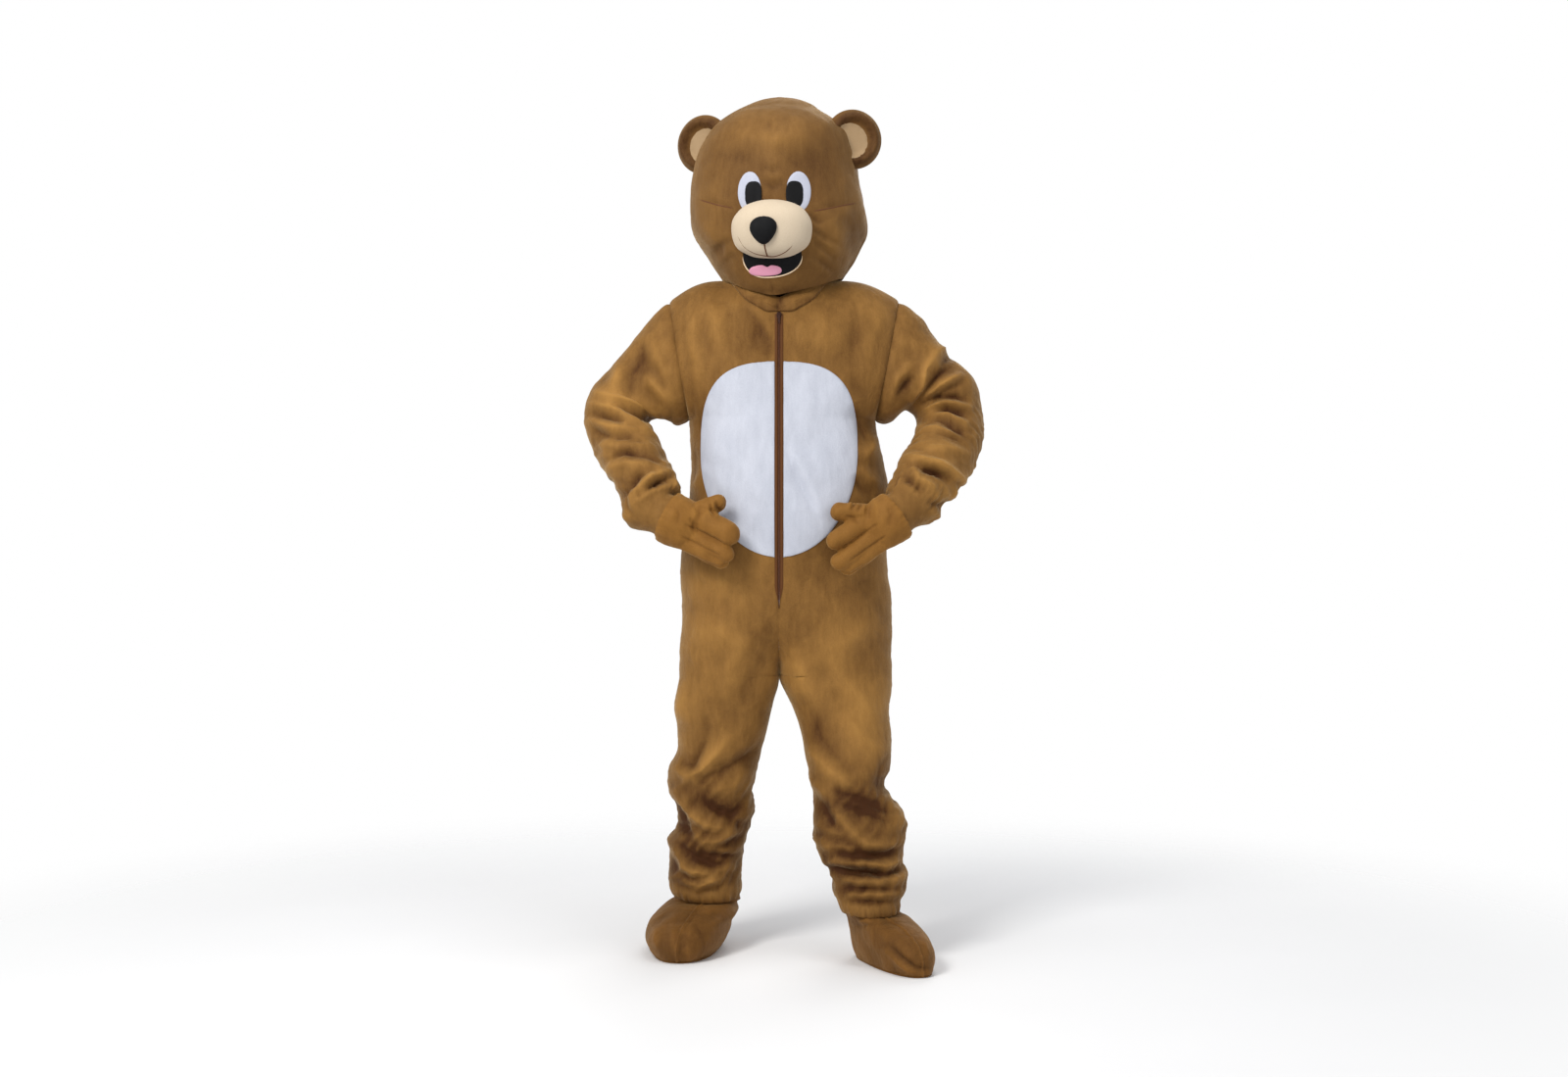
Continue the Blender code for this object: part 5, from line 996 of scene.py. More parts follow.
across_band = np.linspace(0, 1, len(outer))[:, None]
roll = COLLAR_ROLL * np.sqrt(np.sin(math.pi * across_band)) * ease((-neck[:, 1] + 0.03) / 0.08)
roll = roll * mix(NOTCH_ROLL, 1.0, notch)
relief = roll + fold_relief(outer[..., 0], outer[..., 2], COLLAR_FOLDS) * ease(-outer[..., 1] / 0.05)
relief += unevenness(outer, 61, 0.05, 0.0009) * np.sin(math.pi * across_band)
inner = outer + away * (relief[..., None] * 0.5)
outer = outer + away * (relief[..., None] + COLLAR_THICKNESS)
# The crease shade is lowered all over, darkening the collar as painted shade where it lies under the head.
collar = cloth("collar_plush", outer, inner, BROWN_PLUSH, "brown_plush", closed=True, crease_shade=relief - 0.007)
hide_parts("collar")


# ---- Sleeves -------------------------------------------------------------------------------------
# Each sleeve is a wide tube of the same plush, set into the flat armhole and gathered at its lower end,
# which is pushed into the glove. The arms are bent with the hands on the belly, so the cloth piles up in
# deep folds inside the elbows and above the cuffs.

SLEEVE = {
    RIGHT: table("station far_x far_height near_x near_height forward half_depth", [
        (0.00, 0.2385, 1.406, 0.196, 1.147, 0.000, 0.080),
        (0.08, 0.270, 1.374, 0.204, 1.158, 0.000, 0.080),
        (0.17, 0.307, 1.327, 0.220, 1.155, -0.005, 0.078),
        (0.26, 0.351, 1.282, 0.241, 1.151, -0.010, 0.076),
        (0.35, 0.392, 1.236, 0.262, 1.150, -0.010, 0.074),
        (0.43, 0.416, 1.198, 0.274, 1.151, -0.005, 0.072),
        (0.51, 0.422, 1.157, 0.277, 1.133, 0.010, 0.070),
        (0.59, 0.413, 1.116, 0.266, 1.106, 0.034, 0.068),
        (0.67, 0.393, 1.072, 0.249, 1.078, 0.062, 0.067),
        (0.75, 0.366, 1.027, 0.231, 1.050, 0.094, 0.066),
        (0.83, 0.336, 0.974, 0.217, 1.020, 0.124, 0.062),
        (0.90, 0.309, 0.916, 0.213, 0.992, 0.148, 0.054),
        (0.95, 0.284, 0.898, 0.208, 0.970, 0.160, 0.043),
        (1.00, 0.252, 0.897, 0.205, 0.958, 0.167, 0.036),
    ]),
    LEFT: table("station far_x far_height near_x near_height forward half_depth", [
        (0.00, 0.2600, 1.409, 0.209, 1.147, 0.000, 0.080),
        (0.08, 0.300, 1.367, 0.226, 1.164, 0.000, 0.080),
        (0.17, 0.337, 1.322, 0.250, 1.184, -0.005, 0.078),
        (0.26, 0.380, 1.278, 0.274, 1.176, -0.010, 0.077),
        (0.35, 0.424, 1.240, 0.291, 1.158, -0.010, 0.076),
        (0.43, 0.436, 1.203, 0.299, 1.142, -0.005, 0.074),
        (0.51, 0.443, 1.153, 0.298, 1.119, 0.010, 0.072),
        (0.59, 0.441, 1.106, 0.287, 1.100, 0.034, 0.070),
        (0.67, 0.424, 1.061, 0.272, 1.078, 0.062, 0.068),
        (0.75, 0.394, 1.017, 0.253, 1.050, 0.094, 0.067),
        (0.83, 0.356, 0.971, 0.239, 1.021, 0.124, 0.063),
        (0.90, 0.319, 0.928, 0.228, 0.996, 0.148, 0.054),
        (0.95, 0.292, 0.914, 0.224, 0.980, 0.160, 0.043),
        (1.00, 0.266, 0.908, 0.221, 0.967, 0.167, 0.036),
    ]),
}
# Folds by the same columns as the suit's; the back's run across the bent elbow.
SLEEVE_FOLDS = {
    (RIGHT, FRONT): [
        (16, 14, 0, (-412, 1212), (-325, 1183), (-280, 1163), (-235, 1150)),
        (-18, 10, 0, (-355, 1178), (-315, 1162), (-270, 1143), (-230, 1137)),
        (11, 10, 0, (-412, 1187), (-342, 1163), (-275, 1128)),
        (-13, 9, 0, (-410, 1163), (-366, 1150), (-325, 1142)),
        (10, 10, 0.3, (-412, 1150), (-359, 1128), (-300, 1122)),
        (-8, 9, 0, (-400, 1125), (-350, 1104), (-300, 1106)),
        (8, 14, 0, (-380, 1100), (-330, 1092), (-270, 1090)),
        (-12, 11, 0, (-372, 1056), (-328, 1074), (-290, 1070), (-240, 1050)),
        (9, 12, 0, (-370, 1036), (-320, 1052), (-270, 1045)),
        (-13, 10, 0, (-340, 968), (-290, 1022), (-255, 1044)),
        (13, 10, 0.4, (-318, 975), (-268, 1019), (-224, 1036)),
        (-15, 8, 0, (-280, 992), (-252, 1012), (-222, 1022)),
        (12, 9, 0.4, (-312, 955), (-273, 984), (-215, 1004)),
        (-11, 8, 0, (-276, 958), (-245, 976), (-214, 984)),
        (9, 12, 0, (-330, 945), (-300, 925), (-270, 925)),
        (-11, 16, 0, (-299, 1320), (-295, 1278), (-318, 1245), (-318, 1190)),
        (9, 14, 0, (-345, 1275), (-345, 1240), (-360, 1205)),
        (10, 13, 0.4, (-290, 1245), (-250, 1205), (-222, 1170)),
        (7, 15, 0, (-272, 1320), (-258, 1275), (-236, 1235)),
        (-7, 12, 0, (-275, 1265), (-255, 1235), (-240, 1200)),
        (8, 10, 0, (-240, 1345), (-222, 1280), (-208, 1200)),
    ],
    (RIGHT, BACK): [
        (10, 16, 0, (-410, 1235), (-340, 1200), (-270, 1185)),
        (-10, 12, 0, (-418, 1190), (-350, 1165), (-275, 1160)),
        (11, 12, 0.4, (-420, 1150), (-350, 1135), (-270, 1130)),
        (-9, 12, 0, (-410, 1110), (-350, 1100), (-265, 1095)),
        (9, 14, 0, (-395, 1060), (-330, 1050), (-250, 1060)),
        (-9, 12, 0, (-370, 1010), (-310, 1005), (-240, 1030)),
        (9, 12, 0.3, (-350, 975), (-290, 970), (-225, 1005)),
        (8, 18, 0, (-260, 1380), (-300, 1320), (-320, 1260)),
        (-7, 16, 0, (-240, 1330), (-265, 1270), (-270, 1210)),
    ],
    (LEFT, FRONT): [
        (11, 11, -0.4, (234, 1180), (253, 1234), (290, 1270)),
        (-12, 10, 0, (250, 1195), (270, 1222), (292, 1238)),
        (8, 12, 0, (228, 1245), (244, 1285), (272, 1330)),
        (-15, 10, 0, (290, 1182), (323, 1220), (347, 1247), (385, 1270)),
        (13, 11, 0, (280, 1180), (307, 1213), (311, 1250), (340, 1298)),
        (12, 9, 0.5, (312, 1196), (344, 1220), (398, 1248)),
        (-10, 8, 0, (345, 1262), (368, 1285), (388, 1290)),
        (9, 10, 0, (330, 1285), (360, 1305), (385, 1300)),
        (-13, 8, 0, (300, 1176), (340, 1194), (380, 1196), (412, 1186)),
        (11, 8, 0.5, (306, 1166), (357, 1186), (420, 1172)),
        (-10, 8, 0, (335, 1172), (375, 1165), (412, 1148)),
        (10, 9, 0, (312, 1152), (360, 1158), (405, 1134)),
        (-12, 9, 0, (296, 1140), (340, 1145), (368, 1132), (405, 1104)),
        (9, 10, 0, (300, 1125), (337, 1130), (371, 1114), (410, 1090)),
        (-9, 9, 0, (330, 1118), (371, 1106), (410, 1092)),
        (8, 12, 0, (290, 1098), (319, 1084), (364, 1081), (410, 1070)),
        (15, 10, 0.8, (262, 1066), (291, 1062), (357, 1038), (384, 1020), (400, 995)),
        (10, 10, 0, (362, 1034), (372, 1005), (358, 970)),
        (-12, 12, 0, (296, 1042), (330, 1030), (350, 1005)),
        (10, 9, 0, (276, 1062), (290, 1018), (326, 998)),
        (-10, 10, 0, (262, 1030), (274, 1012), (300, 986)),
        (11, 8, 0, (236, 980), (264, 1000), (293, 965), (316, 922)),
        (-10, 7, 0, (250, 978), (268, 982), (290, 948), (300, 925)),
        (9, 7, 0, (250, 962), (272, 962), (288, 930)),
        (-12, 9, 0, (300, 968), (340, 960), (370, 975)),
        (9, 9, 0, (305, 948), (340, 940), (372, 950)),
    ],
    (LEFT, BACK): [
        (10, 16, 0, (270, 1180), (345, 1200), (425, 1235)),
        (-10, 12, 0, (275, 1158), (355, 1165), (435, 1190)),
        (11, 12, 0.4, (280, 1130), (360, 1130), (442, 1150)),
        (-10, 12, 0, (285, 1095), (365, 1095), (440, 1108)),
        (10, 13, 0, (270, 1062), (350, 1052), (425, 1062)),
        (-9, 12, 0, (255, 1030), (330, 1008), (400, 1015)),
        (10, 12, 0.3, (240, 1005), (300, 970), (370, 980)),
        (8, 18, 0, (280, 1385), (325, 1325), (350, 1260)),
        (-7, 16, 0, (255, 1340), (285, 1275), (290, 1215)),
    ],
}
GLOVE_PLACE = {
    RIGHT: {
        "cuff": (-0.2335, -0.166, 0.938),
        "fingers": (0.865, -0.243, -0.437),
        "thumb": (0.451, 0.0, 0.892),
    },
    LEFT: {
        "cuff": (0.2463, -0.166, 0.942),
        "fingers": (-0.800, -0.220, -0.560),
        "thumb": (-0.573, 0.0, 0.820),
    },
}
GLOVE_WALL = 0.003
PALM = table("along half_width half_depth", [
    (0.000, 0.0510, 0.046),
    (0.020, 0.0530, 0.045),
    (0.045, 0.0525, 0.040),
    (0.068, 0.0460, 0.032),
    (0.088, 0.0340, 0.024),
    (0.102, 0.0180, 0.014),
])
TUCK = ((-0.014, 0.0025), (0.004, 0.0), (0.024, 0.0))  # how far into the glove, and how much narrower
SLEEVE_COLUMNS, SLEEVE_ROWS = 112, 150


def hand_frame(side):
    """The glove's directions: along the hand, across it to the thumb, and through it, out of its back."""
    along = unit(GLOVE_PLACE[side]["fingers"])
    thumb = np.array(GLOVE_PLACE[side]["thumb"])
    across = unit(thumb - (thumb @ along) * along)
    through = np.cross(along, across)
    return along, across, through * (-1 if through[1] > 0 else 1)


def hand_points(side, local):
    """From the hand's own frame to its place."""
    return np.array(GLOVE_PLACE[side]["cuff"]) + local @ np.array(hand_frame(side))


def sleeve_edge(side, stations, edge):
    """The line of a sleeve's far or near edge."""
    shape = SLEEVE[side]
    keys = (f"{edge}_x", "forward", f"{edge}_height")
    line = np.stack([smooth(stations, shape["station"], shape[key]) for key in keys], axis=1)
    return line * (side, -1, 1)


def sleeve_rings(side, stations, turn):
    """A sleeve's outer points without its folds, and its middle line."""
    front, back = (panels[side, face][: UNDERARM_ROW + 1, -1] for face in (FRONT, BACK))
    top, foot = (front[:1] + back[:1]) / 2, (front[-1:] + back[-1:]) / 2
    hole = np.concatenate([top, front[1:-1], foot, back[-2:0:-1]])
    yoke_share = np.interp(YOKE_LEVELS, (0, 0.12, 0.3, 0.62, 1), (0, 1 / 8, 1 / 4, 3 / 8, 1 / 2))
    level_share = np.concatenate([yoke_share, np.append(ARMHOLE_LEVELS, 2.0) / 2])
    hole_turn = np.concatenate([level_share, 2 - level_share[-2:0:-1]]) * math.pi
    looped = np.concatenate([hole, hole[:1]])
    hole_turn = np.append(hole_turn, 2 * math.pi)
    start = np.stack([np.interp(turn, hole_turn, looped[:, axis]) for axis in range(3)], axis=1)
    far, near = sleeve_edge(side, stations, "far"), sleeve_edge(side, stations, "near")
    centres = (far + near) / 2
    run = unit(np.gradient(centres, axis=0))
    first = unit(far - near)
    second = unit(np.cross(run, first))
    second = second * np.where(second[:, 1:2] > 0, -1, 1)
    half_width = np.linalg.norm(far - near, axis=1)[:, None, None] / 2
    half_depth = smooth(stations, SLEEVE[side]["station"], SLEEVE[side]["half_depth"])[:, None, None]
    c, s = np.cos(turn)[None, :, None], np.sin(turn)[None, :, None]
    oval = half_width * c * first[:, None] + half_depth * s * second[:, None]
    leave = ease(stations / 0.30)[:, None, None]
    return mix(start[None] - centres[0], oval, leave) + centres[:, None]


def tucked_end(side, turn):
    """The sleeve's last rows, gathered to the size of the glove's cuff and pushed into it."""
    rows = []
    for along, narrower in TUCK:
        less = GLOVE_WALL + SEAM * 2.2 + narrower
        width = smooth(max(along, 0), PALM["along"], PALM["half_width"]) - less
        depth = smooth(max(along, 0), PALM["along"], PALM["half_depth"]) - less
        rows.append(np.stack([along + 0 * turn, -width * np.cos(turn), depth * np.sin(turn)], axis=-1))
    return hand_points(side, np.array(rows))


for side in (RIGHT, LEFT):
    turn = np.linspace(0, 2 * math.pi, SLEEVE_COLUMNS, endpoint=False)
    stations = np.concatenate([[0, 0.06], np.linspace(0.13, 0.9, 13)])
    rings = np.concatenate([sleeve_rings(side, stations, turn), tucked_end(side, turn)])
    steps = np.linalg.norm(np.diff(rings.mean(axis=1), axis=0), axis=1)
    arc = np.concatenate([[0], np.cumsum(steps)])
    at = np.linspace(0, arc[-1], SLEEVE_ROWS)
    grid = smooth(at, arc, rings.reshape(len(rings), -1)).reshape(SLEEVE_ROWS, SLEEVE_COLUMNS, 3)
    middle = grid.mean(axis=1, keepdims=True)
    outward = normals(grid, grid - middle, closed=True)
    own = ease((0.45 - outward[..., 1]) / 0.9)
    elbow = ease((at / arc[-1] - 0.30) / 0.15)[:, None]
    relief = own * fold_relief(grid[..., 0], grid[..., 2], SLEEVE_FOLDS[side, FRONT])
    relief += (1 - own) * fold_relief(grid[..., 0], grid[..., 2], SLEEVE_FOLDS[side, BACK])
    relief += elbow * wrinkles(grid, 61 + side, 0.028, 0.0030, waves=3)
    relief += unevenness(grid, 14 + side, 0.10, 0.0022) + unevenness(grid, 17 + side, 0.045, 0.0008)
    to_cuff = arc[-4] - at[:, None] + 0 * relief
    around = 0.060 * turn[None] + 0 * relief
    relief += gathers(around, np.exp(-np.clip(to_cuff, 0, 1) / 0.028), 71 + side, 0.026, 0.0040)
    relief *= ease(at / 0.05)[:, None] * ease((to_cuff + 0.012) / 0.03)
    at_hole = gathers(around, np.exp(-at[:, None] / 0.02), 73 + side, 0.030, 0.0012)
    relief += at_hole * ease(at / 0.006)[:, None]
    relief -= SEAM_GROOVE * np.exp(-((at[:, None] / SEAM_REACH) ** 2))
    outer = grid + outward * relief[..., None]
    inner = outer - PLUSH * normals(outer, outer - middle, closed=True)
    name = f"sleeve_{SIDE_NAME[side]}"
    made = cloth(f"{name}_plush", outer, inner, BROWN_PLUSH, "brown_plush", closed=True, crease_shade=relief)
    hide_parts(name)


# ---- Head ----------------------------------------------------------------------------------------
# The head is a plush cover over a stiff foam shell: one front panel and two back panels, with darts at the
# crown and cheeks that round it. Its open lower edge rests on the shoulders, inside the collar.

CROWN = 1.8516
HEAD_TURN = -5  # degrees, the face looking slightly to its right
HEAD_SQUARENESS = 2.2
HEAD_WALL = 0.003
HEAD = table("turn drop right left front back", [
    (0, 0.000, 0.000, 0.000, 0.000, 0.000),
    (12, 0.0085, 0.040, 0.046, 0.029, 0.034),
    (22, 0.0215, 0.070, 0.0745, 0.062, 0.066),
    (31, 0.0343, 0.094, 0.0900, 0.088, 0.092),
    (42, 0.052, 0.120, 0.115, 0.124, 0.122),
    (55, 0.083, 0.150, 0.153, 0.156, 0.150),
    (68, 0.125, 0.174, 0.167, 0.176, 0.168),
    (80, 0.178, 0.187, 0.173, 0.188, 0.176),
    (90, 0.230, 0.192, 0.183, 0.192, 0.178),
    (102, 0.282, 0.190, 0.192, 0.190, 0.172),
    (112, 0.307, 0.181, 0.189, 0.188, 0.165),
    (122, 0.333, 0.166, 0.177, 0.182, 0.155),
    (132, 0.358, 0.150, 0.163, 0.172, 0.143),
    (142, 0.384, 0.132, 0.147, 0.160, 0.130),
    (152, 0.410, 0.112, 0.128, 0.146, 0.116),
    (164, 0.446, 0.081, 0.098, 0.123, 0.095),
])
HEAD_RIM = {"side": 147.3, "front": 164}
HEAD_MIDDLE = (0, 0, 1.62)
# Folds, darts and hollows of the face, as the suit's but with x from the face's own middle.
HEAD_FOLDS = [
    (-3, 3.5, 0, (-158, 1610), (-118, 1599), (-76, 1581)),  # cheek darts
    (-3, 3.5, 0, (82, 1574), (126, 1589), (172, 1604)),
    (-5.5, 7, 0.5, (80, 1572), (94, 1556), (108, 1548)),  # puckers beside the muzzle
    (-5, 6, 0.4, (84, 1540), (112, 1522), (140, 1511)),
    (-4.5, 6, 0.4, (86, 1516), (108, 1500), (128, 1484)),
    (-4, 6, 0.3, (82, 1490), (106, 1470), (130, 1458)),
    (-4, 8, 0.3, (-84, 1520), (-112, 1508), (-140, 1498)),
    (-3.5, 7, 0.3, (-78, 1492), (-100, 1478), (-122, 1468)),
    (-4.5, 30, 0, (-125, 1700), (-68, 1690), (-10, 1697)),  # hollows over the eyes
    (-4.5, 30, 0, (10, 1697), (78, 1684), (130, 1700)),
    (6, 20, 0, (-80, 1735), (0, 1722), (80, 1735)),
    (-4.5, 7, 0, (-22, 1640), (4, 1620), (28, 1636)),  # wrinkles over the muzzle
    (3.5, 8, 0, (-22, 1652), (4, 1644), (28, 1652)),
    (-4, 6, 0, (-18, 1666), (4, 1659), (26, 1665)),
    (-4.5, 4.5, 0, (-8, 1772), (-5, 1754), (-4, 1742)),  # crown dart
    (-3, 3.5, 0, (-3, 1434), (-2, 1416), (-2, 1400)),  # chin seam
    (-6, 22, 0, (150, 1575), (170, 1540), (158, 1500)),
    (5, 20, 0, (120, 1560), (135, 1530), (125, 1490)),
    (-5, 20, 0, (-165, 1505), (-135, 1512), (-100, 1505)),
    (4.5, 22, 0, (-150, 1560), (-130, 1535), (-120, 1500)),
    (-4.5, 14, 0, (-70, 1425), (-30, 1410), (30, 1408), (85, 1424)),
]
HEAD_BACK_FOLDS = [
    (-4.5, 6, 0, (-70, 1790), (-55, 1760), (-45, 1735)),
    (-4.5, 6, 0, (70, 1790), (55, 1760), (45, 1735)),
    (-5, 20, 0, (-130, 1600), (-80, 1560), (-30, 1545)),
    (5, 20, 0, (-120, 1540), (-70, 1500), (-20, 1490)),
    (-5, 18, 0, (140, 1590), (90, 1550), (30, 1540)),
    (-5.5, 10, 0.4, (-110, 1470), (-60, 1455), (-10, 1462)),
    (-5.5, 10, 0.4, (115, 1475), (60, 1452), (12, 1460)),
]


def turned_z(points, degrees):
    """Points turned about the upright axis."""
    c, s = math.cos(math.radians(degrees)), math.sin(math.radians(degrees))
    return np.asarray(points) @ np.array([[c, s, 0], [-s, c, 0], [0, 0, 1]])


def head_place(points):
    """From the head's own frame, facing -Y, to the way the head looks."""
    return turned_z(points, HEAD_TURN)


def head_rows(turn, key):
    return smooth(turn, HEAD["turn"], HEAD[key])


def head_form(around, down):
    """Points of the head's plain form: around from the face's middle to its left, down 0 to 1 at the rim."""
    toward_front = np.clip(np.cos(around), 0, 1)
    rim = HEAD_RIM["side"] + (HEAD_RIM["front"] - HEAD_RIM["side"]) * toward_front**1.5
    turn = down * rim
    half_width = np.where(np.sin(around) > 0, head_rows(turn, "left"), head_rows(turn, "right"))
    depth = np.where(np.cos(around) > 0, head_rows(turn, "front"), head_rows(turn, "back"))
    s, c = np.abs(np.sin(around)), np.abs(np.cos(around))
    reach = (s**HEAD_SQUARENESS + c**HEAD_SQUARENESS) ** (-1 / HEAD_SQUARENESS)
    x, y = half_width * reach * np.sin(around), -depth * reach * np.cos(around)
    return np.stack([x, y, CROWN - head_rows(turn, "drop")], axis=-1)


# Darker than the suit's plush: partly the head's pile lying another way, partly painted shade where the light
# falls off above the chest.
HEAD_PLUSH = pile(
    "head_plush", (56, 29, 7), (136, 98, 49), (255, 220, 165), sheen=0.3, brushed=0.75, bump=0.8, crumple=0.6
)
HEAD_DOWN = np.concatenate([[0, 0.02, 0.045], np.linspace(0.07, 1, 116)])


def head_panel(name, first, last, columns):
    """A panel of the head between two seams, each given by its angle from the face's middle."""
    around = np.radians(np.linspace(first, last, columns))[None] + np.zeros((len(HEAD_DOWN), 1))
    grid = head_form(around, HEAD_DOWN[:, None])
    outward = normals(grid, grid - HEAD_MIDDLE)
    outward[0] = (0, 0, 1)
    front = ease((0.25 - outward[..., 1]) / 0.5)
    relief = front * fold_relief(grid[..., 0], grid[..., 2], HEAD_FOLDS)
    relief += (1 - front) * fold_relief(grid[..., 0], grid[..., 2], HEAD_BACK_FOLDS)
    relief += unevenness(grid, 81, 0.15, 0.0018) + unevenness(grid, 83, 0.05, 0.0006)
    relief *= 1 - front * np.exp(-((grid[..., 0] / 0.080) ** 4) - ((grid[..., 2] - 1.462) / 0.036) ** 4)
    relief *= ease((HEAD_DOWN - 0.08) / 0.22)[:, None]
    half_width = np.linalg.norm(grid[..., :2], axis=-1)
    for edge in (around[:, :1], around[:, -1:]):
        to_seam = np.abs(around - edge) * half_width
        down = np.cumsum(np.linalg.norm(np.diff(grid, axis=0, prepend=grid[:1]), axis=-1), axis=0)
        relief -= SEAM_GROOVE * np.exp(-((to_seam / SEAM_REACH) ** 2)) * ease(HEAD_DOWN / 0.05)[:, None]
        relief += gathers(down, np.exp(-to_seam / 0.012), 87, 0.030, 0.0008) * ease(HEAD_DOWN / 0.3)[:, None]
    outer = grid + outward * relief[..., None]
    middle = math.radians((first + last) / 2)
    apart = np.array([math.sin(middle), -math.cos(middle), 0]) * SEAM / 2
    walls = (head_place(layer + apart) for layer in (outer, outer - outward * HEAD_WALL))
    made = cloth(f"{name}_plush", *walls, HEAD_PLUSH, "brown_plush", crease_shade=relief)
    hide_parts(name)
    return outer


head_tree = surface_of([head_panel("head_front", -90, 90, 141)])
head_panel("head_back_left", 90, 180, 71)
head_panel("head_back_right", 180, 270, 71)


# ---- Face ----------------------------------------------------------------------------------------
# The muzzle is a padded cream fleece dome with an embroidered mouth line and a stuffed black nose. Eyes,
# pupils, mouth and tongue are felt, glued and edge-stitched on, with a pale binding along the lower lip.

CREAM_FLEECE = pile(
    "cream_fleece", (170, 150, 124), (216, 202, 180), (255, 240, 214),
    sheen=0.3, fibre=0.0016, brushed=0.3, bump=0.4, tone=14.0,
)
WHITE_FELT = pile("white_felt", (150, 153, 168), (196, 199, 212), (240, 240, 255), sheen=0.2, fibre=0.0012)
BLACK_FELT = pile("black_felt", (4, 4, 5), (20, 20, 22), (120, 120, 130), sheen=0.12, fibre=0.0012)
PINK_FELT = pile("pink_felt", (190, 124, 148), (222, 160, 182), (255, 210, 225), sheen=0.3, fibre=0.0012)
THREAD = pile("brown_thread", (70, 40, 26), (112, 70, 46), (220, 170, 130), sheen=0.2, fibre=0.0006)

EYES_MIDDLE = 0.006
EYE = {"x": 0.051, "height": 1.615, "half_width": 0.025, "half_height": 0.042}
PUPIL = {"x": 0.0425, "height": 1.609, "half_width": 0.0175, "half_height": 0.027}
FELT = 0.002
MUZZLE = {"x": 0.001, "height": 1.5385, "half_width": 0.0820, "half_height": 0.0585}
MUZZLE_BULGE, MUZZLE_WALL = 0.052, 0.003
NOSE = {"x": -0.009, "height": 1.537, "half_width": 0.0225, "half_height": 0.0208}
NOSE_EDGE, NOSE_BULGE = 0.002, 0.014
MOUTH_HALF_WIDTH, MOUTH_FOOT, MOUTH_TOP = 0.061, 1.4425, 1.4880
MOUTH_LOWEST = -0.012  # where across the face the lower lip hangs lowest
TONGUE = {"x": -0.015, "height": 1.4560, "half_width": 0.034, "half_height": 0.0108}


def face_point(x, height):
    """The point of the face's surface at x across and a height, as seen from in front."""
    rows = np.linspace(0, HEAD_RIM["front"], 400)
    turn = np.interp(CROWN - height, head_rows(rows, "drop"), rows)
    half_width = np.where(x > 0, head_rows(turn, "left"), head_rows(turn, "right"))
    share = np.clip(np.abs(x) / half_width, 0, 1) ** HEAD_SQUARENESS
    y = -head_rows(turn, "front") * (1 - share) ** (1 / HEAD_SQUARENESS)
    return np.stack([x + 0 * height, y, height + 0 * x], axis=-1)


def face_cloth(x, height):
    """The face's surface with the folds of its cover."""
    return laid_on(head_tree, x + 0 * height, height + 0 * x)


def surface_normal(point_at, u, v):
    """The unit normal, toward -Y, of a surface given by two coordinates."""
    step = 1e-4
    across = point_at(u + step, v) - point_at(u - step, v)
    up = point_at(u, v + step) - point_at(u, v - step)
    found = unit(np.cross(across, up))
    return found * np.where(found[..., 1:2] > 0, -1, 1)


def patch(name, point_at, shape, outline, lift, top, material, slot, under=None, rings=14, sides=72):
    """A piece that lies on a surface, from its middle to the outline; top gives its height for 0 to 1."""
    turn = np.linspace(0, 2 * math.pi, sides, endpoint=False)
    u_edge, v_edge = outline(turn)
    share = np.sin(np.linspace(0, math.pi / 2, rings + 1))[:, None]
    u, v = shape["x"] + share * u_edge, shape["height"] + share * v_edge
    base = point_at(u, v)
    outward = surface_normal(face_point if point_at is face_cloth else point_at, u, v)
    height = top(share, turn) + 0 * u
    low = 0 * height if under is None else np.maximum(height - under, 0)
    outer, inner = (head_place(base + outward * (lift + h)[..., None]) for h in (height, low))
    return cloth(name, outer, inner, material, slot, closed=True)


def oval(shape, power):
    """An outline for a patch: a rounded oval of the shape's half-sizes."""

    def outline(turn):
        x, y = np.cos(turn), np.sin(turn)
        wide = shape["half_width"] * np.sign(x) * np.abs(x) ** (2 / power)
        return wide, shape["half_height"] * np.sign(y) * np.abs(y) ** (2 / power)

    return outline


def felt_top(thickness):
    """Felt of a thickness, its stitched edge drawn down."""
    return lambda share, turn: thickness * (0.25 + 0.75 * (1 - np.clip(share, 0, 1) ** 10)) + 0 * turn


def nose_outline(turn):
    """A rounded triangle, its point down."""
    x = NOSE["half_width"] * np.cos(turn) * (1.0 + 0.30 * np.sin(turn))
    return x, NOSE["half_height"] * np.sin(turn)


def muzzle_height(share):
    dome = np.clip(1 - np.clip(share, 0, 1) ** 2.6, 0, 1) ** 0.62
    return mix(MUZZLE_WALL, MUZZLE_BULGE, dome)


def muzzle_top(share, turn):
    """The dome, with small tucks where its edge is sewn to the face."""
    tucks = 0.0014 * np.sin(9 * turn + 0.6 * np.sin(3 * turn)) * np.clip(share, 0, 1) ** 9
    return muzzle_height(share) + tucks


def muzzle_point(x, height):
    """The muzzle's outer surface as seen from in front, for what lies on it."""
    sideways = (x - MUZZLE["x"]) / MUZZLE["half_width"]
    upward = (height - MUZZLE["height"]) / MUZZLE["half_height"]
    lift = SEAM + muzzle_height(np.hypot(sideways, upward))
    return face_point(x, height) + surface_normal(face_point, x, height) * lift[..., None]


def nose_top(share, turn):
    return NOSE_EDGE + NOSE_BULGE * np.clip(1 - np.clip(share, 0, 1) ** 2.5, 0, 1) ** 0.6 + 0 * turn


LINE_FLATTENED, LINE_SIDES = 0.7, 10


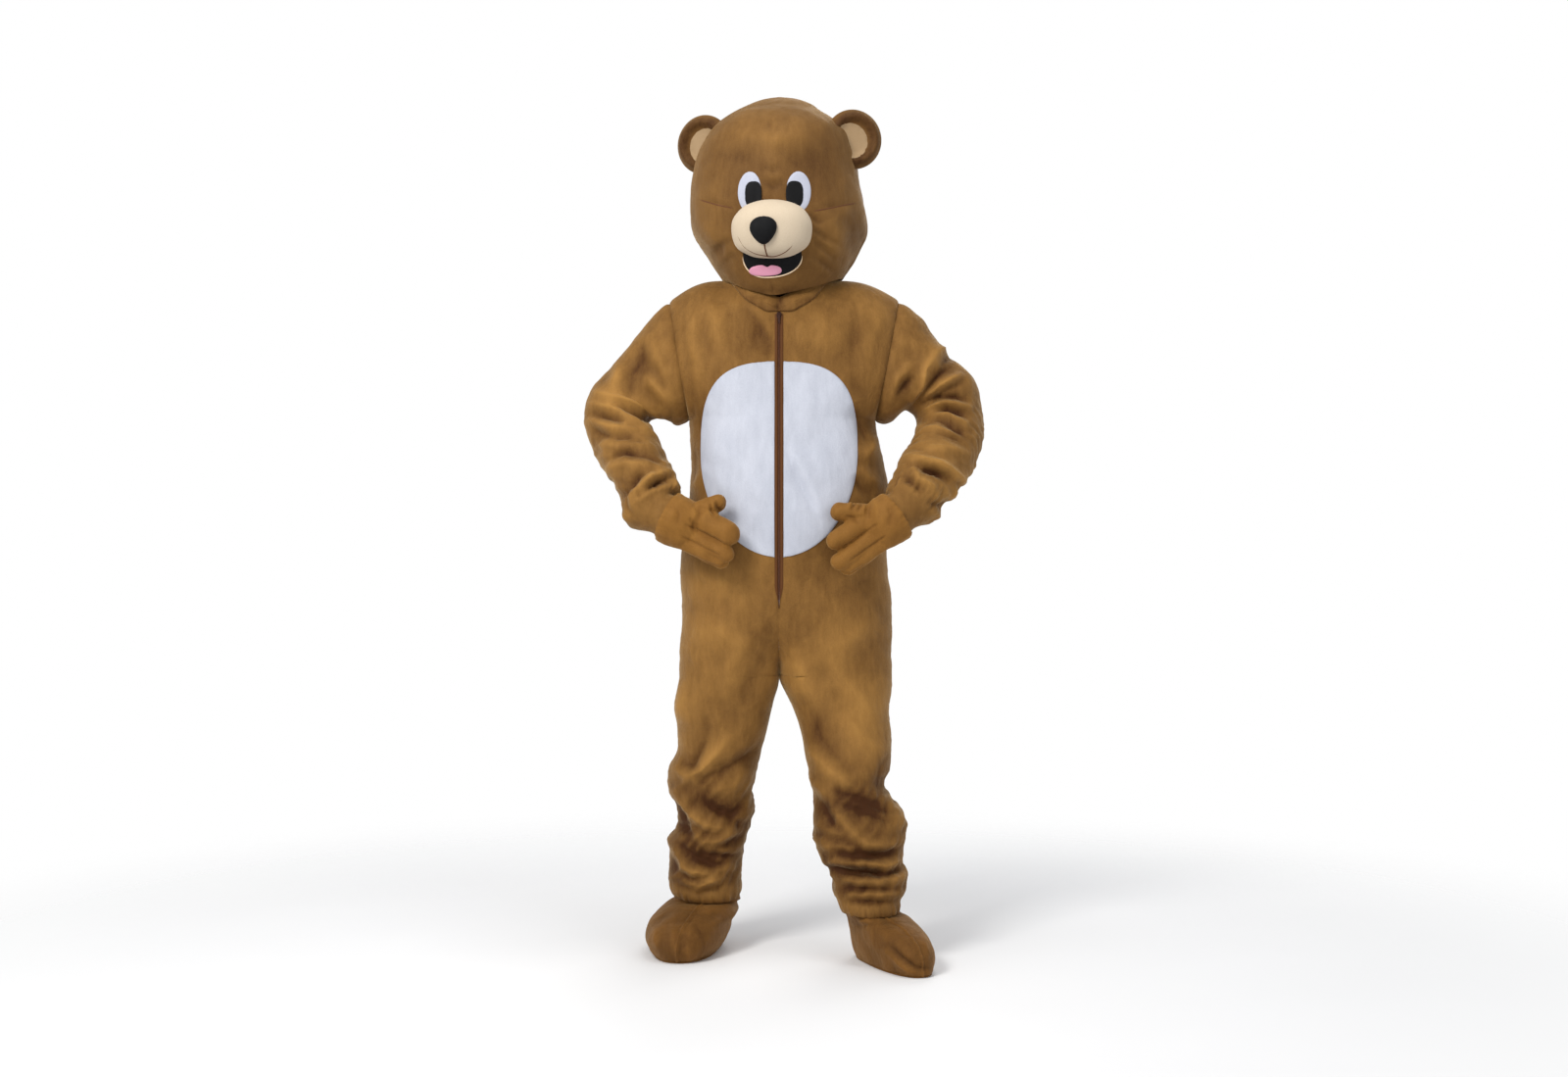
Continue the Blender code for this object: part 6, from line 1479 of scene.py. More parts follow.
def line_on(name, point_at, x, height, radius, lift, material):
    """A line of thread or binding laid along points of a surface, as a closed tube with tapered ends."""
    facing = surface_normal(face_point if point_at is face_cloth else point_at, x, height)
    points = head_place(point_at(x, height) + facing * lift)
    run = unit(np.gradient(points, axis=0))
    out = head_place(facing)
    aside = unit(np.cross(run, out))
    turn = np.linspace(0, 2 * math.pi, LINE_SIDES, endpoint=False)
    taper = np.minimum(1, 0.15 + 8 * np.minimum(np.linspace(0, 1, len(x)), np.linspace(1, 0, len(x))))
    c, s = np.cos(turn)[None, :, None], np.sin(turn)[None, :, None]
    ring = c * aside[:, None] + LINE_FLATTENED * s * out[:, None]
    grid = points[:, None] + radius * taper[:, None, None] * ring
    faces = grid_faces(len(x), LINE_SIDES, True)
    last = (len(x) - 1) * LINE_SIDES
    faces += [list(range(LINE_SIDES - 1, -1, -1)), list(range(last, last + LINE_SIDES))]
    return piece(name, grid, faces, material)


muzzle = patch(
    "muzzle_fleece",
    face_point,
    MUZZLE,
    oval(MUZZLE, 2.25),
    SEAM,
    muzzle_top,
    CREAM_FLEECE,
    "cream_fleece",
    under=MUZZLE_WALL,
    rings=40,
    sides=144,
)
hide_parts("muzzle")
nose_lift = SEAM * 1.3
nose = patch(
    "nose_felt", muzzle_point, NOSE, nose_outline, nose_lift, nose_top, BLACK_FELT, "black_felt", rings=24
)
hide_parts("nose")
for side in (RIGHT, LEFT):
    for name, shape, power, lift, material, slot, thickness in (
        ("eye", EYE, 2.0, SEAM, WHITE_FELT, "white_plush", FELT),
        ("pupil", PUPIL, 2.8, SEAM * 2 + FELT, BLACK_FELT, "black_felt", 0.0015),
    ):
        placed = {**shape, "x": EYES_MIDDLE + side * shape["x"]}
        name = f"{name}_{SIDE_NAME[side]}"
        outline, top = oval(shape, power), felt_top(thickness)
        made = patch(f"{name}_felt", face_cloth, placed, outline, lift, top, material, slot)
        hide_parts(name)

MOUTH_FELT, TONGUE_FELT = 0.0015, 0.0025
columns = np.sin(np.linspace(-1, 1, 61) * math.pi / 2) * MOUTH_HALF_WIDTH
muzzle_edge = MOUTH_TOP + 0 * columns
corner = 1.4855  # the height of the mouth's corners
aside = columns - MOUTH_LOWEST
aside = aside / np.where(aside < 0, MOUTH_HALF_WIDTH + MOUTH_LOWEST, MOUTH_HALF_WIDTH - MOUTH_LOWEST)
lip = corner - (corner - MOUTH_FOOT) * np.sqrt(np.clip(1 - np.abs(aside) ** 2.2, 0, 1))
height = mix(muzzle_edge + 0.006, lip, np.linspace(0, 1, 17)[:, None])
x = columns[None] + 0 * height
base, outward = face_cloth(x, height), surface_normal(face_point, x, height)
outer, inner = (head_place(base + outward * lift) for lift in (SEAM + MOUTH_FELT, SEAM))
mouth = cloth("mouth_felt", outer, inner, BLACK_FELT, "black_felt")
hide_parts("mouth")
LIP_BINDING = pile("lip_binding", (206, 176, 140), (236, 214, 184), (255, 236, 210), sheen=0.2, fibre=0.0008)
line_on("lip_binding", face_cloth, columns * 1.02, lip - 0.0008, 0.0016, 0.0016, LIP_BINDING)


def tongue_outline(turn):
    """A low oval with a notch in the middle of its top."""
    x, y = oval(TONGUE, 2.4)(turn)
    notch = 0.0045 * np.exp(-(((x - 0.004) / 0.0055) ** 2)) * (y > 0)
    return x, y - notch


lift, top = SEAM * 4 + MOUTH_FELT, felt_top(TONGUE_FELT)
tongue = patch("tongue_felt", face_cloth, TONGUE, tongue_outline, lift, top, PINK_FELT, "pink_felt")
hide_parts("tongue")

SMILE = [(-0.0560, 1.5280), (-0.0480, 1.5150), (-0.0320, 1.5015), (-0.0085, 1.4920)]
SMILE += [(0.0069, 1.4905), (0.0250, 1.4995), (0.0430, 1.5160)]
share = np.linspace(0, 1, 24)
nose_foot = NOSE["height"] - NOSE["half_height"]
middle_x, middle_height = NOSE["x"] + 0.0035 * share, mix(nose_foot + 0.003, 1.4900, share)
line_on("mouth_line_middle", muzzle_point, middle_x, middle_height, 0.0014, 0.0005, THREAD)
smile_x, smile_height = np.array(SMILE).T
across = np.linspace(smile_x[0], smile_x[-1], 61)
height = smooth(across, smile_x, smile_height)
line_on("mouth_line_smile", muzzle_point, across, height, 0.0013, 0.0006, THREAD)
# Dark thread lines laid along the cheek darts: painted shade standing for the shaded grooves of the sewn
# darts.
DARTS = {RIGHT: ((-0.158, 1.6105), (-0.080, 1.583)), LEFT: ((0.172, 1.604), (0.086, 1.5745))}
for side, (far, near) in DARTS.items():
    share = np.linspace(0, 1, 40)
    x, height = mix(far[0], near[0], share), mix(far[1], near[1], share) - 0.003 * np.sin(math.pi * share)
    line_on(f"cheek_dart_{SIDE_NAME[side]}", face_cloth, x, height, 0.0011, 0.0002, THREAD)


# ---- Ears ----------------------------------------------------------------------------------------
# Each ear is a foam-filled disc of the head's plush with a rolled edge, dished in front round a beige
# inner ear, and sewn to the head at an angle.

BEIGE_PLUSH = pile(
    "beige_plush", (124, 98, 66), (178, 152, 118), (255, 232, 196),
    sheen=0.35, fibre=0.0015, brushed=0.4, bump=0.5, tone=16.0,
)
EAR = {
    RIGHT: (-0.1610, -0.030, 1.745),
    LEFT: (0.1640, -0.050, 1.747),
    "half_width": 0.0625,
    "half_height": 0.0640,
}
EAR_TURN, EAR_LEAN = 18, 6  # degrees, how far it faces outward and leans from upright
EAR_DISH, EAR_ROLL, EAR_BACK = 0.004, 0.014, 0.016
EAR_INNER = 0.002
EAR_SHADE = 0.008  # painted shade: how much darker the dish behind its rolled edge is coloured
EAR_INNER_SHARE = 0.60
EAR_INNER_SHIFT = (-0.007, -0.006)  # toward the head and down, so that the rim is widest outside


def ear_front(share):
    """How far the ear's front stands before its middle plane: a rolled edge round a shallow dish."""
    roll = EAR_ROLL * np.exp(-(((share - 0.76) / 0.2) ** 2))
    return (EAR_DISH + roll) * np.sqrt(np.clip(1 - share**8, 0, 1))


def ear_back(share):
    return EAR_BACK * np.sqrt(np.clip(1 - share**3, 0, 1))


def ear_place(side, points):
    """From an ear's own frame (across, before, up) to the head."""
    lean = math.radians(EAR_LEAN) * side
    c, s = math.cos(lean), math.sin(lean)
    leaned = points @ np.array([[c, 0, -s], [0, 1, 0], [s, 0, c]])
    return head_place(turned_z(leaned, side * EAR_TURN) + EAR[side])


def ear_rings(shares, before, seed):
    """Rings of an ear, each a share of its half-sizes, unevenly stuffed."""
    share = np.asarray(shares, float)[:, None]
    turn = np.linspace(0, 2 * math.pi, 96, endpoint=False)
    x, z = EAR["half_width"] * np.cos(turn), EAR["half_height"] * np.sin(turn)
    flat = np.stack([share * x, 0 * share * x, share * z], axis=-1)
    soft = unevenness(flat, seed, 0.04, 0.0009)
    soft = soft * np.clip(share * 1.3, 0, 1) * np.sqrt(np.clip(1.02 - share, 0, 1))
    tucks = 0.0007 * np.sin(14 * turn + np.sin(3 * turn + seed)) * np.exp(-(((share - 0.62) / 0.07) ** 2))
    flat[..., 1] = before(share) + soft * np.sign(before(share) + 1e-9) + tucks
    return flat


front_shares = np.sin(np.linspace(0, math.pi / 2, 34))
back_shares = front_shares[::-1]
inner_shares = np.linspace(0, EAR_INNER_SHARE, 16)
for side in (RIGHT, LEFT):
    front = ear_rings(front_shares[:-1], lambda share: -ear_front(share), 91 + side)
    back = ear_rings(back_shares, ear_back, 94 + side)
    grid = ear_place(side, np.concatenate([front, back]))
    name = f"ear_{SIDE_NAME[side]}"
    shares = np.concatenate([front_shares[:-1], 1 + 0 * back_shares])[:, None] + 0 * grid[..., 0]
    # Painted shade: the dish inside the rolled edge is coloured darker.
    dish_shade = -EAR_SHADE * np.exp(-(((shares - 0.72) / 0.20) ** 4)) * (shares < 1)
    ear = piece(f"{name}_plush", grid, grid_faces(*grid.shape[:2], True), HEAD_PLUSH, dish_shade)
    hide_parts(name)
    inner_top = ear_rings(inner_shares, lambda share: -ear_front(share), 91 + side)
    inner_top += (side * EAR_INNER_SHIFT[0], 0, EAR_INNER_SHIFT[1])
    across, upward = inner_top[..., 0] / EAR["half_width"], inner_top[..., 2] / EAR["half_height"]
    inner_top[..., 1] -= ear_front(np.hypot(across, upward)) - ear_front(inner_shares[:, None])
    drawn = EAR_INNER * (1 - 0.8 * (inner_shares / EAR_INNER_SHARE) ** 8)
    outer, inner = inner_top.copy(), inner_top.copy()
    outer[..., 1] -= SEAM + drawn[:, None]
    inner[..., 1] -= SEAM * 0.5
    name = f"ear_inner_{SIDE_NAME[side]}"
    walls = (ear_place(side, layer) for layer in (outer, inner))
    made = cloth(f"{name}_plush", *walls, BEIGE_PLUSH, "beige_plush", closed=True)
    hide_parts(name)


# ---- Gloves --------------------------------------------------------------------------------------
# Each glove is two pieces of fleece sewn together round three thick fingers and a thumb, lightly padded,
# with a full round cuff that swallows the sleeve's end. The hands lie on the belly.

GLOVE_PLUSH = pile(
    "glove_plush", (80, 46, 12), (160, 113, 50), (255, 216, 152),
    sheen=0.35, fibre=0.0018, brushed=0.5, bump=0.7, crumple=0.4,
)
KNUCKLES = 0.060
GLOVE_SEAM, GLOVE_SEAM_REACH = 0.0018, 0.0022  # how deep the side seam draws the fleece in, and how far
CUFF_ROLL, CUFF_ROLL_REACH = 0.0012, 0.006
GROOVE, GROOVE_REACH = 0.0030, 0.0024  # how deep the stitching between fingers is, and how far it draws
GROOVE_FROM, GROOVE_TO = 0.050, 0.150  # along the hand from the cuff
FINGERS = {  # across at the root and tip, through at the tip, reach along, radius
    RIGHT: [
        (0.0270, 0.0250, 0.004, 0.161, 0.0262),
        (-0.0125, -0.0135, 0, 0.168, 0.0190),
        (-0.0315, -0.0305, -0.012, 0.161, 0.0175),
    ],
    LEFT: [
        (0.0260, 0.0300, 0.003, 0.161, 0.0200),
        (-0.0105, -0.0130, 0, 0.177, 0.0198),
        (-0.0315, -0.0315, -0.012, 0.167, 0.0170),
    ],
}
THUMB = {
    RIGHT: {"root": (0.050, 0.036, 0), "tip": (0.096, 0.086, -0.004), "radius": 0.0188},
    LEFT: {"root": (0.058, 0.044, 0), "tip": (0.112, 0.085, -0.004), "radius": 0.0203},
}
GLOVE_BALL = [  # along, half-width, half-depth
    (-0.012, 0.0470, 0.0440),
    (-0.004, 0.0515, 0.0480),
    (0.010, 0.0545, 0.0500),
    (0.025, 0.0550, 0.0490),
    (0.042, 0.0535, 0.0430),
    (0.056, 0.0490, 0.0340),
    (0.068, 0.0400, 0.0240),
    (0.078, 0.0280, 0.0140),
    (0.084, 0.0120, 0.0060),
    (0.086, 0.0, 0.0),
]
GLOVE_VOXEL = 0.0024
FINGER_GROOVES = {RIGHT: (0.0036, -0.0228), LEFT: (0.0080, -0.0224)}  # across the hand
# Creases of the gloves, by the same columns as the suit's folds.
GLOVE_FOLDS = {
    RIGHT: [
        (-7, 4.5, 0.5, (-132, 972), (-128, 955), (-118, 944)),
        (-5, 4, 0.4, (-144, 968), (-140, 950), (-132, 938)),
        (-5, 5, 0, (-166, 962), (-164, 945), (-170, 925)),
        (-4.5, 5, 0.3, (-185, 936), (-176, 922), (-176, 905)),
        (4, 6, 0, (-178, 958), (-175, 940), (-182, 915)),
        (-3.5, 6, 0, (-215, 962), (-205, 940), (-208, 915)),
    ],
    LEFT: [
        (-6, 4.5, 0.4, (162, 978), (156, 962), (150, 950)),
        (-5.5, 4.5, 0, (176, 984), (172, 964), (162, 946)),
        (-4.5, 5, 0.3, (190, 968), (184, 950), (186, 930)),
        (-4.5, 4.5, 0, (138, 938), (155, 934), (170, 922)),
        (4, 7, 0, (196, 980), (205, 950), (200, 920)),
        (-3.5, 6, 0, (225, 965), (232, 940), (225, 915)),
    ],
}
GLOVE_BACK_FOLDS = [
    (-4, 5, 0.3, (-190, 960), (-170, 935), (-165, 905)),
    (-4, 5, 0.3, (200, 962), (185, 935), (180, 905)),
]


def capsule(side, root, tip, radius, turns=28):
    """A finger's closed round form with domed ends, slightly fuller in its middle."""
    root, tip = np.array(root, float), np.array(tip, float)
    axis = unit(tip - root)
    length = np.linalg.norm(tip - root) - radius
    one = unit(np.cross(axis, (0, 0, 1)))
    two = np.cross(axis, one)
    turn = np.linspace(0, 2 * math.pi, turns, endpoint=False)
    ring = np.cos(turn)[:, None] * one + np.sin(turn)[:, None] * two
    dome = np.linspace(0, math.pi / 2, 9)
    rows = [(-math.cos(a) * radius * 0.6, math.sin(a)) for a in dome[:-1]]
    rows += [(length * s, 1 + 0.05 * math.sin(math.pi * s)) for s in np.linspace(0, 1, 9)]
    rows += [(length + math.sin(a) * radius, math.cos(a)) for a in dome[1:]]
    grid = np.array([root + axis * along + ring * radius * width for along, width in rows])
    return hand_points(side, grid)


def blob(grid):
    """The points and faces of a closed form from a grid whose end rows are poles or flat ends."""
    rows, columns = grid.shape[:2]
    faces = grid_faces(rows, columns, True)
    faces += [list(range(columns - 1, -1, -1)), list(range((rows - 1) * columns, rows * columns))]
    return grid.reshape(-1, 3), faces


def mesh_object(points, faces):
    data = bpy.data.meshes.new("unfinished")
    data.from_pydata(points.tolist(), [], faces)
    made = bpy.data.objects.new("unfinished", data)
    bpy.context.scene.collection.objects.link(made)
    return made


def finished(made):
    """The points and faces of an object with its modifiers applied; the object itself is dropped."""
    result = bpy.data.meshes.new_from_object(made.evaluated_get(bpy.context.evaluated_depsgraph_get()))
    points = np.zeros(len(result.vertices) * 3)
    result.vertices.foreach_get("co", points)
    faces = [list(face.vertices) for face in result.polygons]
    bpy.data.objects.remove(made)
    bpy.data.meshes.remove(result)
    return points.reshape(-1, 3), faces


def glove_form(side):
    """The glove's outside as one evenly meshed form."""
    turn = np.linspace(0, 2 * math.pi, 48, endpoint=False)
    rows = [np.stack([a + 0 * turn, w * np.cos(turn), d * np.sin(turn)], axis=-1) for a, w, d in GLOVE_BALL]
    bodies = [blob(hand_points(side, np.array(rows)))]
    for root, tip, bend, reach, radius in FINGERS[side]:
        bodies.append(blob(capsule(side, (KNUCKLES, root, 0), (reach, tip, bend), radius)))
    bodies.append(blob(capsule(side, **THUMB[side])))
    made = mesh_object(*joined(bodies))
    remesh = made.modifiers.new("even", "REMESH")
    remesh.mode, remesh.voxel_size = "VOXEL", GLOVE_VOXEL
    softened = made.modifiers.new("softened", "SMOOTH")
    softened.factor, softened.iterations = 0.5, 5
    return finished(made)


def vertex_normals(points, faces):
    """Unit normals at each point of a mesh, out of it."""
    mesh = bpy.data.meshes.new("unfinished")
    mesh.from_pydata(points.tolist(), [], faces)
    found = np.zeros(len(points) * 3)
    mesh.vertex_normals.foreach_get("vector", found)
    bpy.data.meshes.remove(mesh)
    return found.reshape(-1, 3)


def open_shell(points, faces, thickness):
    """A wall inside an open mesh, closed along its open edges."""
    mesh = bmesh.new()
    inner = points - vertex_normals(points, faces) * thickness
    verts = [mesh.verts.new(p) for p in np.concatenate([points, inner])]
    count = len(points)
    edges = {}
    for face in faces:
        mesh.faces.new([verts[i] for i in face])
        mesh.faces.new([verts[i + count] for i in reversed(face)])
        for a, b in zip(face, face[1:] + face[:1]):
            key = (min(a, b), max(a, b))
            edges.setdefault(key, []).append((a, b))
    for uses in edges.values():
        if len(uses) == 1:
            a, b = uses[0]
            mesh.faces.new((verts[b], verts[a], verts[a + count], verts[b + count]))
    mesh.verts.index_update()
    points = np.array([vertex.co for vertex in mesh.verts])
    faces = [[vertex.index for vertex in face.verts] for face in mesh.faces]
    mesh.free()
    return points, faces


for side in (RIGHT, LEFT):
    points, faces = glove_form(side)
    axes = np.array(hand_frame(side))
    local = (points - np.array(GLOVE_PLACE[side]["cuff"])) @ axes.T
    keep = local[:, 0] > 0.0
    faces = [face for face in faces if all(keep[i] for i in face)]
    used = sorted({i for face in faces for i in face})
    renumbered = {old: new for new, old in enumerate(used)}
    points, local = points[used], local[used]
    faces = [[renumbered[i] for i in face] for face in faces]
    outward = vertex_normals(points, faces)
    own = ease((0.2 - outward[:, 1]) / 0.4)
    relief = own * fold_relief(points[:, 0], points[:, 2], GLOVE_FOLDS[side])
    relief += (1 - own) * fold_relief(points[:, 0], points[:, 2], GLOVE_BACK_FOLDS)
    relief += unevenness(points, 103 + side, 0.035, 0.0008)
    seam = np.exp(-((local[:, 2] / GLOVE_SEAM_REACH) ** 2))
    relief -= GLOVE_SEAM * seam * ease((local[:, 0] - 0.004) / 0.01)
    relief += CUFF_ROLL * np.exp(-(((local[:, 0] - CUFF_ROLL_REACH) / CUFF_ROLL_REACH) ** 2))
    for between in FINGER_GROOVES[side]:
        groove = np.exp(-(((local[:, 1] - between) / GROOVE_REACH) ** 2))
        groove *= ease((local[:, 0] - GROOVE_FROM) / 0.014) * ease((GROOVE_TO - local[:, 0]) / 0.02)
        relief -= GROOVE * groove
    around = np.arctan2(local[:, 2], local[:, 1]) * 0.055
    relief += gathers(around, np.exp(-np.clip(local[:, 0], 0, 1) / 0.012), 107 + side, 0.022, 0.0010)
    points = points + outward * relief[:, None]
    shell_points, shell_faces = open_shell(points, faces, GLOVE_WALL)
    name = f"glove_{SIDE_NAME[side]}"
    made = piece(f"{name}_plush", shell_points, shell_faces, GLOVE_PLUSH, np.tile(relief, 2))
    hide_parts(f"{name}_back", f"{name}_palm")


# ---- Foot covers ---------------------------------------------------------------------------------
# Each foot cover is two uppers of plush, sewn together over the toe, instep and heel and to a thin
# flat sole. The plush is coloured darker than the suit's, partly its own darker brown and partly painted
# shade where less light reaches the feet. The slack upper bulges over the sole, and its top goes up inside
# the trouser leg.

# Partly the feet's own darker brown and partly painted shade where less light reaches the feet.
DARK_SHADED_PLUSH = pile(
    "dark_brown_plush", (46, 24, 4), (136, 92, 40), (255, 208, 142),
    sheen=0.25, fibre=0.0017, brushed=0.8, bump=0.9, crumple=0.9,
)
FOOT_PLACE = {
    RIGHT: {"ankle": (-0.159, 0.045), "turn": 5, "aside": -0.037, "ankle_half_width": 0.0720, "slack": 0.022},
    LEFT: {"ankle": (0.194, -0.116), "turn": -20, "aside": 0.030, "ankle_half_width": 0.0605, "slack": 0.009},
}
FOOT_HALF_WIDTHS = {RIGHT: (0.056, 0.070), LEFT: (0.050, 0.056)}  # at the heel and at the ball
INSTEP_SLACK = {RIGHT: 0.014, LEFT: 0.0}  # how far the upper hangs out over the inside of the foot
FOOT_TOE, FOOT_HEEL = 0.204, 0.082
FOOT_DOME = 0.098
ANKLE_FRONT, ANKLE_BACK, ANKLE_TOP = 0.068, 0.066, 0.160
SOLE, SOLE_ROUND = 0.004, 0.0008
SOLE_RINGS = ((0, 0), (0.6, 0), (0.985, 0), (1, SOLE_ROUND))  # shares of its outline, and heights
SOLE_RINGS += ((1, SOLE - SOLE_ROUND), (0.985, SOLE), (0, SOLE))
FOOT_FOLDS = {
    RIGHT: [
        (-4, 4.5, 0, (-213, 34), (-205, 22), (-196, 12)),
        (4, 6, 0.3, (-225, 44), (-212, 30), (-200, 26)),
        (-4, 5, 0, (-192, 46), (-205, 34), (-212, 22)),
        (5, 8, 0, (-230, 78), (-220, 60), (-222, 40)),
        (-4, 7, 0, (-180, 80), (-165, 62), (-150, 50)),
        (4, 8, 0, (-255, 66), (-262, 50), (-258, 30)),
    ],
    LEFT: [
        (-8, 6, 0.4, (222, 62), (250, 40), (278, 22), (318, 18)),
        (6, 7, 0, (215, 52), (240, 30), (275, 10)),
        (5, 8, 0, (165, 90), (190, 104), (222, 116)),
        (-4.5, 6, 0, (160, 76), (180, 88), (205, 100)),
        (4, 7, 0, (290, 80), (300, 60), (310, 40)),
    ],
}
FOOT_BACK_FOLDS = [
    (-4.5, 6, 0.3, (-240, 60), (-190, 52), (-140, 62)),
    (-4.5, 6, 0.3, (150, 62), (190, 50), (240, 60)),
    (4, 8, 0, (-235, 35), (-190, 30), (-140, 36)),
]


def foot_place(side, points):
    x, y = FOOT_PLACE[side]["ankle"]
    return turned_z(points, -FOOT_PLACE[side]["turn"]) + (x, y, 0)


def sole_outline(side, turn):
    """The sole's edge from the ankle's middle: turn 0 at the toe, a quarter turn at the left."""
    forward = np.cos(turn)
    half_width = mix(*FOOT_HALF_WIDTHS[side], ease((forward + 0.9) / 1.4))
    reach = np.where(forward > 0, FOOT_TOE, FOOT_HEEL)
    x = half_width * np.sign(np.sin(turn)) * np.abs(np.sin(turn)) ** 0.87
    y = -reach * np.sign(forward) * np.abs(forward) ** np.where(forward > 0, 0.80, 0.87)
    return x + FOOT_PLACE[side]["aside"], y


def upper_points(side, turn, height):
    """A foot cover's form: a bulging dome from the sole's edge up to the ankle, then straight up."""
    edge_x, edge_y = sole_outline(side, turn)
    ankle_x = FOOT_PLACE[side]["ankle_half_width"] * np.sin(turn)
    ankle_y = -np.where(np.cos(turn) > 0, ANKLE_FRONT, ANKLE_BACK) * np.cos(turn)
    share = np.clip((height - SOLE) / FOOT_DOME, 0, 1)
    spread = np.clip(1 - share**2.6, 0, 1) ** 0.62
    bulge = FOOT_PLACE[side]["slack"] * np.sin(math.pi * share**0.85)
    inside = np.clip(-side * np.sin(turn), 0, 1) ** 0.7 * np.exp(-(((height - 0.082) / 0.015) ** 2))
    x = mix(ankle_x, edge_x, spread) + bulge * np.sin(turn) - side * INSTEP_SLACK[side] * inside
    y = mix(ankle_y, edge_y, spread) - bulge * np.cos(turn)
    return np.stack([x, y, height + 0 * turn], axis=-1)


dome = np.sin(np.linspace(0, math.pi / 2, 46)) ** 0.9
UPPER_HEIGHTS = SOLE + SEAM + np.concatenate([FOOT_DOME * dome, np.linspace(FOOT_DOME, ANKLE_TOP, 10)[1:]])
UPPER_COLUMNS = 144
UPPER_MIDDLE = (-0.04, 0.03)
for side in (RIGHT, LEFT):
    turn = np.linspace(0, 2 * math.pi, UPPER_COLUMNS + 1)[None] + np.zeros((len(UPPER_HEIGHTS), 1))
    grid = upper_points(side, turn, UPPER_HEIGHTS[:, None])
    away = grid - (FOOT_PLACE[side]["aside"], *UPPER_MIDDLE)
    outward = normals(grid[:, :-1], away[:, :-1], closed=True)
    outward = np.concatenate([outward, outward[:, :1]], axis=1)
    placed, facing = foot_place(side, grid), foot_place(side, outward) - foot_place(side, 0 * outward)
    own = ease((0.2 - facing[..., 1]) / 0.4)
    relief = own * fold_relief(placed[..., 0], placed[..., 2], FOOT_FOLDS[side])
    relief += (1 - own) * fold_relief(placed[..., 0], placed[..., 2], FOOT_BACK_FOLDS)
    relief += unevenness(placed, 121 + side, 0.06, 0.0012)
    seam_line = np.abs(np.sin(turn)) * np.linalg.norm(grid[..., :2], axis=-1)
    relief += 0.0022 * np.exp(-np.abs(seam_line / 0.003))
    relief -= 0.0012 * np.exp(-(((seam_line - 0.007) / 0.004) ** 2))
    down = UPPER_HEIGHTS[:, None] + 0 * turn
    relief += gathers(down, np.exp(-seam_line / 0.014), 125 + side, 0.015, 0.0013)
    around = np.cumsum(np.linalg.norm(np.diff(grid, axis=1, prepend=grid[:, :1]), axis=-1), axis=1)
    to_sole = down - SOLE
    relief += gathers(around, np.exp(-to_sole / 0.012), 127 + side, 0.020, 0.0014) * ease(to_sole / 0.006)
    relief *= ease((0.112 - down) / 0.012)
    outer = placed + facing * relief[..., None]
    inner = outer - PLUSH * facing
    half = UPPER_COLUMNS // 2
    step = foot_place(side, np.array([SEAM / 2, 0, 0])) - foot_place(side, np.zeros(3))
    for half_name, columns, sign in (("left", slice(0, half + 1), 1), ("right", slice(half, None), -1)):
        name = f"foot_{SIDE_NAME[side]}_{half_name}"
        walls = [layer[:, columns] + sign * step for layer in (outer, inner)]
        made = cloth(f"{name}_plush", *walls, DARK_SHADED_PLUSH, "dark_brown_plush", crease_shade=relief[:, columns])
        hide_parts(name)
    turn = np.linspace(0, 2 * math.pi, 120, endpoint=False)
    edge_x, edge_y = sole_outline(side, turn)
    middle = np.array([FOOT_PLACE[side]["aside"], -0.05])
    rings = []
    for share, level in SOLE_RINGS:
        x, y = middle[0] + share * (edge_x - middle[0]), middle[1] + share * (edge_y - middle[1])
        rings.append(np.stack([x, y, level + 0 * turn], axis=-1))
    rings = foot_place(side, np.array(rings))
    name = f"sole_{SIDE_NAME[side]}"
    made = piece(f"{name}_plush", rings, grid_faces(len(rings), 120, True), DARK_SHADED_PLUSH)
    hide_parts(name)


# ---- Floor, lights and camera --------------------------------------------------------------------
# The costume stands on a round pale floor that fades into a white studio, in soft light from large screens.

FLOOR = 0.0005 + HOLD_HEIGHT  # how far below the shoulders
FLOOR_REACH = 2.6
floor_material = bpy.data.materials.new("studio_floor")
floor_material.use_nodes = True
nodes, links = floor_material.node_tree.nodes, floor_material.node_tree.links
floor_shader = nodes["Principled BSDF"]
floor_shader.inputs["Roughness"].default_value = 0.8
floor_shader.inputs["Specular IOR Level"].default_value = 0.1
FLOOR_NODES = ("TexCoord", "TexNoise", "ValToRGB", "TexGradient", "Mapping", "ValToRGB")
place, mottled, tone, fade, shrunk, edge = (nodes.new(f"ShaderNode{kind}") for kind in FLOOR_NODES)
mottled.inputs["Scale"].default_value = 1.5
tone.color_ramp.elements[0].color = (0.90, 0.90, 0.90, 1)
tone.color_ramp.elements[1].color = (0.94, 0.94, 0.94, 1)
fade.gradient_type = "SPHERICAL"
shrunk.inputs["Scale"].default_value = (1 / FLOOR_REACH,) * 3
edge.color_ramp.interpolation = "EASE"
edge.color_ramp.elements[0].position = 0.08
edge.color_ramp.elements[1].position = 0.70
links.new(place.outputs["Object"], mottled.inputs["Vector"])
links.new(mottled.outputs["Fac"], tone.inputs["Fac"])
links.new(tone.outputs["Color"], floor_shader.inputs["Base Color"])
links.new(place.outputs["Object"], shrunk.inputs["Vector"])
links.new(shrunk.outputs["Vector"], fade.inputs["Vector"])
links.new(fade.outputs["Fac"], edge.inputs["Fac"])
links.new(edge.outputs["Color"], floor_shader.inputs["Alpha"])
data = bpy.data.meshes.new("floor")
turn = np.linspace(0, 2 * math.pi, 64, endpoint=False)
rim = np.stack([FLOOR_REACH * np.cos(turn), FLOOR_REACH * np.sin(turn), 0 * turn], axis=-1)
data.from_pydata(rim.tolist(), [], [list(range(64))])
data.materials.append(floor_material)
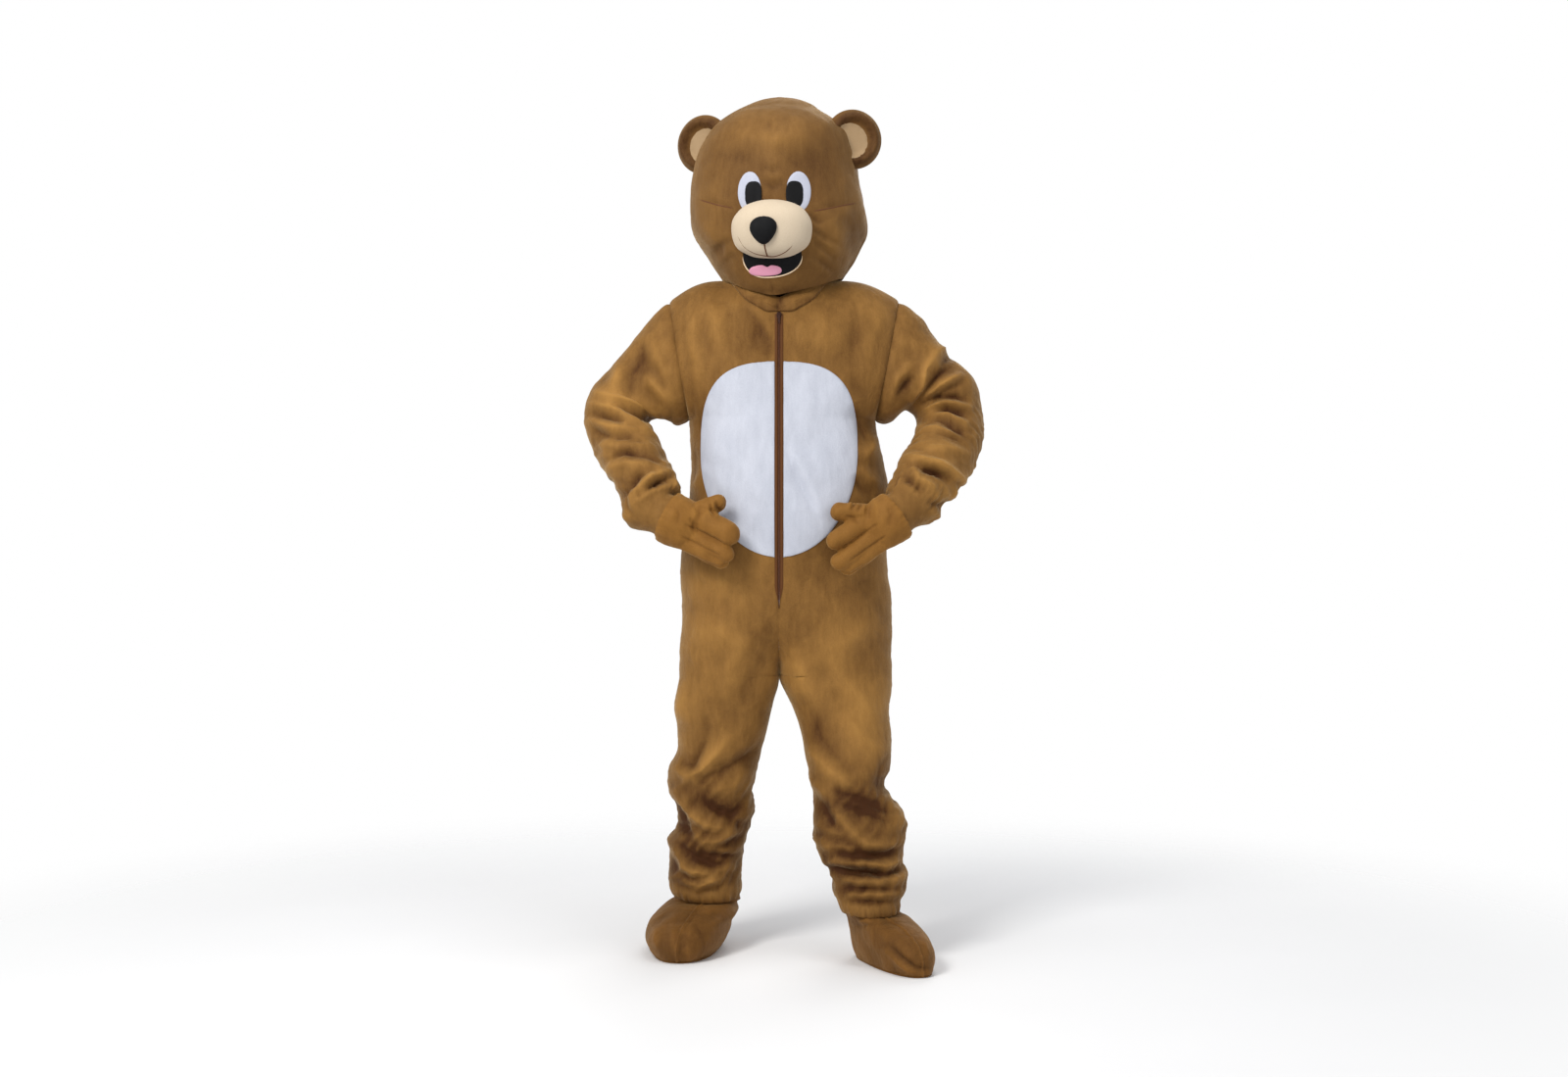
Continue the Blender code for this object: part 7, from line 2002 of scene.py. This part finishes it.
floor = bpy.data.objects.new("floor", data)
floor.location = (0, 0, -FLOOR)
bpy.context.scene.collection.objects.link(floor)

# The studio is brightest level with the costume and dimmer overhead and underfoot.
world = bpy.data.worlds.new("studio")
world.use_nodes = True
nodes, links = world.node_tree.nodes, world.node_tree.links
place, split, ramp = (nodes.new(f"ShaderNode{kind}") for kind in ("TexCoord", "SeparateXYZ", "ValToRGB"))
steepness = nodes.new("ShaderNodeMath")
steepness.operation = "ABSOLUTE"
ramp.color_ramp.elements[0].position = 0.30
ramp.color_ramp.elements[0].color = (1, 1, 1, 1)
ramp.color_ramp.elements[1].position = 0.50
ramp.color_ramp.elements[1].color = (0.36, 0.37, 0.39, 1)
links.new(place.outputs["Generated"], split.inputs["Vector"])
links.new(split.outputs["Z"], steepness.inputs[0])
links.new(steepness.outputs[0], ramp.inputs["Fac"])
links.new(ramp.outputs["Color"], nodes["Background"].inputs["Color"])
nodes["Background"].inputs["Strength"].default_value = 1.0
bpy.context.scene.world = world


def soft_light(name, place, aim, size, power, tint=(1, 1, 1)):
    """A large square light screen at a place, aimed at a point."""
    data = bpy.data.lights.new(name, "AREA")
    data.size, data.energy, data.color = size, power, tint
    made = bpy.data.objects.new(name, data)
    made.location = place
    made.rotation_euler = (Vector(aim) - Vector(place)).to_track_quat("-Z", "Y").to_euler()
    bpy.context.scene.collection.objects.link(made)


CHEST_POINT = (0, 0, -0.35)
soft_light("key_screen", (-1.5, -2.4, 1.3), CHEST_POINT, 1.0, 76, (1, 0.985, 0.96))
soft_light("fill_screen", (2.6, -2.8, 0.8), CHEST_POINT, 1.8, 10, (0.97, 0.98, 1))
soft_light("top_screen", (0.2, -0.6, 2.2), (0, 0, 0), 1.2, 20)
soft_light("back_screen", (0.8, 3.0, 1.4), CHEST_POINT, 1.8, 40)

FOCAL_PIXELS, PICTURE_WIDTH, SENSOR_WIDTH = 2113, 1600, 36
CAMERA_HEIGHT = 0.892
camera_data = bpy.data.cameras.new("camera")
camera_data.sensor_width = SENSOR_WIDTH
camera_data.lens = FOCAL_PIXELS / PICTURE_WIDTH * SENSOR_WIDTH
camera = bpy.data.objects.new("camera", camera_data)
camera.location = (0.0106, -4.5, CAMERA_HEIGHT - HOLD_HEIGHT)
camera.rotation_euler = (math.pi / 2, 0, 0)
bpy.context.scene.collection.objects.link(camera)
bpy.context.scene.camera = camera
bpy.context.scene.view_settings.view_transform = "Standard"
